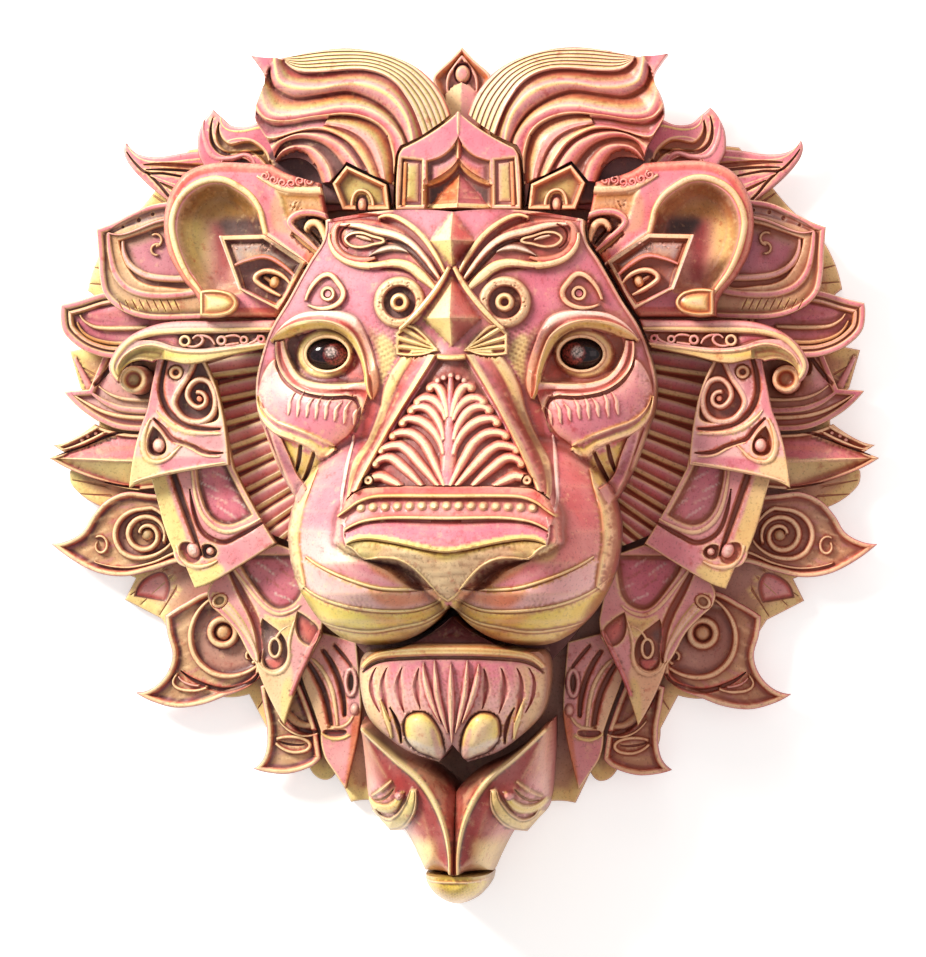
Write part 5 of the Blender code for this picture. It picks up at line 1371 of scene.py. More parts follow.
def beard_leaf():
    outline = outline_of([
        (210, -300, CORNER), (199, -287), (196, -262), (200, -236), (203, -217, CORNER), (180, -208, CORNER),
        (164, -214, CORNER), (155, -236), (146, -262, CORNER), (142, -289, CORNER), (152, -298), (175, -305),
        (195, -304),
    ])
    loop = smooth_line([(187, -275), (173, -283), (158, -282), (153, -276), (160, -270), (174, -268),
        (186, -270)])
    forms = [
        rim(outline, LEAF_RIM),
        streaks(outline, (0.2, 1), 6.0, ("cream", "mauve"), 0.6, 0.8),
        groove([(189, -230), (175, -250), (162, -261), (146, -263)], [3.2, 4.4, 4.2, 3], 3.4, "maroon",
            "coral"),
        trace([(180, -234), (168, -252), (150, -256)], [3.4, 4.2, 3.2],
            round_ridge(TOP - 1.2, LOW, "sand", "taupe")),
        railed([(184, -252), (165, -266), (144, -264)], [1.2, 1.8, 1.4], TOP - 0.6, LOW, "cream", "coral"),
        stroke(loop, [2, 2.6, 2.2], rail(TOP - 0.8, LOW, "cream", "coral")),
        groove([(184, -273), (172, -276), (160, -276)], [1.2, 1.8, 1.2], 1.4, "deep"),
    ]
    build_pair("beard_leaf", outline, forms, board_back(1), PAINTED)


# Plates beside the face

def plate_edge(face):
    return [
        (0, TOP - 1.3, "gold"), (0.6, TOP - 0.3, "cream"), (1.4, TOP, "cream"), (2.2, TOP, face),
        (60, TOP, face),
    ]


def u_panel(outline, depth):
    return panel(outline, [
        (0, TOP, "cream"), (0.7, TOP - 0.6, "sand"), (2.4, TOP - depth + 0.4, "maroon"),
        (4.4, TOP - depth, "red"), (7, TOP - depth + 0.3, "pink"), (20, TOP - depth + 1.2, "pink"),
    ])


def lip(path, width, rise, paint="cream", side="sand"):
    """A thin rounded edge that stands on the surface."""
    return trace(path, width, [(0, rise, paint), (0.55, 0.8 * rise, paint), (1, 0, side)], "add")


def bead(centre, radius, height, squash=1.0, tilt=0.0):
    return boss(centre, [
        (0, height, "white"), (0.5 * radius, height - 0.5, "shell"), (0.8 * radius, height - 2, "blush"),
        (radius, height - 4.4, "maroon"),
    ], "raise", squash=squash, tilt=tilt)


def side_plate_1():
    outline = outline_of([
        (298, 122, CORNER), (306, 85), (311, 60), (317, 44), (324, 18), (329, -18, CORNER), (315, -11),
        (290, -5), (258, 1), (229, 5, CORNER), (231, 30), (234, 52), (240, 78), (248, 98), (258, 118, CORNER),
    ])
    well = outline_of([
        (263, 116, CORNER), (268, 104), (274, 90), (282, 78), (285, 68), (281, 58), (273, 50), (260, 46.5),
        (246, 47), (239, 52), (240, 66), (243, 80), (251, 98), (259, 115, CORNER),
    ])
    coil = join(
        smooth_line([
            (264, 108), (272, 91), (280, 79), (284.5, 68), (281, 58), (272.5, 50), (260, 47.4), (250, 51),
            (244, 59), (242.6, 71), (246, 82),
        ])[:-1],
        smooth_line([
            (246, 82), (251, 88.4), (260, 90), (267.5, 84.5), (271, 75), (267.6, 67), (260.6, 62.4),
            (254, 64.8), (252, 70.6), (255, 76), (261, 77.5),
        ]),
    )
    deep = TOP - 6.6
    forms = [
        rim(outline, plate_edge("shell")),
        patch([(302, 118), (309, 80), (316, 52), (322, 30), (312, 46), (300, 60), (296, 100)], "pink", 0.7,
            3),
        groove([(291, 112), (296, 93), (297, 78), (293, 64), (285, 53), (274, 46), (260, 41.5), (238, 41)],
            [2.6, 3.6, 4.2, 4.2, 4, 3.8, 3, 1.6], 4.6, "maroon", "coral"),
        panel(well, [(0, TOP - 0.5, "cream"), (2, deep + 0.4, "maroon"), (5, deep, "maroon"),
            (9, deep, "deep")]),
        patch([(288, 112), (292, 92), (292, 76), (286, 70), (280, 84), (272, 96), (268, 112)], "mauve", 0.75,
            4),
        stroke(coil, [4.2, 4.6, 4.6, 4.4, 4.2, 3.8, 3.4, 3.0], [
            (0, TOP + 0.9, "cream"), (0.3, TOP + 0.7, "shell"), (0.5, TOP - 0.2, "sand"),
            (0.66, TOP - 2, "coral"), (0.86, deep + 0.6, "red"), (1, deep, "maroon")]),
        boss((258.6, 71), [(0, TOP - 0.8, "orange"), (2.4, TOP - 1.4, "coral"), (4, deep, "maroon")],
            "raise"),
        boss((282, 97), [
            (0, TOP - 2.8, "coral"), (2.2, TOP - 3, "maroon"), (3.6, TOP + 0.5, "orange"),
            (4.8, TOP + 0.9, "cream"), (6, TOP + 0.8, "cream"), (7, TOP - 0.4, "ochre"),
            (7.6, TOP - 1.2, "maroon")]),
        lip([(301, 58), (294, 50), (283, 42), (268, 37), (238, 36)], [0.8, 2, 2.4, 2.2, 1.2], 0.9, "cream",
            "butter"),
        patch([(270, 36), (236, 36), (233, 20), (256, 20), (272, 27)], "mauve", 0.7, 5),
        groove([(303, 50), (294, 41), (286, 31), (276, 27), (264, 23), (254, 18), (236, 17)],
            [1.6, 2.8, 3.2, 3.2, 3, 2.6, 1.2], 4.0, "red", "coral"),
        lip([(284, 27), (270, 23), (254, 14.6), (238, 13.6)], [0.8, 1.6, 1.6, 0.8], 0.8, "cream", "blush"),
        inlay([(305, 44, CORNER), (311, 30), (310, 18), (302, 13), (292.5, 17), (291.5, 27), (297, 37)],
            [(0, TOP, "cream"), (1.6, TOP - 4.6, "maroon"), (3.4, TOP - 5.6, "maroon"),
            (6, TOP - 6, "deep")]),
        bead((299.5, 24.5), 6.4, TOP + 0.5, 1.15),
        lip([(308, 50), (315, 28), (311.5, 12), (302, 7.6), (291, 10.6), (283, 18), (277, 24)],
            [1, 2.2, 2.8, 2.8, 2.4, 1.8, 0.8], 1.1, "cream", "gold"),
        patch([(296, 5), (327, 14), (331, -20), (300, -8)], "butter", 0.75, 6),
        patch([(284, 14), (236, 13), (230, 7), (258, 3), (290, -3), (300, 4)], "pink", 0.85, 4),
        lip([(324, -12), (314, -8.4), (290, -2.4), (258, 3.6), (233, 7.4)], [0.8, 1.4, 1.4, 1.4, 0.8], 0.6),
    ]
    build_pair("side_plate_1", outline, forms, board_back(4), PAINTED, 2.2)


def side_plate_2():
    outline = outline_of([
        (309, -8, CORNER), (303, -30), (296, -56), (287, -80, CORNER), (283, -92), (274, -97, CORNER),
        (265, -118, CORNER), (248, -112), (222, -97), (184, -73, CORNER), (197, -52), (212, -25),
        (226, 2, CORNER), (244, 90, CORNER), (288, 96, CORNER), (300, 20, CORNER),
    ])
    field = outline_of([
        (264, 20, CORNER), (264, -6), (260, -26), (255, -40), (246, -51), (233, -56), (220, -53),
        (206, -45, CORNER), (219, -22), (233, 6), (236, 20, CORNER),
    ])
    forms = [
        rim(outline, plate_edge("blush")),
        patch([(300, 20), (310, -10), (298, -56), (284, -84), (272, -74), (282, -40), (292, -8)], "butter",
            0.95, 3),
        patch([(274, -96), (266, -120), (234, -103), (240, -92), (258, -98)], "butter", 1.0, 4),
        patch([(244, -78), (212, -64), (190, -70), (222, -96), (244, -90)], "pink", 0.5, 6),
        u_panel(field, 5.4),
        streaks(field, (0.5, -0.87), 7.5, ("white", "shell"), 0.9),
        groove([(290, 6), (281, -22), (273, -45), (266, -65), (259, -85)], [4.2, 4.8, 4.6, 4, 2.6], 5,
            "maroon", "coral"),
        railed([(281, 6), (275, -20), (268, -44)], [2.6, 2.4, 1.0], TOP - 2.2, TOP - 5, "butter", "coral"),
        groove([(270, -20), (264, -48), (257, -62), (246, -70), (234, -72), (221, -66), (196, -52)],
            [0.8, 2.6, 3.2, 3.4, 3.4, 3, 1.6], 3.8, "red", "mauve"),
        trace([(268, 8), (266, -16), (260.5, -38), (253, -51), (243, -59), (232, -62), (219, -59),
            (198, -48)], [2.2, 2.6, 3.2, 3.8, 4.0, 4.0, 3.4, 1.6], [(0, TOP + 1.4, "cream"),
            (0.35, TOP + 1.1, "cream"), (0.7, TOP - 0.8, "coral"), (1, TOP - 3.4, "red")]),
        inlay([(278, -72), (281, -84), (275, -91), (266, -94), (259, -89), (262, -76)], [(0, TOP, "cream"),
            (1.8, TOP - 3.6, "red"), (5, TOP - 4, "coral")]),
        bead((267, -80), 6.6, TOP + 0.8, 1.3, -0.4),
        inlay([(258, -75, CORNER), (249, -74), (242, -81), (246, -88), (256, -88)], [(0, TOP, "cream"),
            (1.6, TOP - 4.6, "deep"), (4, TOP - 5, "deep")]),
        bead((250, -81), 4.2, TOP + 0.4),
        lip([(283, -76), (278, -88), (270, -95.5), (257, -96.5), (243, -91)], [1.6, 2.2, 2.4, 2.2, 1], 1.0,
            "cream", "gold"),
    ]
    build_pair("side_plate_2", outline, forms, board_back(3), PAINTED, 2.3)


def side_plate_3():
    outline = outline_of([
        (232, -92, CORNER), (253, -118), (252, -134), (240, -146), (225, -162), (213, -184),
        (206, -194, CORNER), (198, -215), (187, -238), (177, -255, CORNER), (171, -235), (161, -208),
        (140, -167, CORNER), (138, -150, CORNER), (150, -86, CORNER), (184, -74, CORNER),
    ])
    field = outline_of([
        (226, -84, CORNER), (220, -100), (208, -118), (198, -131), (190, -138), (182, -140.5), (172, -138),
        (164, -132), (158, -120), (154, -84, CORNER),
    ])
    hollow = outline_of([
        (199, -148, CORNER), (190, -155), (181, -162), (174, -174), (175, -192), (187, -201), (198, -196),
        (200, -178), (202, -162),
    ])
    forms = [
        rim(outline, plate_edge("blush")),
        patch([(206, -194), (172, -190), (170, -236), (177, -257), (190, -236)], "cream", 0.95, 3),
        patch([(170, -206), (168, -238), (177, -257), (182, -236), (178, -210)], "butter", 0.8, 3),
        u_panel(field, 5.2),
        streaks(field, (0.5, -0.87), 7.5, ("white", "red"), 0.9),
        trace([(230, -96), (215, -116), (203, -131), (194, -139.6), (183, -144.4), (171, -142), (162, -136)],
            [1.6, 2.4, 2.8, 3.0, 3.0, 2.8, 1.8], [(0, TOP + 1.0, "cream"), (0.4, TOP + 0.8, "cream"),
            (0.75, TOP - 0.8, "coral"), (1, TOP - 3, "maroon")]),
        trace([(233, -98), (220, -123), (210, -142), (204, -158), (201.5, -175), (203, -190)],
            [2.4, 4.4, 5.2, 5.2, 4.4, 3.2], [(0, -4.6, "red"), (0.45, -4.2, "coral"), (0.8, -0.8, "red"),
            (1, 0, "cream")], "cut"),
        trace([(246, -126), (233, -139), (222, -152), (212, -168), (206, -181), (204, -191)],
            [5.4, 5.8, 5.2, 4.0, 2.8, 1.8], [(0, TOP + 1.8, "cream"), (0.4, TOP + 1.6, "shell"),
            (0.7, TOP + 0.4, "butter"), (1, TOP - 2.4, "coral")]),
        boss((242, -131), [(0, TOP - 1.0, "sand"), (4.2, TOP - 0.8, "olive"), (6, TOP + 1.5, "cream"),
            (7.6, TOP + 0.8, "cream"), (8.8, TOP - 0.6, "coral")], squash=0.8, tilt=-0.6),
        inlay([(196, -145, CORNER), (180, -148), (166, -146), (166, -158), (176, -168), (187, -158)],
            [(0, TOP, "cream"), (3, TOP + 0.2, "butter"), (9, TOP, "sand")], "put"),
        panel(hollow, [(0, TOP, "cream"), (1.6, TOP - 4.4, "maroon"), (4, TOP - 5.2, "deep")]),
        loop_of(circle((186.5, -178), 5.5, 1.7), 2.4, rail(TOP + 0.6, TOP - 5, "cream", "maroon")),
        railed([(185, -168), (179, -160), (172, -156)], [2.2, 1.8, 0.8], TOP + 0.4, TOP - 5, "cream",
            "coral"),
        inlay([(198, -190), (188, -187), (178, -190), (186, -201)], [(0, TOP - 4.6, "wine"),
            (2, TOP - 3.2, "wine"), (4, TOP - 3, "coral")], "raise"),
        lip([(203, -192), (197, -200), (187, -204), (178, -200), (172.5, -190), (172, -172), (166, -150)],
            [1, 2, 2.4, 2.2, 2, 1.8, 1], 0.9, "cream", "sand"),
        inlay([(164, -141, CORNER), (150, -150), (142, -160), (150, -176), (164, -166)], [(0, TOP, "cream"),
            (1.8, TOP - 3.4, "maroon"), (4, TOP - 3, "red"), (9, TOP - 2.6, "coral")]),
        trace([(142, -162), (156, -190), (170, -224)], [2.4, 3.4, 2.4], [(0, 1.2, "pink"),
            (0.6, 0.9, "coral"), (1, 0, "maroon")], "add"),
    ]
    build_pair("side_plate_3", outline, forms, board_back(2), PAINTED, 2.3)


def side_plate_4():
    outline = outline_of([
        (117, -320, CORNER), (128, -304), (139, -286), (142, -262, CORNER), (151, -236), (160, -212),
        (166, -186, CORNER), (150, -160, CORNER), (106, -172, CORNER), (103, -205), (101, -238), (104, -264),
        (110, -292),
    ])
    forms = [
        rim(outline, plate_edge("blush")),
        patch([(166, -184), (152, -236), (143, -262), (134, -258), (142, -226), (156, -196)], "cream", 0.9,
            3),
        patch([(114, -316), (104, -290), (99, -240), (110, -244), (114, -276), (118, -312)], "orange", 0.85,
            3),
        groove([(156, -192), (147, -206), (138, -226), (132, -256)], [3, 4.4, 4.6, 3.8], 5, "maroon",
            "coral"),
        groove([(139, -182), (128, -200), (120.5, -222), (118, -246)], [3, 4, 4, 2.8], 5, "maroon", "coral"),
        groove([(128, -176), (116, -190), (111, -197)], [2.2, 2.6, 1.8], 3.2, "maroon", "coral"),
        lip([(150, -190), (138, -204), (130, -222), (126.5, -243), (125, -256)], [1.6, 2.2, 2.4, 2.2, 1.4],
            1.3),
        loop_of(circle((111.5, -213), 5.2, 2.5), 2.8, [(0, 1.8, "shell"), (0.5, 1.4, "pink"),
            (1, 0, "maroon")], "add"),
        panel(circle((111.5, -213), 3.0, 3.0), [(0, -0.1, "maroon"), (1.2, -3, "deep"), (3, -3, "deep")],
            "cut"),
        boss((107.5, -240), [(0, 2.4, "shell"), (2.6, 1.8, "blush"), (4.8, -0.4, "coral")], "add",
            squash=1.3),
        inlay([(140, -263), (128, -260), (115, -263), (128, -268)], pit(2.6, "red", 1.2), "cut"),
        lip([(135, -256), (120, -257.5), (110, -248)], [1.2, 1.8, 1.2], 0.9),
        lip([(141, -264), (128, -270), (113, -266)], [1.2, 2, 1.2], 0.9, "butter", "sand"),
    ]
    build_pair("side_plate_4", outline, forms, board_back(1), PAINTED, 2.3)


def temple_band():
    outline = outline_of([
        (180, 149, CORNER), (240, 148), (288, 147), (316, 139), (336, 125), (347, 106), (345, 94),
        (338, 86, CORNER), (336, 97), (330, 105), (319, 109), (304, 107, CORNER), (296, 110), (268, 105),
        (230, 113), (192, 121, CORNER),
    ])
    slot = outline_of([(182.5, 137.5, CORNER), (231.5, 136.5), (280.5, 135.5), (302.5, 133.5),
        (320, 128, CORNER), (300.5, 128), (280.5, 122), (253, 120), (221.5, 124), (186.5, 129, CORNER)])
    crest = smooth_line([(184.5, 140), (231.5, 139), (280.5, 138), (306, 135.5), (324, 129), (336.5, 117),
        (343, 103), (339.5, 92.5), (332, 86.5)])
    under = smooth_line([(184.5, 125.5), (221.5, 120.5), (253, 117), (280.5, 118.5), (302.5, 124),
        (316, 122.5), (330, 115), (336.5, 106)])
    roll = outline_of([(290.5, 119, CORNER), (303.5, 122), (318, 120.5), (331, 113.5), (337.5, 104),
        (337.5, 95.5), (332.5, 88.5, CORNER), (331, 98.5), (324, 105), (314, 108), (300.5, 106),
        (290.5, 109, CORNER)])
    forms = [
        rim(outline, [(0, TOP - 3, "rose"), (1.2, TOP - 1, "pink"), (4, TOP - 0.4, "shell"),
            (9, TOP - 0.6, "shell"), (40, TOP - 0.6, "blush")]),
        patch([(180.5, 126), (221.5, 121), (253, 117), (280.5, 119), (306, 124), (320, 120), (334.5, 110),
            (341.5, 98.5), (333.5, 84.5), (328, 98.5), (315, 109), (290.5, 108), (257, 102), (221.5, 110),
            (180.5, 117)], "butter", 0.95, 1.5),
        patch([(231.5, 117), (253, 114), (282.5, 117), (302.5, 121), (320, 118), (335.5, 106), (338.5, 94.5),
            (330, 96.5), (315, 109), (290.5, 110), (261, 110), (231.5, 114)], "yellow", 0.7, 3),
        panel(roll, [(0, TOP - 0.4, "butter"), (1.2, TOP - 1.6, "moss"), (5, TOP - 3, "olive"),
            (9, TOP - 2.6, "moss")], "sink"),
        stroke(crest, [1.6, 2.4, 2.6, 2.8, 3, 3, 3, 2.4, 1.4], [(0, TOP + 1, "cream"),
            (0.5, TOP + 0.8, "butter"), (1, TOP - 0.8, "sand")]),
        panel(slot, [(0, TOP - 0.4, "cream"), (0.8, TOP - 3, "maroon"), (2.4, TOP - 5, "deep"),
            (5, TOP - 5, "maroon")]),
        stroke(under, [1.2, 1.8, 2, 2, 2, 1.6, 1], [(0, TOP + 0.8, "cream"), (0.5, TOP + 0.4, "cream"),
            (1, TOP - 1, "sand")]),
        inlay([(278.5, 123), (290.5, 126), (318, 127.5, CORNER), (304, 132.5), (280.5, 134)],
            [(0, TOP - 4.4, "mauve"), (3, TOP - 3, "rose"), (6, TOP - 2.6, "mauve")], "raise"),
    ]
    for centre, radius, half, top, face in (
        ((271, 128), 4.6, 2.3, TOP + 0.4, "cream"), ((234.5, 128.5), 3.8, 2.2, TOP + 0.2, "blush"),
        ((212, 129), 3.2, 2, TOP, "blush"), ((195, 130), 3, 2, TOP, "pink"),
    ):
        forms.append(loop_of(circle(centre, radius), half, rail(top, TOP - 5, face, "deep")))
    for path in (
        [(269, 123.5), (259, 123), (253, 129), (257, 133.5), (263, 130.5)],
        [(257, 133.5), (247, 131.5), (241.5, 125)],
        [(230.5, 124), (223.5, 125), (217.5, 126)], [(229.5, 132.5), (220.5, 133.5), (216, 131.5)],
        [(206, 126), (200, 129), (198, 133.5)],
    ):
        forms.append(railed(path, [1.7, 2.2, 1.4], TOP + 0.2, TOP - 4.6, "blush", "red"))
    build_pair("temple_band", outline, forms, board_back(5), CREAM_PAINTED, 2.2)


# Ears: a tall rim round the cup, and the frame and the tab in front of it

EAR_LIP = BOARD + 12
EAR_FRONT = board_back(4) + BOARD + 12 + GAP


def ear():
    outline = outline_of([
        (293, 245), (288, 272), (272, 295), (246, 305), (206, 305), (184, 303, CORNER), (168, 294),
        (137, 285, CORNER), (132, 258), (129, 247, CORNER), (131, 228), (143, 209), (153, 192), (166, 169),
        (180, 151, CORNER), (257, 151, CORNER), (259, 170), (276, 192), (289, 217),
    ])
    lip = EAR_LIP
    cup = outline_of([(279, 244), (275.5, 259.5), (268, 271.5), (256, 280.5), (243.5, 284.5), (229.5, 283),
        (217.5, 276.5), (206, 267.5), (197, 254.5), (192.5, 242), (191, 232), (197, 216.5, CORNER),
        (214, 175, CORNER), (247, 169, CORNER), (255, 181), (266, 197.5), (274, 214.5), (278.5, 231)])

    def cup_paint(points, state):
        chosen = near(points, cup, 0)
        away = distance_to(points[chosen], cup)
        inside = is_inside(points[chosen], cup) & (away > 1.2)
        kept, away = chosen[inside], away[inside]
        x, v = points[kept, 0], points[kept, 1]
        # Painted shade: olive on the upper wall of the cup
        olive = soft_step((v - 240) / 16)[:, None]
        mauve = soft_step((266 - x) / 22)[:, None]
        aside = np.abs(x - 236 - 0.10 * np.clip(v - 205, 0, 60))
        wine = np.clip(1.3 - aside / 10, 0, 1) * soft_step((v - 182) / 8)
        wine = (wine * soft_step((254 - v) / 14))[:, None]
        # Painted shade: deep in the hollow at the top of the cup, on its inner side
        hollow = soft_step((248 - x - 0.5 * np.abs(v - 246)) / 14) * soft_step((259 - v) / 14)
        hollow = (hollow * soft_step((v - 228) / 8))[:, None]
        # Painted shadow: maroon inside the outer rim
        wall = (np.clip(1 - away / 8, 0, 1) * soft_step((x - 250) / 12))[:, None]
        paint = TINT["yellow"] * 0.35 + TINT["butter"] * 0.65
        paint = paint * (1 - mauve) + (TINT["sand"] * 0.6 + TINT["mauve"] * 0.4) * mauve
        paint = paint * (1 - olive) + (TINT["olive"] * 0.55 + TINT["gold"] * 0.45) * olive
        paint = paint * (1 - 0.9 * wine) + (TINT["wine"] * 0.6 + TINT["red"] * 0.4) * 0.9 * wine
        paint = paint * (1 - hollow) + TINT["deep"] * hollow
        state["paint"][kept] = paint * (1 - wall) + (TINT["maroon"] * 0.8 + TINT["ochre"] * 0.2) * wall

    ring = smooth_line([(248, 167), (257, 179), (269, 195.5), (277.5, 213.5), (282.5, 231), (284, 245.5),
        (280.5, 260.5), (272, 274.5), (259, 284), (243.5, 288.5), (229.5, 287), (216, 280), (204, 270.5),
        (196, 257.5), (193, 245.5), (190.5, 235)])
    shelf = smooth_line([(191, 235), (182.5, 230), (167.5, 219), (153, 208.5), (145, 201.5)])
    field = outline_of([(130, 276, CORNER), (153, 277), (170.5, 278), (182.5, 282), (192, 288),
        (180.5, 271.5), (175.5, 253.5), (170.5, 242, CORNER), (159, 232), (143, 218), (127.5, 232, CORNER),
        (124.5, 249.5, CORNER)])
    forms = [
        rim(outline, [(0, lip - 7, "red"), (1.5, lip - 3.2, "coral"), (4, lip - 1.4, "coral"),
            (9, lip - 1, "coral"), (11, lip - 0.8, "pink"), (60, lip - 0.8, "blush")]),
        patch([(202, 285), (188, 281), (180.5, 257.5), (174.5, 236), (153, 218), (167.5, 218), (188, 232),
            (194, 247.5), (200, 263.5)], "rose", 0.6, 6),
        panel(field, [(0, lip - 0.6, "cream"), (3, lip - 0.8, "cream"), (6, lip - 2.6, "gold"),
            (12, lip - 3, "sand"), (22, lip - 2.6, "gold")], "sink"),
        patch([(182.5, 275), (168.5, 267.5), (168.5, 245.5), (160.5, 234), (182.5, 236), (188, 257.5)],
            "moss", 0.45, 6),
        trace([(198, 291), (188, 285.5), (176.5, 280), (160.5, 277.5), (132, 277)], [1, 2.6, 3.6, 3.8, 3.6],
            [(0, lip + 0.6, "cream"), (0.6, lip + 0.4, "cream"), (1, lip - 0.8, "sand")], "put"),
        trace([(131.5, 277), (129.5, 265.5), (126.5, 250.5)], [3, 2.2, 1.4], [(0, lip + 0.4, "butter"),
            (0.6, lip + 0.2, "butter"), (1, lip - 2, "gold")], "put"),
        hatched(lambda p: np.clip(1 - np.hypot((p[:, 0] - 160) / 16, (p[:, 1] - 262) / 7), 0, 1),
            lambda p: (p[:, 0] + 0.4 * p[:, 1]) / 4.0, 3.0),
        panel(cup, [(0, lip, "cream"), (1.2, lip - 2, "ochre"), (4, lip - 8, "maroon"),
            (7, lip - 13, "olive"), (13, lip - 17.5, "olive"), (26, lip - 19, "moss"),
            (46, lip - 19.4, "moss")]),
        Form(cup_paint),
        stroke(shelf, [2.6, 2.8, 2.6, 2.2, 1], [(0, lip + 1, "cream"), (0.5, lip + 0.8, "shell"),
            (0.8, lip - 0.4, "blush"), (1, lip - 2, "maroon")]),
        trace([(188, 228), (172.5, 217), (157, 205.5), (145, 195.5)], [1.6, 3, 3.4, 2], [(0, lip - 7, "deep"),
            (0.6, lip - 6, "deep"), (1, lip - 1, "maroon")], "sink"),
        stroke(ring, [1.4, 2.8, 3.4, 3.6, 3.6, 3.7, 3.8, 3.8, 3.6, 3.2, 3], [
            (0, lip + 1.6, "cream"), (0.35, lip + 1.5, "cream"), (0.65, lip + 1.0, "butter"),
            (0.85, lip - 0.4, "gold"), (1, lip - 2, "coral")]),
    ]
    pocket = outline_of([(129.5, 246.5), (138, 251.5), (149, 253), (159, 251.5), (163.5, 245.5), (160.5, 239),
        (151, 230), (139, 220, CORNER), (130, 228)])
    forms += [
        panel(pocket, [(0, lip - 1, "pink"), (1.4, lip - 7, "maroon"), (4, lip - 9, "deep")]),
        trace([(162.5, 234), (153, 226), (141, 215.5)], [2, 3, 2], [(0, lip - 3.4, "olive"),
            (0.5, lip - 3.2, "gold"), (1, lip - 4, "maroon")], "put"),
        trace([(124.5, 247.5), (135, 253.5), (148, 255.5), (159.5, 253.5), (166.5, 246.5), (162.5, 239),
            (151, 229), (138, 217)], [2.2, 3.4, 3.8, 3.8, 3.4, 3, 2.8, 1.4], [(0, lip + 1, "blush"),
            (0.3, lip + 1, "pink"), (0.55, lip + 0.6, "cream"), (0.8, lip - 1, "pink"),
            (1, lip - 4, "maroon")]),
        trace([(150, 239), (146, 245), (139, 244.5), (134, 237), (132, 227)], [3.2, 4, 4.2, 3.6, 2],
            [(0, lip, "cream"), (0.5, lip - 0.4, "cream"), (0.8, lip - 2, "sand"), (1, lip - 6, "deep")]),
        trace([(148, 238), (142, 232), (136, 224)], [1.4, 2, 1.2], [(0, -4, "deep"), (1, 0, "maroon")],
            "cut"),
    ]
    chain = [(191, 291.5), (182.5, 287.5), (173.5, 284.5), (164.5, 284), (156, 286.5), (147, 286)]
    for k, centre in enumerate(chain):
        forms.append(stroke(spiral(centre, 4.6, 1.6, 120 + 40 * k, 1.2), [1.7, 1.9, 1.4],
            [(0, lip + 0.8, "blush"), (0.5, lip + 0.4, "coral"), (1, lip - 3, "maroon")]))
    forms.append(trace(chain, [1.4, 1.6, 1.4], [(0, lip, "coral"), (0.6, lip - 0.6, "red"),
        (1, lip - 2.4, "maroon")]))
    build_pair("ear", outline, forms, board_back(4), CREAM_PAINTED, 2.3, grime_and_shade=0.45)


def ear_frame():
    outline = outline_of([
        (235, 232, CORNER), (190, 233, CORNER), (149, 206, CORNER), (160, 186, CORNER), (176, 158, CORNER),
        (215, 178, CORNER),
    ])
    top, low = TOP, TOP - 7
    channel = resampled_ring(np.array([(230, 228), (191, 229), (154, 204), (163, 187), (178, 163),
        (213, 180)], float))
    field = resampled_ring(np.array([(219, 204), (203, 210), (188, 212), (176, 206), (161, 193), (168, 176),
        (178, 163), (190, 168), (211, 178)], float))
    forms = [
        rim(outline, [(0, top - 1.4, "coral"), (0.8, top - 0.2, "cream"), (2, top, "cream"),
            (40, top, "cream")]),
        panel(channel, [(0, top, "cream"), (1, top - 3.4, "maroon"), (3.4, top - 5, "maroon"),
            (5, top - 4, "taupe"), (8, top - 3.2, "grey"), (20, top - 3, "sand")]),
        # Painted shadow: a deep wash where the ear above shades the frame
        patch([(192, 231), (150, 206), (163, 186), (166, 196), (182, 212), (196, 216)], "deep", 0.9, 4),
        panel(field, [(0, top - 3, "blush"), (1, top - 3.4, "orange"), (2.6, low, "maroon"),
            (8, low - 0.8, "maroon"), (20, low - 1, "deep")]),
        trace([(219, 203), (203, 209), (189, 211), (177, 206), (161, 193)], [1.6, 2.4, 2.8, 2.8, 2],
            [(0, top - 0.2, "blush"), (0.4, top - 0.3, "coral"), (0.7, top - 1.8, "orange"),
            (1, low, "maroon")]),
        trace([(160, 193), (166, 178), (177, 160)], [2, 2.6, 2.6], [(0, top, "cream"),
            (0.4, top - 0.1, "blush"), (0.7, top - 1.6, "mauve"), (1, low, "deep")]),
        trace([(234, 230), (227, 209), (215, 179)], [3.2, 3.8, 3.4], [(0, top + 0.6, "white"),
            (0.5, top + 0.4, "cream"), (0.8, top - 1, "blush"), (1, low, "maroon")]),
        trace([(213, 179), (196, 170), (178, 161)], [2.2, 2.8, 2.2], [(0, top, "cream"),
            (0.4, top - 0.4, "mauve"), (0.75, top - 2.4, "rose"), (1, low, "deep")]),
        trace([(164.5, 184), (173.5, 193), (185.5, 197), (195, 195), (199.5, 189.5), (195, 184), (185.5, 178),
            (174.5, 172.5)], [1.4, 2.8, 3.2, 3.2, 3.2, 3, 2.8, 1.6], [(0, top + 0.4, "cream"),
            (0.4, top, "cream"), (0.7, top - 1.8, "coral"), (1, low - 0.6, "deep")]),
        trace([(190, 190.5), (184.5, 187), (179.5, 182)], [2, 2.6, 1.8], [(0, top - 3, "ochre"),
            (0.6, top - 3.6, "maroon"), (1, low, "deep")]),
        boss((180.5, 186), [(0, top - 0.6, "cream"), (2.4, top - 1, "sand"), (4, top - 3, "gold"),
            (5, low, "deep")], "raise", squash=1.35, tilt=0.35),
    ]
    for k in range(22):
        t = k / 21
        forms.append(boss((222 - 42 * t, 221.5 - 1.5 * t + 3.2 * math.sin(5.1 * k)),
            [(0, -1.6, "maroon"), (1.3, 0, "taupe")] if k % 2 else [(0, 1.2, "shell"), (1.2, 0, "taupe")],
            "cut" if k % 2 else "add"))
    back = EAR_FRONT
    build_pair("ear_frame", outline, forms, back, PAINTED, 2.2)


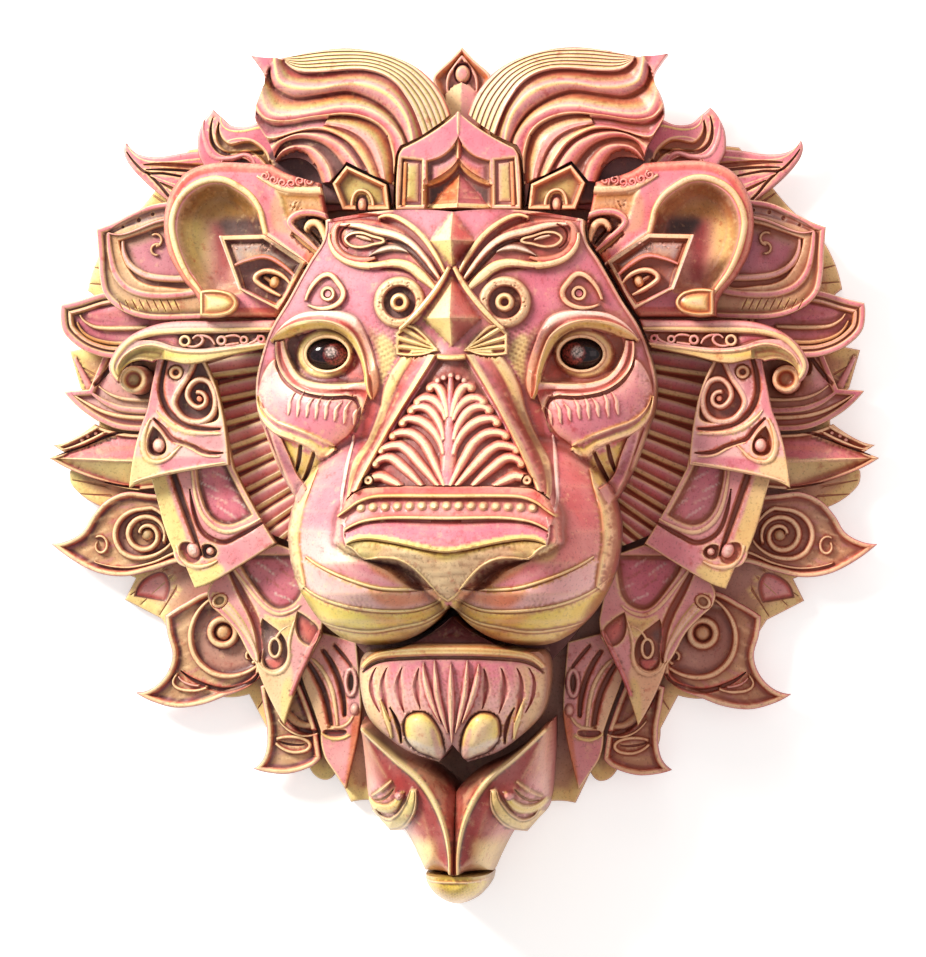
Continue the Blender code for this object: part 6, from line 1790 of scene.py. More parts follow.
def ear_tab():
    outline = outline_of([(255, 178, CORNER), (226, 177), (216, 165), (226, 153), (255, 152, CORNER)])
    back = EAR_FRONT
    forms = [
        rim(outline, [
            (0, 4.5, "ochre"), (0.8, 8, "orange"), (1.8, 10.6, "butter"), (2.8, 11.2, "cream"),
            (3.8, 10.2, "gold"), (5, 9.6, "orange"), (7.5, 10.6, "gold"), (10, 11.4, "butter"),
            (13, 11.8, "cream"),
        ]),
    ]
    build_pair("ear_tab", outline, forms, back, GOLD_PAINTED, 1.8)


# The face

def mound(points, centre, radii, power):
    x = (np.abs(points[:, 0]) - centre[0]) / radii[0]
    v = (points[:, 1] - centre[1]) / radii[1]
    return np.clip(1 - x * x - v * v, 0, 1) ** power


# Height, share of the rise and half width of the muzzle and of the nose
MUZZLE = [
    (-176, 0.00, 110), (-165, 0.50, 120), (-147, 0.76, 140), (-120, 0.95, 156), (-90, 1.00, 165),
    (-60, 0.90, 169), (-40, 0.80, 164), (-16, 0.66, 153), (7, 0.50, 134), (27, 0.28, 124), (44, 0.00, 112),
]
NOSE = [
    (-140, 0.60, 4), (-129, 0.74, 4), (-115, 0.86, 22), (-98, 0.94, 40), (-80, 1.00, 92), (-70, 1.00, 106),
    (-45, 0.96, 103), (-20, 0.88, 89), (30, 0.70, 61), (80, 0.52, 33), (118, 0.43, 12), (178, 0.34, 12),
]
MUZZLE_MIDDLE = 78
FACE_EDGE = 84
MUZZLE_RISE = 84
NOSE_RISE = 92


def face_depth(points):
    """The smooth form of the face, from the wall."""
    x, v = np.abs(points[:, 0]), points[:, 1]
    dome = 36 * mound(points, (0, 130), (206, 210), 1.0)
    cheek = 12 * mound(points, (150, 48), (62, 52), 1.0)
    socket = 14 * mound(points, (126, 112), (54, 34), 1.0)
    skin = FACE_EDGE + dome + cheek - socket
    height, share, half = np.array(MUZZLE).T
    reach = np.where(x > MUZZLE_MIDDLE, np.interp(v, height, half) - MUZZLE_MIDDLE, 90)
    fall = np.sqrt(np.clip(1 - ((x - MUZZLE_MIDDLE) / reach) ** 2, 0, 1))
    lobe = FACE_EDGE + MUZZLE_RISE * np.interp(v, height, share) * fall
    blend = soft_step((lobe - skin) / 24 + 0.5)
    skin = skin * (1 - blend) + lobe * blend
    height, share, half = np.array(NOSE).T
    half = np.interp(v, height, half)
    nose = FACE_EDGE + NOSE_RISE * np.interp(v, height, share) - 5 * (x / np.maximum(half, 20)) ** 2
    side = np.interp(v, [-60, 60], [7, 24])
    part = soft_step((half + side - x) / side) * soft_step((178 - v) / 70) * soft_step((v + 140) / 10)
    return skin + np.maximum(nose - skin, 0) * part


MASK_HALF = [
    (0, 253, CORNER), (60, 255), (127, 246, CORNER), (129, 226), (141, 207), (151, 190), (164, 167),
    (181, 140), (190, 117), (197, 88), (196, 62), (188, 38), (174, 0), (157, -30, CORNER), (162, -54),
    (161, -76), (157, -98), (147, -122), (130, -147), (106, -166), (82, -172), (50, -168), (20, -152),
    (0, -129, CORNER),
]
EYE_AT = (125, 114)
EYE_HALF = 20.4
EYE_SQUASH = 0.74
SOCKET_FLOOR = 89.0


def face_mask():
    outline = whole(MASK_HALF)
    back = board_back(3)

    def skin(points):
        return face_depth(points) - back

    forms = [ground_of(skin, "pink")]

    def two(maker):
        for side in (1, -1):
            forms.append(maker(side))

    def turned(line, side):
        return np.array(line) * [side, 1]

    def band(path, width, section, mode="raise"):
        two(lambda side: stroke(turned(smooth_line(path), side), width, section, mode, skin))

    def field(drawn, section, mode="raise"):
        two(lambda side: panel(turned(outline_of(drawn), side), section, mode, skin))

    def sweep(a, b, section):
        two(lambda side: between(turned(smooth_line(a), side), turned(smooth_line(b), side), section, "raise",
            skin))

    def washed(drawn, paint, amount, soft):
        two(lambda side: wash(turned(outline_of(drawn), side), paint, amount, soft))

    def stud(x, v, section, mode="raise"):
        two(lambda side: boss((side * x, v), section, mode, skin))

    def beam(half, width, section):
        forms.append(stroke(across(half), width, section, "raise", skin))

    # Muzzle: its folds, each a step in the paint and a fine ridge
    fold_1 = [(140, -84), (123.5, -94), (99.5, -104.5), (68, -114), (40, -115.5), (14.5, -112.5)]
    fold_2 = [(157.5, -102), (135.5, -119.5), (107, -130.5), (75, -136), (46.5, -137), (26, -134),
        (7.5, -125)]
    fold_3 = [(130, -148), (107.5, -154.5), (77, -157.5), (48, -153), (24.5, -147.5), (3, -133)]
    washed([(42.5, 19), (135, 29), (177.5, -58.5), (172.5, -107.5), (79.5, -117), (12.5, -116), (11, -57.5)],
        "rose", 0.35, 14)
    washed([(95.5, -67), (130.5, -48), (169.5, -68.5), (165.5, -103.5), (98.5, -107.5), (41.5, -118),
        (40.5, -96), (79, -91)], "shell", 0.8, 22)
    # Painted shade: coral and red patches only on the half at +X, away from the key light
    shaded_right_cheek = [(60, 15), (125, 20), (168, -55), (165, -100), (95, -106), (42, -116), (42, -90), (80, -60)]
    forms.append(patch(shaded_right_cheek, "coral", 0.62, 20))
    forms.append(patch([(70, 5), (110, 10), (140, -40), (120, -80), (90, -60)], "red", 0.3, 18))
    washed(fold_1 + fold_2[::-1], "shell", 0.75, 3)
    washed([(8, -111), (32.5, -114.5), (80, -114), (62, -136.5), (26, -134), (3, -124)], "orange", 0.9, 9)
    washed(fold_2 + fold_3[::-1], "yellow", 1.0, 2)
    washed([(3.5, -125), (43, -137.5), (84, -136.5), (64, -156), (25, -148), (1, -133)], "orange", 0.7, 12)
    lower = [(0, -140), (20, -165), (60, -185), (120, -180), (150, -160)]
    washed(fold_3 + lower, "yellow", 0.9, 2)
    washed([(0, -128), (24, -146), (66, -160), (80, -185), (20, -185), (0, -150)], "orange", 0.65, 10)
    for path in (fold_1, fold_2, fold_3):
        band(path, [0.8, 1.4, 1.6, 1.4, 0.8], [(0, 0.9, "cream"), (0.5, 0.7, "butter"), (1, 0, "gold")],
            "add")
        band([(x, v - 2.2) for x, v in path], [0.6, 1.1, 1.3, 1.1, 0.6], [(0, -0.8, "ochre"), (1, 0, "gold")],
            "cut")
    # Rim of the muzzle, and the pale line beside the nose
    sweep([(137, 5), (141, -15), (153.5, -30.5), (160.5, -53), (161.5, -73), (156, -94), (149.5, -118.5)],
        [(133.5, 0), (140, -23.5), (144.5, -38.5), (147, -58), (147, -72.5), (144.5, -89), (141, -112)],
        [(0, 0.4, "cream"), (0.35, 1.6, "cream"), (0.7, 1.9, "butter"), (0.9, 1.2, "orange"), (1, 0, "gold")])
    band([(98, 33), (101.5, 9.5), (103.5, -9.5), (105, -29), (102.5, -42)], [1.6, 2.4, 2.4, 2.2, 1.6],
        [(0, 2, "white"), (0.6, 1.6, "shell"), (1, 0, "pink")], "add")
    washed([(72, 70), (84, 72), (89, 48.5), (94.5, 19.5), (99, -5), (102, -27), (98.5, -25), (94.5, -7.5),
        (83.5, 31), (73.5, 58.5)], "coral", 0.85, 3)
    # Chisel marks
    for lean, low in ((1.0, 0), (-0.8, 1)):
        forms.append(hatched(
            lambda p, low=low: np.clip(1 - np.abs(np.abs(p[:, 0]) - 84 - 6 * low) / 22, 0, 1)
            * np.clip(1 - np.abs(p[:, 1] + 127 + 3 * low) / 12, 0, 1),
            lambda p, lean=lean: (np.abs(p[:, 0]) + lean * p[:, 1]) / 5.0, 0.9))
    forms.append(hatched(
        lambda p: np.clip(1 - np.abs(np.abs(p[:, 0]) - 104) / 18, 0, 1)
        * np.clip(1 - np.abs(p[:, 1] + 95) / 20, 0, 1),
        lambda p: (np.abs(p[:, 0]) - 0.4 * p[:, 1]) / 3.6, 0.5))
    # Edge of the mask
    band(MASK_HALF[1:13], [3.0, 3.0], [(0, 1.2, "cream"), (0.6, 1.0, "blush"), (1, 0, "pink")], "add")

    # Wing brows: a band that curls round a lens, in ridges that run down to the diamond
    washed([(123.5, 234), (120.5, 220), (110, 208.5), (86, 202), (46.5, 202), (15, 178.5), (5.5, 194),
        (22.5, 225.5), (51.5, 247), (77, 251), (115, 245.5)], "coral", 0.7, 3)
    band([(111, 242.5), (117.5, 237), (117.5, 222), (109, 211), (94, 206), (76.5, 208)],
        [3, 4.4, 4.8, 4.6, 4, 2], [(0, 3.4, "coral"), (0.5, 3.2, "coral"), (1, 0, "red")])
    band([(119, 246), (92, 248.5), (69, 245.5), (49.5, 237.5), (34.5, 225.5), (21.5, 208.5), (11.5, 191)],
        [3, 4, 4.6, 4.6, 4.2, 3.6, 2], [(0, -2.6, "red"), (0.5, -2.4, "coral"), (1, 0, "coral")], "cut")
    band([(73, 247.5), (61.5, 249.5), (45.5, 242), (29.5, 228.5), (16.5, 210.5), (7.5, 194)],
        [1.6, 2.8, 3.2, 3.2, 3.0, 1.8], [(0, 4.6, "cream"), (0.5, 4.2, "butter"), (1, 0.6, "rose")])
    band([(110.5, 241), (92, 239.5), (75, 234.5), (55, 229.5), (41, 221.5), (28, 208), (12.5, 187.5)],
        [1.8, 3.6, 4.4, 4.4, 4.2, 3.6, 1.6], [(0, 5.2, "white"), (0.5, 4.8, "cream"), (0.75, 3.4, "blush"),
        (1, 0, "maroon")])
    band([(66.5, 224.5), (53, 222.5), (42, 215.5), (31, 204), (15.5, 185.5)], [1.6, 3, 3.6, 3.4, 1.6],
        [(0, -3.4, "deep"), (0.5, -3, "maroon"), (1, 0, "coral")], "cut")
    band([(122.5, 232), (120.5, 220), (112, 209), (98, 202.5), (78, 200), (56.5, 202.5), (42, 199), (29, 189),
        (17, 177.5)], [1.4, 3, 3.6, 4, 4.2, 4.6, 5.4, 5.4, 3], [(0, 5.0, "cream"), (0.5, 4.6, "cream"),
        (0.75, 3, "butter"), (1, -1, "maroon")])
    band([(81.5, 210), (68.5, 216), (57, 217.5), (44, 213.5)], [0.8, 3.6, 4, 1], [(0, 4.4, "white"),
        (0.4, 4.0, "grey"), (1, 0.4, "maroon")])
    lens = [(108.5, 227), (102.5, 233.5), (91.5, 235), (79.5, 231.5), (65.5, 224.5), (78.5, 219),
        (91.5, 216.5), (102.5, 219)]
    field(lens, [(0, 0.2, "maroon"), (1.4, 3.8, "cream"), (2.8, 3.9, "cream"), (4, 0.6, "red"),
        (7, 0.4, "coral")], "put")
    band([(94.5, 229.5), (86.5, 227.5), (80.5, 225.5)], [1.4, 2.4, 1.2], [(0, 4.0, "white"),
        (0.6, 3.2, "sand"), (1, 0.4, "red")])
    band([(102.5, 240.5), (110.5, 234), (110.5, 225), (104.5, 218)], [1, 2, 2, 1],
        [(0, -2.6, "wine"), (1, 0, "coral")], "cut")
    band([(81, 197), (60.5, 197), (44.5, 193), (35, 185.5)], [0.8, 2.2, 2.4, 1],
        [(0, -1.6, "wine"), (1, 0, "rose")], "cut")

    # Temple loop with its ring
    band([(145.5, 167.5), (136, 185), (123, 192), (112.5, 183), (107.5, 173), (112.5, 163.5), (126.5, 158.5),
        (141.5, 161.5)], [1.6, 2.6, 3.2, 3.4, 3.4, 3.2, 2.6, 1.4], [(0, 4.2, "cream"), (0.5, 3.8, "cream"),
        (0.8, 1.6, "coral"), (1, 0, "maroon")])
    stud(123.5, 173, [
        (0, 1.2, "pink"), (3, 1.4, "pink"), (4, 0.2, "maroon"), (4.8, 3.2, "cream"), (6.6, 3.4, "cream"),
        (8, 0, "rose"),
    ], "put")

    # Ring bosses on the forehead
    ring_x, ring_v, pricks = 51.6, 164, 46
    stud(ring_x, ring_v, [
        (0, -3.4, "mauve"), (3.4, -2.6, "mauve"), (4.4, 3.8, "gold"), (5.8, 5.2, "butter"),
        (7.6, 5.0, "cream"), (8.8, 3.4, "ochre"), (10, -3.2, "deep"), (15.2, -3.4, "maroon"),
        (16.6, 2.4, "coral"), (17.6, 4.0, "cream"), (20.4, 4.3, "sand"), (22.6, 3.9, "cream"),
        (24.4, 2.4, "sand"), (26, 0, "rose"),
    ], "put")
    for k in range(pricks):
        angle = 2 * math.pi * k / pricks + 0.4 * math.sin(9.0 * k)
        radius = 19.6 + 1.9 * math.sin(5.3 * k)
        stud(ring_x + radius * math.cos(angle), ring_v + radius * math.sin(angle),
            [(0, -0.8, "ochre"), (1.2, 0, "sand")], "cut")

    # Hatched hollow between brow and nose
    washed([(93.5, 147.5), (81.5, 142), (64, 124), (56, 105), (64, 89.5), (72, 74), (74, 97), (81, 124.5)],
        "ochre", 0.75, 5)
    washed([(73.5, 134), (58, 128), (52, 108.5), (64, 89.5), (70, 81.5), (73, 107)], "butter", 0.85, 5)
    forms.append(hatched(
        lambda p: np.clip((np.abs(p[:, 0]) - 50) / 6, 0, 1) * np.clip((86 - np.abs(p[:, 0])) / 6, 0, 1)
        * np.clip((p[:, 1] - 78) / 12, 0, 1) * np.clip((146 - p[:, 1]) / 12, 0, 1),
        lambda p: (p[:, 1] - 0.35 * np.abs(p[:, 0])) / 3.6, 1.1))

    # Lids and brow
    brow_top = [(181, 128), (173, 139.5), (163.5, 148), (150.5, 154.5), (135.5, 157), (120.5, 157.5),
        (105.5, 155.5), (93.5, 149.5), (86.5, 139), (81, 126.5), (76, 111.5), (72.5, 95), (72, 81.5),
        (77, 70)]
    brow_crest = [(181, 128), (171, 137), (155.5, 144), (135.5, 146.5), (120.5, 145), (106, 139), (96, 130.5),
        (90.5, 119.5), (86.5, 107), (83.5, 92.5), (82, 79.5), (78.5, 70)]
    brow_foot = [(178, 127), (166, 129), (151, 134.5), (136, 138), (121, 137.5), (108.5, 131.5), (99.5, 122),
        (92.5, 109), (88, 95.5), (86, 81.5), (81, 70)]
    sweep(brow_top, brow_crest, [(0, 0, "blush"), (0.18, 3.6, "white"), (0.5, 5.2, "shell"),
        (0.72, 4.6, "coral"), (0.85, 5.2, "coral"), (1, 8.6, "cream")])
    washed([(87.5, 145.5), (80, 124.5), (72, 97), (70, 81.5), (78, 69), (83, 87.5), (86.5, 109), (93, 128.5)],
        "orange", 0.75, 2)
    washed([(92.5, 148.5), (81.5, 136), (79, 116.5), (83.5, 113), (89, 130.5), (95.5, 140)], "mauve", 0.8, 2)
    socket_in = [(166, 128), (151, 134.5), (136, 138), (121, 137.5), (108.5, 131.5), (99.5, 122), (92.5, 109),
        (88, 95.5), (87, 86.5), (104, 85.5), (121, 85), (138, 87), (152.5, 93.5), (163, 109.5)]
    field(socket_in, [(0, 1, "maroon"), (1.6, -3.4, "maroon"), (6, -3.0, "wine"), (14, -2, "mauve")], "sink")
    # Painted shadow under the brow at the outer corner of the eye
    washed([(167, 128), (146, 135.5), (155, 117.5), (153, 103.5), (136, 87.5), (152, 92.5), (164, 107.5)],
        "deep", 0.75, 4)
    washed([(153, 101.5), (136, 88.5), (114, 86.5), (127, 94.5), (145, 101.5)], "mauve", 0.8, 4)
    washed([(108.5, 130.5), (94.5, 115), (87, 89.5), (104, 87.5), (103, 101.5), (99, 115)], "coral", 0.95, 3)
    apple = circle((EYE_AT[0] + 2.5, EYE_AT[1]), EYE_HALF + 9.6, 0.83)
    two(lambda side: panel(turned(apple, side), [
        (0, -2.4, "mauve"), (1.6, -0.4, "sand"), (4, 2.4, "butter"), (7, 4.2, "cream"), (12, 5.0, "cream"),
    ], "put", skin))
    for ball, paint, amount, soft in (
        (circle((139, 121), 14, 0.9), "moss", 0.5, 6), (circle((102, 104), 13, 1.1), "coral", 0.75, 5),
    ):
        two(lambda side: wash(turned(ball, side), paint, amount, soft))
    two(lambda side: loop_of(turned(circle(EYE_AT, EYE_HALF + 1.9, 0.755), side), 2.1, [(0, 6.0, "cream"),
        (0.5, 5.7, "cream"), (1, 4.2, "sand")], "put", skin))
    hole = circle(EYE_AT, EYE_HALF + 0.5, EYE_SQUASH)
    seat = SOCKET_FLOOR - back
    two(lambda side: panel(turned(hole, side), [(0, seat + 3.4, "cream"), (0.7, seat, "deep"),
        (30, seat, "deep")], "put"))
    sweep(brow_crest, brow_foot, [(0, 8.6, "cream"), (0.22, 8.2, "butter"), (0.4, 6.6, "yellow"),
        (0.8, 4.4, "butter"), (1, -1, "gold")])
    lid_in = [(168, 127), (163, 109.5), (152.5, 93.5), (138, 87), (121, 85), (104, 85.5), (86, 86.5)]
    lid_mid = [(172, 126), (169, 105.5), (157.5, 88.5), (143, 80.5), (120, 77.5), (103.5, 77.5), (90, 77.5),
        (83, 75)]
    lid_out = [(177, 126), (175, 103.5), (165.5, 88.5), (150.5, 78), (134.5, 73.5), (120, 72), (103.5, 72.5),
        (95, 69), (91, 60.5), (92, 48.5), (96, 37)]
    sweep(lid_in, lid_mid, [(0, 0.4, "maroon"), (0.16, 5.0, "cream"), (0.4, 5.4, "shell"),
        (0.75, 5.2, "blush"), (0.9, 4.0, "coral"), (1, 3.2, "coral")])
    sweep(lid_mid, lid_out, [(0, 3.2, "coral"), (0.4, 2.8, "coral"), (0.62, 4.4, "blush"),
        (0.9, 4.6, "cream"), (1, 0.5, "maroon")])

    # Cheek plates: flames on pink, over a thick lip
    plate = [(178, 109.5), (189.5, 96), (195, 78), (195.5, 64.5), (190, 49), (179, 36), (160.5, 27.5),
        (145.5, 22.5), (134, 15.5), (129.5, 9), (114, 25.5), (103, 34), (96.5, 43), (93, 56.5), (95, 66),
        (103.5, 70), (120, 69), (134.5, 71), (150.5, 75), (166.5, 86), (176, 101.5)]
    field(plate, [(0, 0.2, "coral"), (1.2, 2.8, "blush"), (6, 3.6, "blush"), (14, 4.0, "pink")])
    washed([(198, 100), (196, 66), (184, 44), (160, 40), (156, 74), (176, 96)], "shell", 0.35, 12)
    for k in range(8):
        u = 184 - 10.0 * k
        low = 48 - 0.05 * (u - 110) - 2.0 * (k > 5)
        tall = 22 - 0.5 * k + 3 * math.sin(2.3 * k)
        foot = np.array([0.93 * u - 9, low + 0.16 * (u - 120)])
        flame = [foot, foot + [-1, 0.3 * tall], foot + [-1.5, 0.6 * tall], foot + [-7, tall]]
        band(flame, [1.2, 2.6, 2.0, 0.5], [(0, 1.3, "cream"), (0.5, 1.0, "shell"), (1, 0, "rose")], "add")
    lip_top = [(193.5, 72.5), (186.5, 58.5), (175, 49.5), (155, 42), (135, 34), (117, 24.5)]
    lip_low = [(196, 72.5), (192, 51), (179, 36), (158.5, 27.5), (142.5, 20.5), (131.5, 10.5), (117, 18.5)]
    sweep(lip_top, lip_low, [(0, 4.6, "gold"), (0.12, 5.4, "cream"), (0.28, 3.2, "ochre"),
        (0.42, 3.6, "yellow"), (0.62, 5.2, "butter"), (0.85, 6.2, "cream"), (1, 1, "shell")])

    # Strap and slats below the cheek
    washed([(171.5, 29.5), (151, 19.5), (132.5, 10), (135.5, -2), (142, -15.5), (156, -6), (165, 8)],
        "yellow", 0.9, 2)
    for path in ([(151.5, 23.5), (153.5, 11.5), (157.5, 0)], [(138, 16.5), (144, 2), (151, -11.5)]):
        band(path, [2.2, 2.8, 2.2], [(0, -6, "deep"), (0.6, -5.4, "maroon"), (0.85, -1, "gold"),
            (1, 0, "butter")], "cut")
    sweep([(184, 41), (178.5, 21.5), (169.5, -4), (154, -35)], [(169.5, 30), (162.5, 13.5), (156, -4),
        (143, -17.5)], [(0, 0.6, "cream"), (0.12, 2.8, "blush"), (0.3, 2.4, "mauve"), (0.8, 2.4, "mauve"),
        (0.92, 2.8, "coral"), (1, 0, "maroon")])

    # Nose: bars, panel between them and the block below
    bar_out = [(50.5, 111.5), (66.5, 84.5), (72.5, 60), (84, 31.5), (97, 8.5), (100, -18), (98.5, -29)]
    bar_crest = [(18, 112.5), (32, 89), (49, 60), (67, 29), (81, 0), (88.5, -17.5), (90, -29)]
    bar_in = [(12.5, 111.5), (27, 88), (44.5, 60), (61.5, 28.5), (76, 0), (84.5, -17.5), (87, -29)]
    field([(50, 112.5), (17, 112.5), (12.5, 106.5), (44.5, 60), (62.5, 28), (83.5, -17.5), (100.5, -38.5),
        (101, -19.5), (96, 8.5), (82.5, 33), (71, 61), (65, 85.5)], [(0, 0, "pink"), (3, 0.6, "pink")],
        "raise")
    sweep(bar_out, bar_crest, [(0, -0.5, "coral"), (0.1, 3.4, "cream"), (0.36, 4.8, "butter"),
        (0.46, 3.8, "coral"), (0.6, 5.2, "coral"), (0.85, 6.6, "pink"), (0.93, 7.6, "cream"),
        (1, 8.0, "cream")])
    triangle = np.array([(12, 110), (88, -16.5), (-88, -16.5), (-12, 110)], float)
    forms.append(panel(resampled_ring(triangle), [(0, -1, "maroon"), (2, -3.2, "maroon"), (8, -3.2, "red"),
        (30, -2.8, "red")], "sink", skin))
    sweep(bar_crest, bar_in, [(0, 8.0, "cream"), (0.35, 7.6, "butter"), (0.7, 3, "coral"), (1, -3.2, "deep")])
    beam([(0, 109.5), (12.5, 110.5)], [3.6, 3.6], [(0, 4.4, "butter"), (0.5, 4.0, "gold"), (1, -2, "maroon")])
    forms.append(trace([(0, 90), (0, 60), (0, 30), (0, -16)], [3, 4.6, 8.4, 9.6], [
        (0, 2.8, "pink"), (0.5, 2.2, "rose"), (0.8, 0.2, "coral"), (1, -3, "red")], "raise", skin))
    top = 3.6
    fingers = [
        [(2, 52), (7, 72), (13, 81), (20, 81)],
        [(4, 50), (11, 64), (22, 70), (32, 67)],
        [(5, 30), (12, 50), (24, 61), (38, 59)],
        [(5, 16), (12, 34), (25, 46), (39, 50), (46, 47)],
        [(3, -15), (17, 14), (26, 28), (39, 36), (55, 34)],
        [(9, -15), (31, 10), (41, 20), (50, 24), (66, 20)],
        [(25, -15), (44, 3), (58, 12), (71, 7)],
        [(46, -15), (58, -9), (66, -6), (76, -9)],
    ]
    for path in fingers:
        band(path, [3.4, 5.2, 6.0, 5.8, 4.8], [
            (0, top, "cream"), (0.24, top - 0.1, "cream"), (0.42, top - 0.9, "blush"),
            (0.64, top - 2.2, "coral"), (0.85, top - 4.6, "coral"), (1, -3, "red"),
        ])
        tip_x, tip_v = path[-1]
        stud(tip_x, tip_v - 1, [(0, 4.4, "cream"), (2.4, 3.8, "sand"), (4.2, 1, "coral"), (5, -3, "maroon")])
    stud(77, -10, [(0, -1, "maroon"), (1.6, 3.4, "sand"), (3.6, 3.8, "cream"), (5.4, -3, "maroon")], "put")
    for x, v in ((0, 92), (7, 90), (13, 87)):
        stud(x, v, [(0, 3.4, "cream"), (1.8, 3.0, "blush"), (3.4, -2, "red")])

    def stripe(a, b, section):
        forms.append(between(across(a), across(b), section, "put", skin))

    strip_top = [(0, -15.5), (41, -15.5), (70, -16.5), (83.5, -18), (98.5, -29)]
    line_1 = [(0, -25), (60, -25), (74.5, -26.5), (87, -31.5), (96.5, -38.5), (105.5, -44.5)]
    line_2 = [(0, -46.5), (49.5, -46), (69, -47.5), (83.5, -50.5), (97.5, -57.5)]
    lip_1 = [(0, -75.5), (20.5, -72.5), (39.5, -68.5), (59, -64.5), (73.5, -63), (88, -64.5), (96.5, -70)]
    lip_2 = [(0, -80), (20.5, -77.5), (39.5, -73.5), (59, -70), (78, -68), (96.5, -72)]
    foot = [(0, -126.5), (2.5, -125), (8, -121), (14.5, -113), (21.5, -104.5), (31, -95), (40, -89),
        (49.5, -85.5), (64, -84.5), (77, -86), (82.5, -83.5), (88, -77.5), (96.5, -72.5)]
    stripe(strip_top, line_1, [(0, -2.5, "maroon"), (0.1, 2.6, "coral"), (0.8, 3, "coral"), (1, 4, "coral")])
    stripe(line_1, line_2, [(0, 3, "red"), (0.12, 1.4, "coral"), (0.6, 1.8, "blush"), (0.9, 2.6, "coral"),
        (1, 4, "cream")])
    stripe(line_2, lip_1, [(0, 3, "red"), (0.07, -0.6, "red"), (0.16, 0.2, "coral"), (0.3, 1.6, "pink"),
        (0.75, 3.2, "pink"), (1, 4, "pink")])
    stripe(lip_1, lip_2, [(0, 4, "butter"), (0.5, 4.6, "yellow"), (0.8, 3.4, "gold"), (1, 0.5, "deep")])
    stripe(lip_2, foot, [(0, -0.5, "gold"), (0.08, 1.2, "yellow"), (0.3, 1.8, "cream"), (0.8, 1.7, "cream"),
        (1, 2.6, "cream")])
    nose_foot = np.vstack([across(lip_2), across(foot)[::-1]])
    forms.append(hatched(lambda p: is_inside(p, nose_foot) * np.clip((84 - np.abs(p[:, 0])) / 10, 0, 1),
        lambda p: (p[:, 1] + 0.5 * np.sin(p[:, 0] / 9)) / 2.9, 0.45))
    washed([(60, -70), (108, -70), (104, -88), (80, -90), (66, -86)], "butter", 0.8, 6)
    forms.append(hatched(lambda p: np.clip((p[:, 1] + 80) / 3, 0, 1)
        * np.clip((-60 - p[:, 1] - 0.0006 * p[:, 0] ** 2) / 10, 0, 1) * (np.abs(p[:, 0]) < 100),
        lambda p: (p[:, 0] + 0.3 * p[:, 1]) / 2.7, 0.6))
    beam(line_1, [1.4, 2.4, 2.6, 2.6, 2.4, 1.4], [(0, 6.2, "butter"), (0.5, 5.6, "gold"), (1, 1.2, "ochre")])
    beam(line_2, [1.2, 1.9, 1.9, 1.9, 1.2], [(0, 4.6, "cream"), (0.5, 4.2, "butter"), (1, 1, "red")])
    beam(foot, [1.2, 1.2], [(0, 3.4, "cream"), (0.6, 3.0, "butter"), (1, 0.8, "ochre")])
    for k in range(-7, 8):
        forms.append(boss((11.9 * k, -34.5 - 0.04 * k * k), [(0, 4.8, "butter"), (2, 4.4, "cream"),
            (3.6, 3.0, "sand"), (5, 1.2, "coral")], "raise", skin))
    band([(97, -46), (99, -59.5), (96.5, -72.5)], [1.4, 1.8, 1.4], [(0, 2.4, "shell"), (1, 0, "rose")],
        "raise")
    # Nostrils
    field([(80, -87, CORNER), (64, -86.5), (49.5, -87.5), (40.5, -91.5), (31, -97.5), (22, -107.5),
        (13.5, -115, CORNER), (25.5, -117), (37, -114), (47, -106.5), (56.5, -98.5), (67.5, -93)],
        [(0, -0.6, "maroon"), (1.6, -5, "maroon"), (5, -11, "deep"), (9, -14, "deep")], "put")
    washed([(16, -114), (34, -117), (60, -108), (78, -92), (62, -90), (46.5, -95), (33.5, -103.5)], "orange",
        0.9, 6)

    # Fans beside the lower diamond, and the diamonds with their frame
    fan_edge = [(13, 117.5, CORNER), (30.5, 111), (55, 112.5, CORNER), (55, 134, CORNER), (45, 143, CORNER),
        (32.5, 138.5)]
    field(fan_edge, [(0, 0, "cream"), (1.3, 4.4, "cream"), (2.6, 4.2, "butter"), (4, 1.2, "coral"),
        (9, 1.8, "sand")], "put")
    for tip in ([(46, 137.5), (14, 118)], [(52, 129), (14, 117.5)], [(53, 120.5), (14, 116.5)],
            [(38.5, 115), (15, 116.5)]):
        band(tip, [3.2, 2.4, 0.8], [(0, 4.4, "cream"), (0.5, 3.8, "butter"), (1, 0.4, "red")])
    # Painted light and shade: on each diamond the facets at the left are paler, those at the right darker,
    # darkest at the lower right
    facets = ("cream", "coral", "red", "butter")
    forms.append(diamond((0, 224), wide=23, tall=30, low=27, rise=18, ground=skin, paints=facets))
    band([(3, 197), (14, 178), (28, 160), (42, 145), (50, 138)], [2.6, 3.6, 3.8, 3.8, 2.4],
        [(0, 8.4, "cream"), (0.5, 7.8, "butter"), (0.8, 4, "coral"), (1, -1, "maroon")])
    forms.append(diamond((0, 148), wide=29, tall=44, low=28, rise=20, ground=skin, paints=facets))
    build_one("face_mask", outline, forms, back, PAINTED, 2.5)


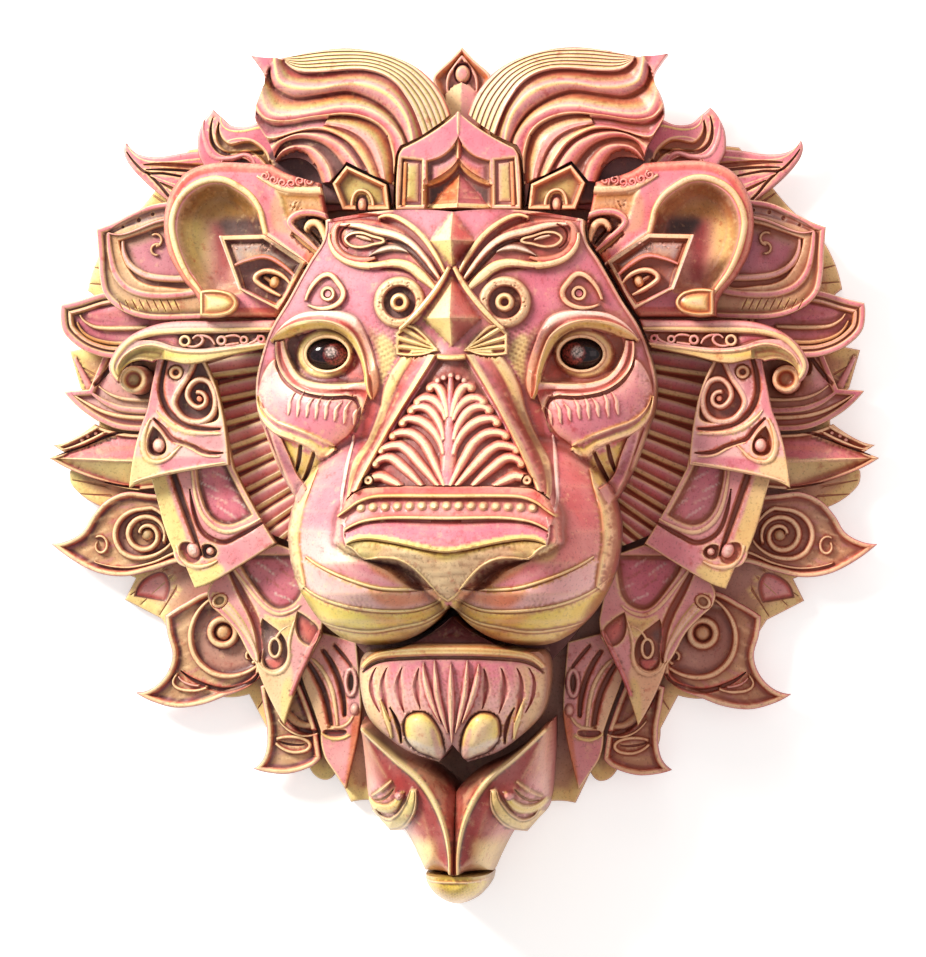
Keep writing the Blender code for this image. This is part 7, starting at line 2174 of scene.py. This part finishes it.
def eyes():
    """Glass eyes: a dark dome with a red-brown iris and a painted highlight, a pale gleam, in the seat of the
    mask.
    """
    rings, sides = 22, 56
    edge, rise = 1.5, 9.0
    iris_x, iris_radius = 7.6, 12.4
    # The gleam is a painted highlight
    gleam_x, gleam_z, gleam_radius = 3.6, 2.0, 7.4
    glass = np.array([0.012, 0.004, 0.008])
    iris_paint = np.array([0.20, 0.035, 0.030])
    gleam_paint = np.array([0.50, 0.42, 0.40])
    quarter = 0.5 * math.pi
    profile = [(1.0, 0.0)] + [
        (math.cos(quarter * k / rings), edge + rise * math.sin(quarter * k / rings)) for k in range(rings)
    ]
    for side, name in ((1, "eye_right"), (-1, "eye_left")):
        verts = [(0.0, 0.0, 0.0)]
        paints = [TINT["deep"]]
        faces = []
        for r, height in profile:
            for j in range(sides):
                angle = 2 * math.pi * j / sides
                x, z = EYE_HALF * r * math.cos(angle), EYE_HALF * EYE_SQUASH * r * math.sin(angle)
                verts.append((x, height, z))
                lid = np.clip((r - 0.9) / 0.08, 0, 1)
                away = math.hypot(x + iris_x * side, z / 0.95)
                iris = float(np.clip((iris_radius - away) / 2.0, 0, 1))
                away = math.hypot(x + gleam_x * side, z - gleam_z)
                gleam = float(soft_step((gleam_radius - away) / 4.0))
                shade = glass * (1 - lid) + TINT["maroon"] * lid * 0.4
                shade = shade * (1 - iris) + iris_paint * iris
                paints.append(shade * (1 - gleam) + gleam_paint * gleam)
        verts.append((0.0, edge + rise, 0.0))
        # The top point of the dome, painted paler inside the painted highlight
        paints.append(np.array([0.32, 0.20, 0.18]))
        last = 1 + (len(profile) - 1) * sides
        for j in range(sides):
            following = (j + 1) % sides
            faces.append((0, 1 + following, 1 + j))
            for a in range(1, last, sides):
                faces.append((a + j, a + following, a + sides + following, a + sides + j))
            faces.append((last + j, last + following, len(verts) - 1))
        floor = SOCKET_FLOOR + GAP
        placed = [
            ((side * EYE_AT[0] + x) * STEP, -(floor + height) * MM, (EYE_AT[1] + z) * STEP)
            for x, height, z in verts
        ]
        mesh = bpy.data.meshes.new(name)
        mesh.from_pydata(placed, [], faces)
        shape = bmesh.new()
        shape.from_mesh(mesh)
        bmesh.ops.recalc_face_normals(shape, faces=shape.faces)
        shape.to_mesh(mesh)
        shape.free()
        values = np.ones((len(verts), 4))
        values[:, :3] = np.array(paints)
        paint_mesh(mesh, values)
        place(name, mesh, *GLASS)


def chin():
    half = [
        (0, -143, CORNER), (20, -159), (50, -174), (84, -178, CORNER), (91, -188), (91, -215), (83, -243),
        (62, -264), (44, -276), (30, -281), (14, -286, CORNER), (0, -268, CORNER),
    ]
    outline = whole(half)
    back = board_back(3)

    def skin(points):
        return 88 + 40 * mound(points, (0, -205), (104, 92), 0.5) - back

    forms = [ground_of(skin, "pink")]

    def band(path, width, section, mode="raise"):
        for side in (1, -1):
            forms.append(stroke(smooth_line(path) * [side, 1], width, section, mode, skin))

    forms.append(tinted(lambda p: np.clip((-206 - p[:, 1]) / 20, 0, 1), "shell", 0.75))
    forms.append(tinted(lambda p: np.clip((np.abs(p[:, 0]) - 58) / 18, 0, 1), "butter", 0.6))
    mouth = whole([(0, -143, CORNER), (20, -159), (50, -171), (30, -171), (0, -171, CORNER)])
    forms.append(panel(mouth, [(0, -12, "deep"), (2, -18, "wine"), (8, -18, "wine"), (14, -20, "wine")],
        "sink", skin))
    forms.append(stroke(across([(0, -176), (40, -177), (72, -181), (88, -192)]), [3, 5.4, 6, 6, 6, 5.4, 3],
        [(0, 4.8, "gold"), (0.35, 4.9, "butter"), (0.6, 4.2, "orange"), (0.8, 2.6, "gold"), (1, 0, "ochre")],
        "raise", skin))
    forms.append(stroke(across([(0, -183), (40, -184), (72, -188), (88, -198)]), [1.4, 2.2, 2.2, 2.2, 1.4],
        [(0, -2.0, "olive"), (0.6, -1.6, "maroon"), (1, 0, "pink")], "cut", skin))
    for x, low, wide in ((34, -232, 4.5), (52, -236, 5), (68, -246, 4.5), (80, -236, 3)):
        band([(0.94 * x, -194), (x, -212), (0.9 * x, low)], [0.8, wide, 0.8], [(0, -2.2, "coral"),
            (0.4, -1.7, "rose"), (1, 0, "blush")], "cut")
    flame = [(0, 4.2, "cream"), (0.3, 3.9, "shell"), (0.6, 2.4, "blush"), (0.85, 0.8, "rose"),
        (1, 0, "coral")]
    band([(27, -190), (25, -206), (20, -224), (11, -246)], [0.8, 3.6, 4.2, 3.4, 0.8], flame, "add")
    band([(16, -186), (15, -204), (13, -222), (4, -256)], [0.8, 3.4, 4.0, 3.6, 0.8], flame, "add")
    forms.append(trace([(0, -190), (0, -214), (0, -240), (0, -266)], [0.8, 4.0, 4.6, 3.4, 0.8], flame, "add"))
    claw = [(46, -244), (38, -237), (26, -237), (16, -246), (9, -264), (8, -286, CORNER), (22, -281),
        (36, -275), (46, -262)]
    for side in (1, -1):
        forms.append(panel(outline_of(claw) * [side, 1], [
            (0, -2.6, "maroon"), (1.2, 1.2, "ochre"), (3, 4.4, "yellow"), (8, 7.6, "butter"),
            (14, 9.2, "cream")], "put", skin))
        for drawn, paint, amount, soft in (
            ([(48, -262), (36, -262), (22, -268), (8, -270), (8, -288), (24, -282), (38, -276)], "white", 0.8,
                4),
            ([(20, -250), (12, -262), (8, -286), (15, -284), (19, -268)], "mauve", 0.75, 3),
            ([(50, -262), (40, -268), (30, -279), (38, -277), (48, -270)], "grey", 0.7, 3),
        ):
            forms.append(wash(outline_of(drawn) * [side, 1], paint, amount, soft))
    band([(60, -234), (53, -250), (51, -266)], [1, 3.2, 1.4], [(0, -4, "deep"), (0.5, -3, "maroon"),
        (1, 0, "gold")], "cut")
    band([(70, -226), (64, -244), (60, -262)], [1, 3.4, 1.2], [(0, 2.6, "butter"), (0.6, 2.0, "butter"),
        (1, 0, "gold")], "add")
    forms.append(hatched(
        lambda p: np.clip((p[:, 1] + 240) / 10, 0, 1) * np.clip((-190 - p[:, 1]) / 8, 0, 1)
        * (np.abs(p[:, 0]) < 84),
        lambda p: (p[:, 0] + 0.2 * p[:, 1]) / 4.2, 0.35))
    build_one("chin", outline, forms, back, PAINTED, 2.2)


BEARD_FRONT = 104


def beard_limb():
    outline = outline_of([
        (95, -246, CORNER), (94, -290), (89, -332), (80, -345, CORNER), (68, -359, CORNER),
        (54, -358, CORNER), (44, -376), (34, -398, CORNER), (0.3, -398, CORNER), (0.3, -318, CORNER),
        (12, -303), (28, -292, CORNER), (48, -283), (66, -271, CORNER), (86, -252, CORNER),
    ])
    back = board_back(1)
    ridge = smooth_line([(90, -255), (58, -284), (35, -303), (20, -324), (10, -348), (5, -372), (4, -397)])
    edge, top = 46 - back, BEARD_FRONT - back

    def body(points):
        away = distance_to(points, outline)
        crest = distance_to(points, ridge, closed=False)
        share = away / np.maximum(away + crest, 1e-9)
        full = edge + (top - edge) * np.sin(0.5 * math.pi * np.clip(share, 0, 1) ** 0.6)
        valley = top - 1.2 * crest
        inner = (1 - outer_side(points)) * soft_step((-290 - points[:, 1]) / 24)
        return full + inner * np.maximum(valley - full, 0)

    def outer_side(points):
        """1 on the outer side of the ridge."""
        at = np.interp(points[:, 1], ridge[::-1, 1], ridge[::-1, 0])
        return np.clip((points[:, 0] - at) / 4, 0, 1)

    def outer_edge(points):
        at = np.interp(points[:, 1], [-397, -360, -300, -250], [14, 30, 74, 96])
        return np.clip((points[:, 0] - at) / 16, 0, 1)

    def foot(points):
        x, v = points.T
        return outer_side(points) * np.clip((-358 - v) / 14, 0, 1) * np.clip((x - 14) / 12, 0, 1)

    forms = [
        ground_of(body, "red"),
        Form(lambda points, state: None, [(ridge, False)]),
        tinted(lambda p: 1 - outer_side(p), "coral", 0.6),
        tinted(lambda p: 1 - outer_side(p), "ochre", 0.3),
        tinted(outer_edge, "blush", 0.9),
        tinted(foot, "butter", 0.8),
        stroke(ridge, [2.4, 3.6, 4, 3.6, 2.6, 1.4], [(0, 2.4, "cream"), (0.45, 2.2, "butter"),
            (1, 0, "maroon")], "add"),
    ]
    collar = smooth_line([(84, -338), (74, -350), (60, -350), (46, -336), (40, -316)])
    forms += [
        stroke(collar, [5, 8, 9, 8, 4], [(0, 5.4, "butter"), (0.35, 5.2, "butter"), (0.55, 4.2, "olive"),
            (0.75, 4.6, "cream"), (1, 0, "maroon")], "add"),
        trace([(88, -326), (76, -334), (62, -332), (52, -318)], [3, 5.4, 5.4, 3], [(0, 4.4, "yellow"),
            (0.5, 3.8, "butter"), (1, 0, "ochre")], "add"),
        trace([(84, -322), (74, -316), (62, -306)], [1.6, 3, 1.6], [(0, 3.4, "cream"), (1, 0, "ochre")],
            "add"),
        boss((54, -320), [(0, 6, "blush"), (3, 5, "pink"), (5.4, 0, "maroon")], "add", squash=0.8),
        groove([(80, -326), (70, -324), (60, -314)], [1, 2, 1], 2.2, "olive", "ochre"),
    ]
    build_pair("beard_limb", outline, forms, back, PAINTED, 2.3, grime_and_shade=0.5)


def beard_tip():
    outline = whole([(0, -400, CORNER), (33, -400, CORNER), (30, -412), (18, -425), (0, -431)])
    back = board_back(1)
    top = BEARD_FRONT - back
    arc = across([(0, -431), (18, -425), (30, -412), (33, -400)])

    def knob(points):
        away = distance_to(points, arc, closed=False) / 20
        return 0.35 * top + 0.6 * top * np.sqrt(np.clip(1 - (1 - np.clip(away, 0, 1)) ** 2, 0, 1))

    forms = [
        ground_of(knob, "yellow"),
        tinted(lambda p: np.clip((-416 - p[:, 1]) / 10, 0, 1), "gold", 0.7),
        tinted(lambda p: np.clip((p[:, 1] + 403) / 1.5, 0, 1), "maroon", 0.5),
        trace([(-31, -404), (0, -405.5), (31, -404)], [1.2, 1.6, 1.2], [(0, 1.4, "cream"), (1, 0, "gold")],
            "add"),
        hatched(lambda p: np.clip((-406 - p[:, 1]) / 6, 0, 1), lambda p: (p[:, 0] - 1.4 * p[:, 1]) / 3.6,
            0.7),
        hatched(lambda p: np.clip((-410 - p[:, 1]) / 6, 0, 1), lambda p: (p[:, 0] + 1.8 * p[:, 1]) / 4.4,
            0.5),
    ]
    build_one("beard_tip", outline, forms, back, GOLD_PAINTED, 1.6)


for build in (
    back_plate, ruff, crest_plume, crest_socket, crest_finial, crest_gable, mane_lock, horn_leaf, shell_leaf,
    cheek_leaf, cup_leaf, arrow_leaf, spiral_leaf_upper, spiral_leaf_lower, beard_leaf, side_plate_1,
    side_plate_2, side_plate_3, side_plate_4, temple_band, ear, ear_frame, ear_tab, face_mask, eyes, chin,
    beard_limb, beard_tip,
):
    build()


# Backdrop, light and camera

def backdrop():
    """A pale wall with one side, so that the back of the head shows from behind."""
    wide, tall, behind = 4, 3, 0.0015
    corners = [(-wide, behind, -tall), (wide, behind, -tall), (wide, behind, tall), (-wide, behind, tall)]
    mesh = bpy.data.meshes.new("backdrop")
    mesh.from_pydata(corners, [], [(0, 1, 2, 3)])
    wall = bpy.data.objects.new("backdrop", mesh)
    bpy.context.scene.collection.objects.link(wall)
    made = bpy.data.materials.new("backdrop")
    made.use_nodes = True
    nodes, links = made.node_tree.nodes, made.node_tree.links
    shader = nodes["Principled BSDF"]
    side = nodes.new("ShaderNodeNewGeometry")
    clear = nodes.new("ShaderNodeBsdfTransparent")
    mix = nodes.new("ShaderNodeMixShader")
    links.new(side.outputs["Backfacing"], mix.inputs[0])
    links.new(shader.outputs["BSDF"], mix.inputs[1])
    links.new(clear.outputs["BSDF"], mix.inputs[2])
    links.new(mix.outputs["Shader"], nodes["Material Output"].inputs["Surface"])
    shader.inputs["Base Color"].default_value = (0.97, 0.965, 0.96, 1)
    shader.inputs["Roughness"].default_value = 0.95
    shader.inputs["Emission Color"].default_value = (1.0, 0.995, 0.99, 1)
    shader.inputs["Emission Strength"].default_value = 0.46
    mesh.materials.append(made)


def light(name, place_at, size, power, colour):
    """A square lamp that looks at the middle of the head."""
    lamp = bpy.data.lights.new(name, "AREA")
    lamp.shape = "SQUARE"
    lamp.size = size
    lamp.energy = power
    lamp.color = colour
    made = bpy.data.objects.new(name, lamp)
    made.location = place_at
    made.rotation_euler = (-Vector(place_at)).to_track_quat("-Z", "Y").to_euler()
    bpy.context.scene.collection.objects.link(made)


PHOTO_WIDTH = 926
SHIFT_X, SHIFT_Y = -1, -8.5
AZIMUTH = math.radians(4.0)
AWAY = 4.0
SENSOR = 36
ZOOM = 0.993


def camera():
    """As far away as a photographer stands, a little to the right; its shifts are in pixels of the photo."""
    lens = bpy.data.cameras.new("camera")
    lens.sensor_fit = "HORIZONTAL"
    lens.sensor_width = SENSOR
    lens.lens = SENSOR * AWAY / (PHOTO_WIDTH * STEP) * ZOOM
    lens.shift_x = SHIFT_X / PHOTO_WIDTH
    lens.shift_y = SHIFT_Y / PHOTO_WIDTH
    made = bpy.data.objects.new("camera", lens)
    made.location = (AWAY * math.sin(AZIMUTH), -AWAY * math.cos(AZIMUTH), 0)
    made.rotation_euler = (math.pi / 2, 0, AZIMUTH)
    bpy.context.scene.collection.objects.link(made)
    bpy.context.scene.camera = made


backdrop()
light("key", (-2.1, -1.8, 1.9), size=0.9, power=172, colour=(1.0, 0.955, 0.88))
light("fill", (2.2, -2.0, 0.2), size=1.8, power=8, colour=(1.0, 0.80, 0.78))
light("top", (0.2, -0.9, 2.4), size=1.2, power=16, colour=(1.0, 0.97, 0.93))
world = bpy.data.worlds.new("studio")
bpy.context.scene.world = world
world.use_nodes = True
background = world.node_tree.nodes["Background"]
background.inputs["Color"].default_value = (1.0, 0.985, 0.97, 1)
background.inputs["Strength"].default_value = 0.50
camera()
bpy.context.scene.view_settings.view_transform = "Standard"
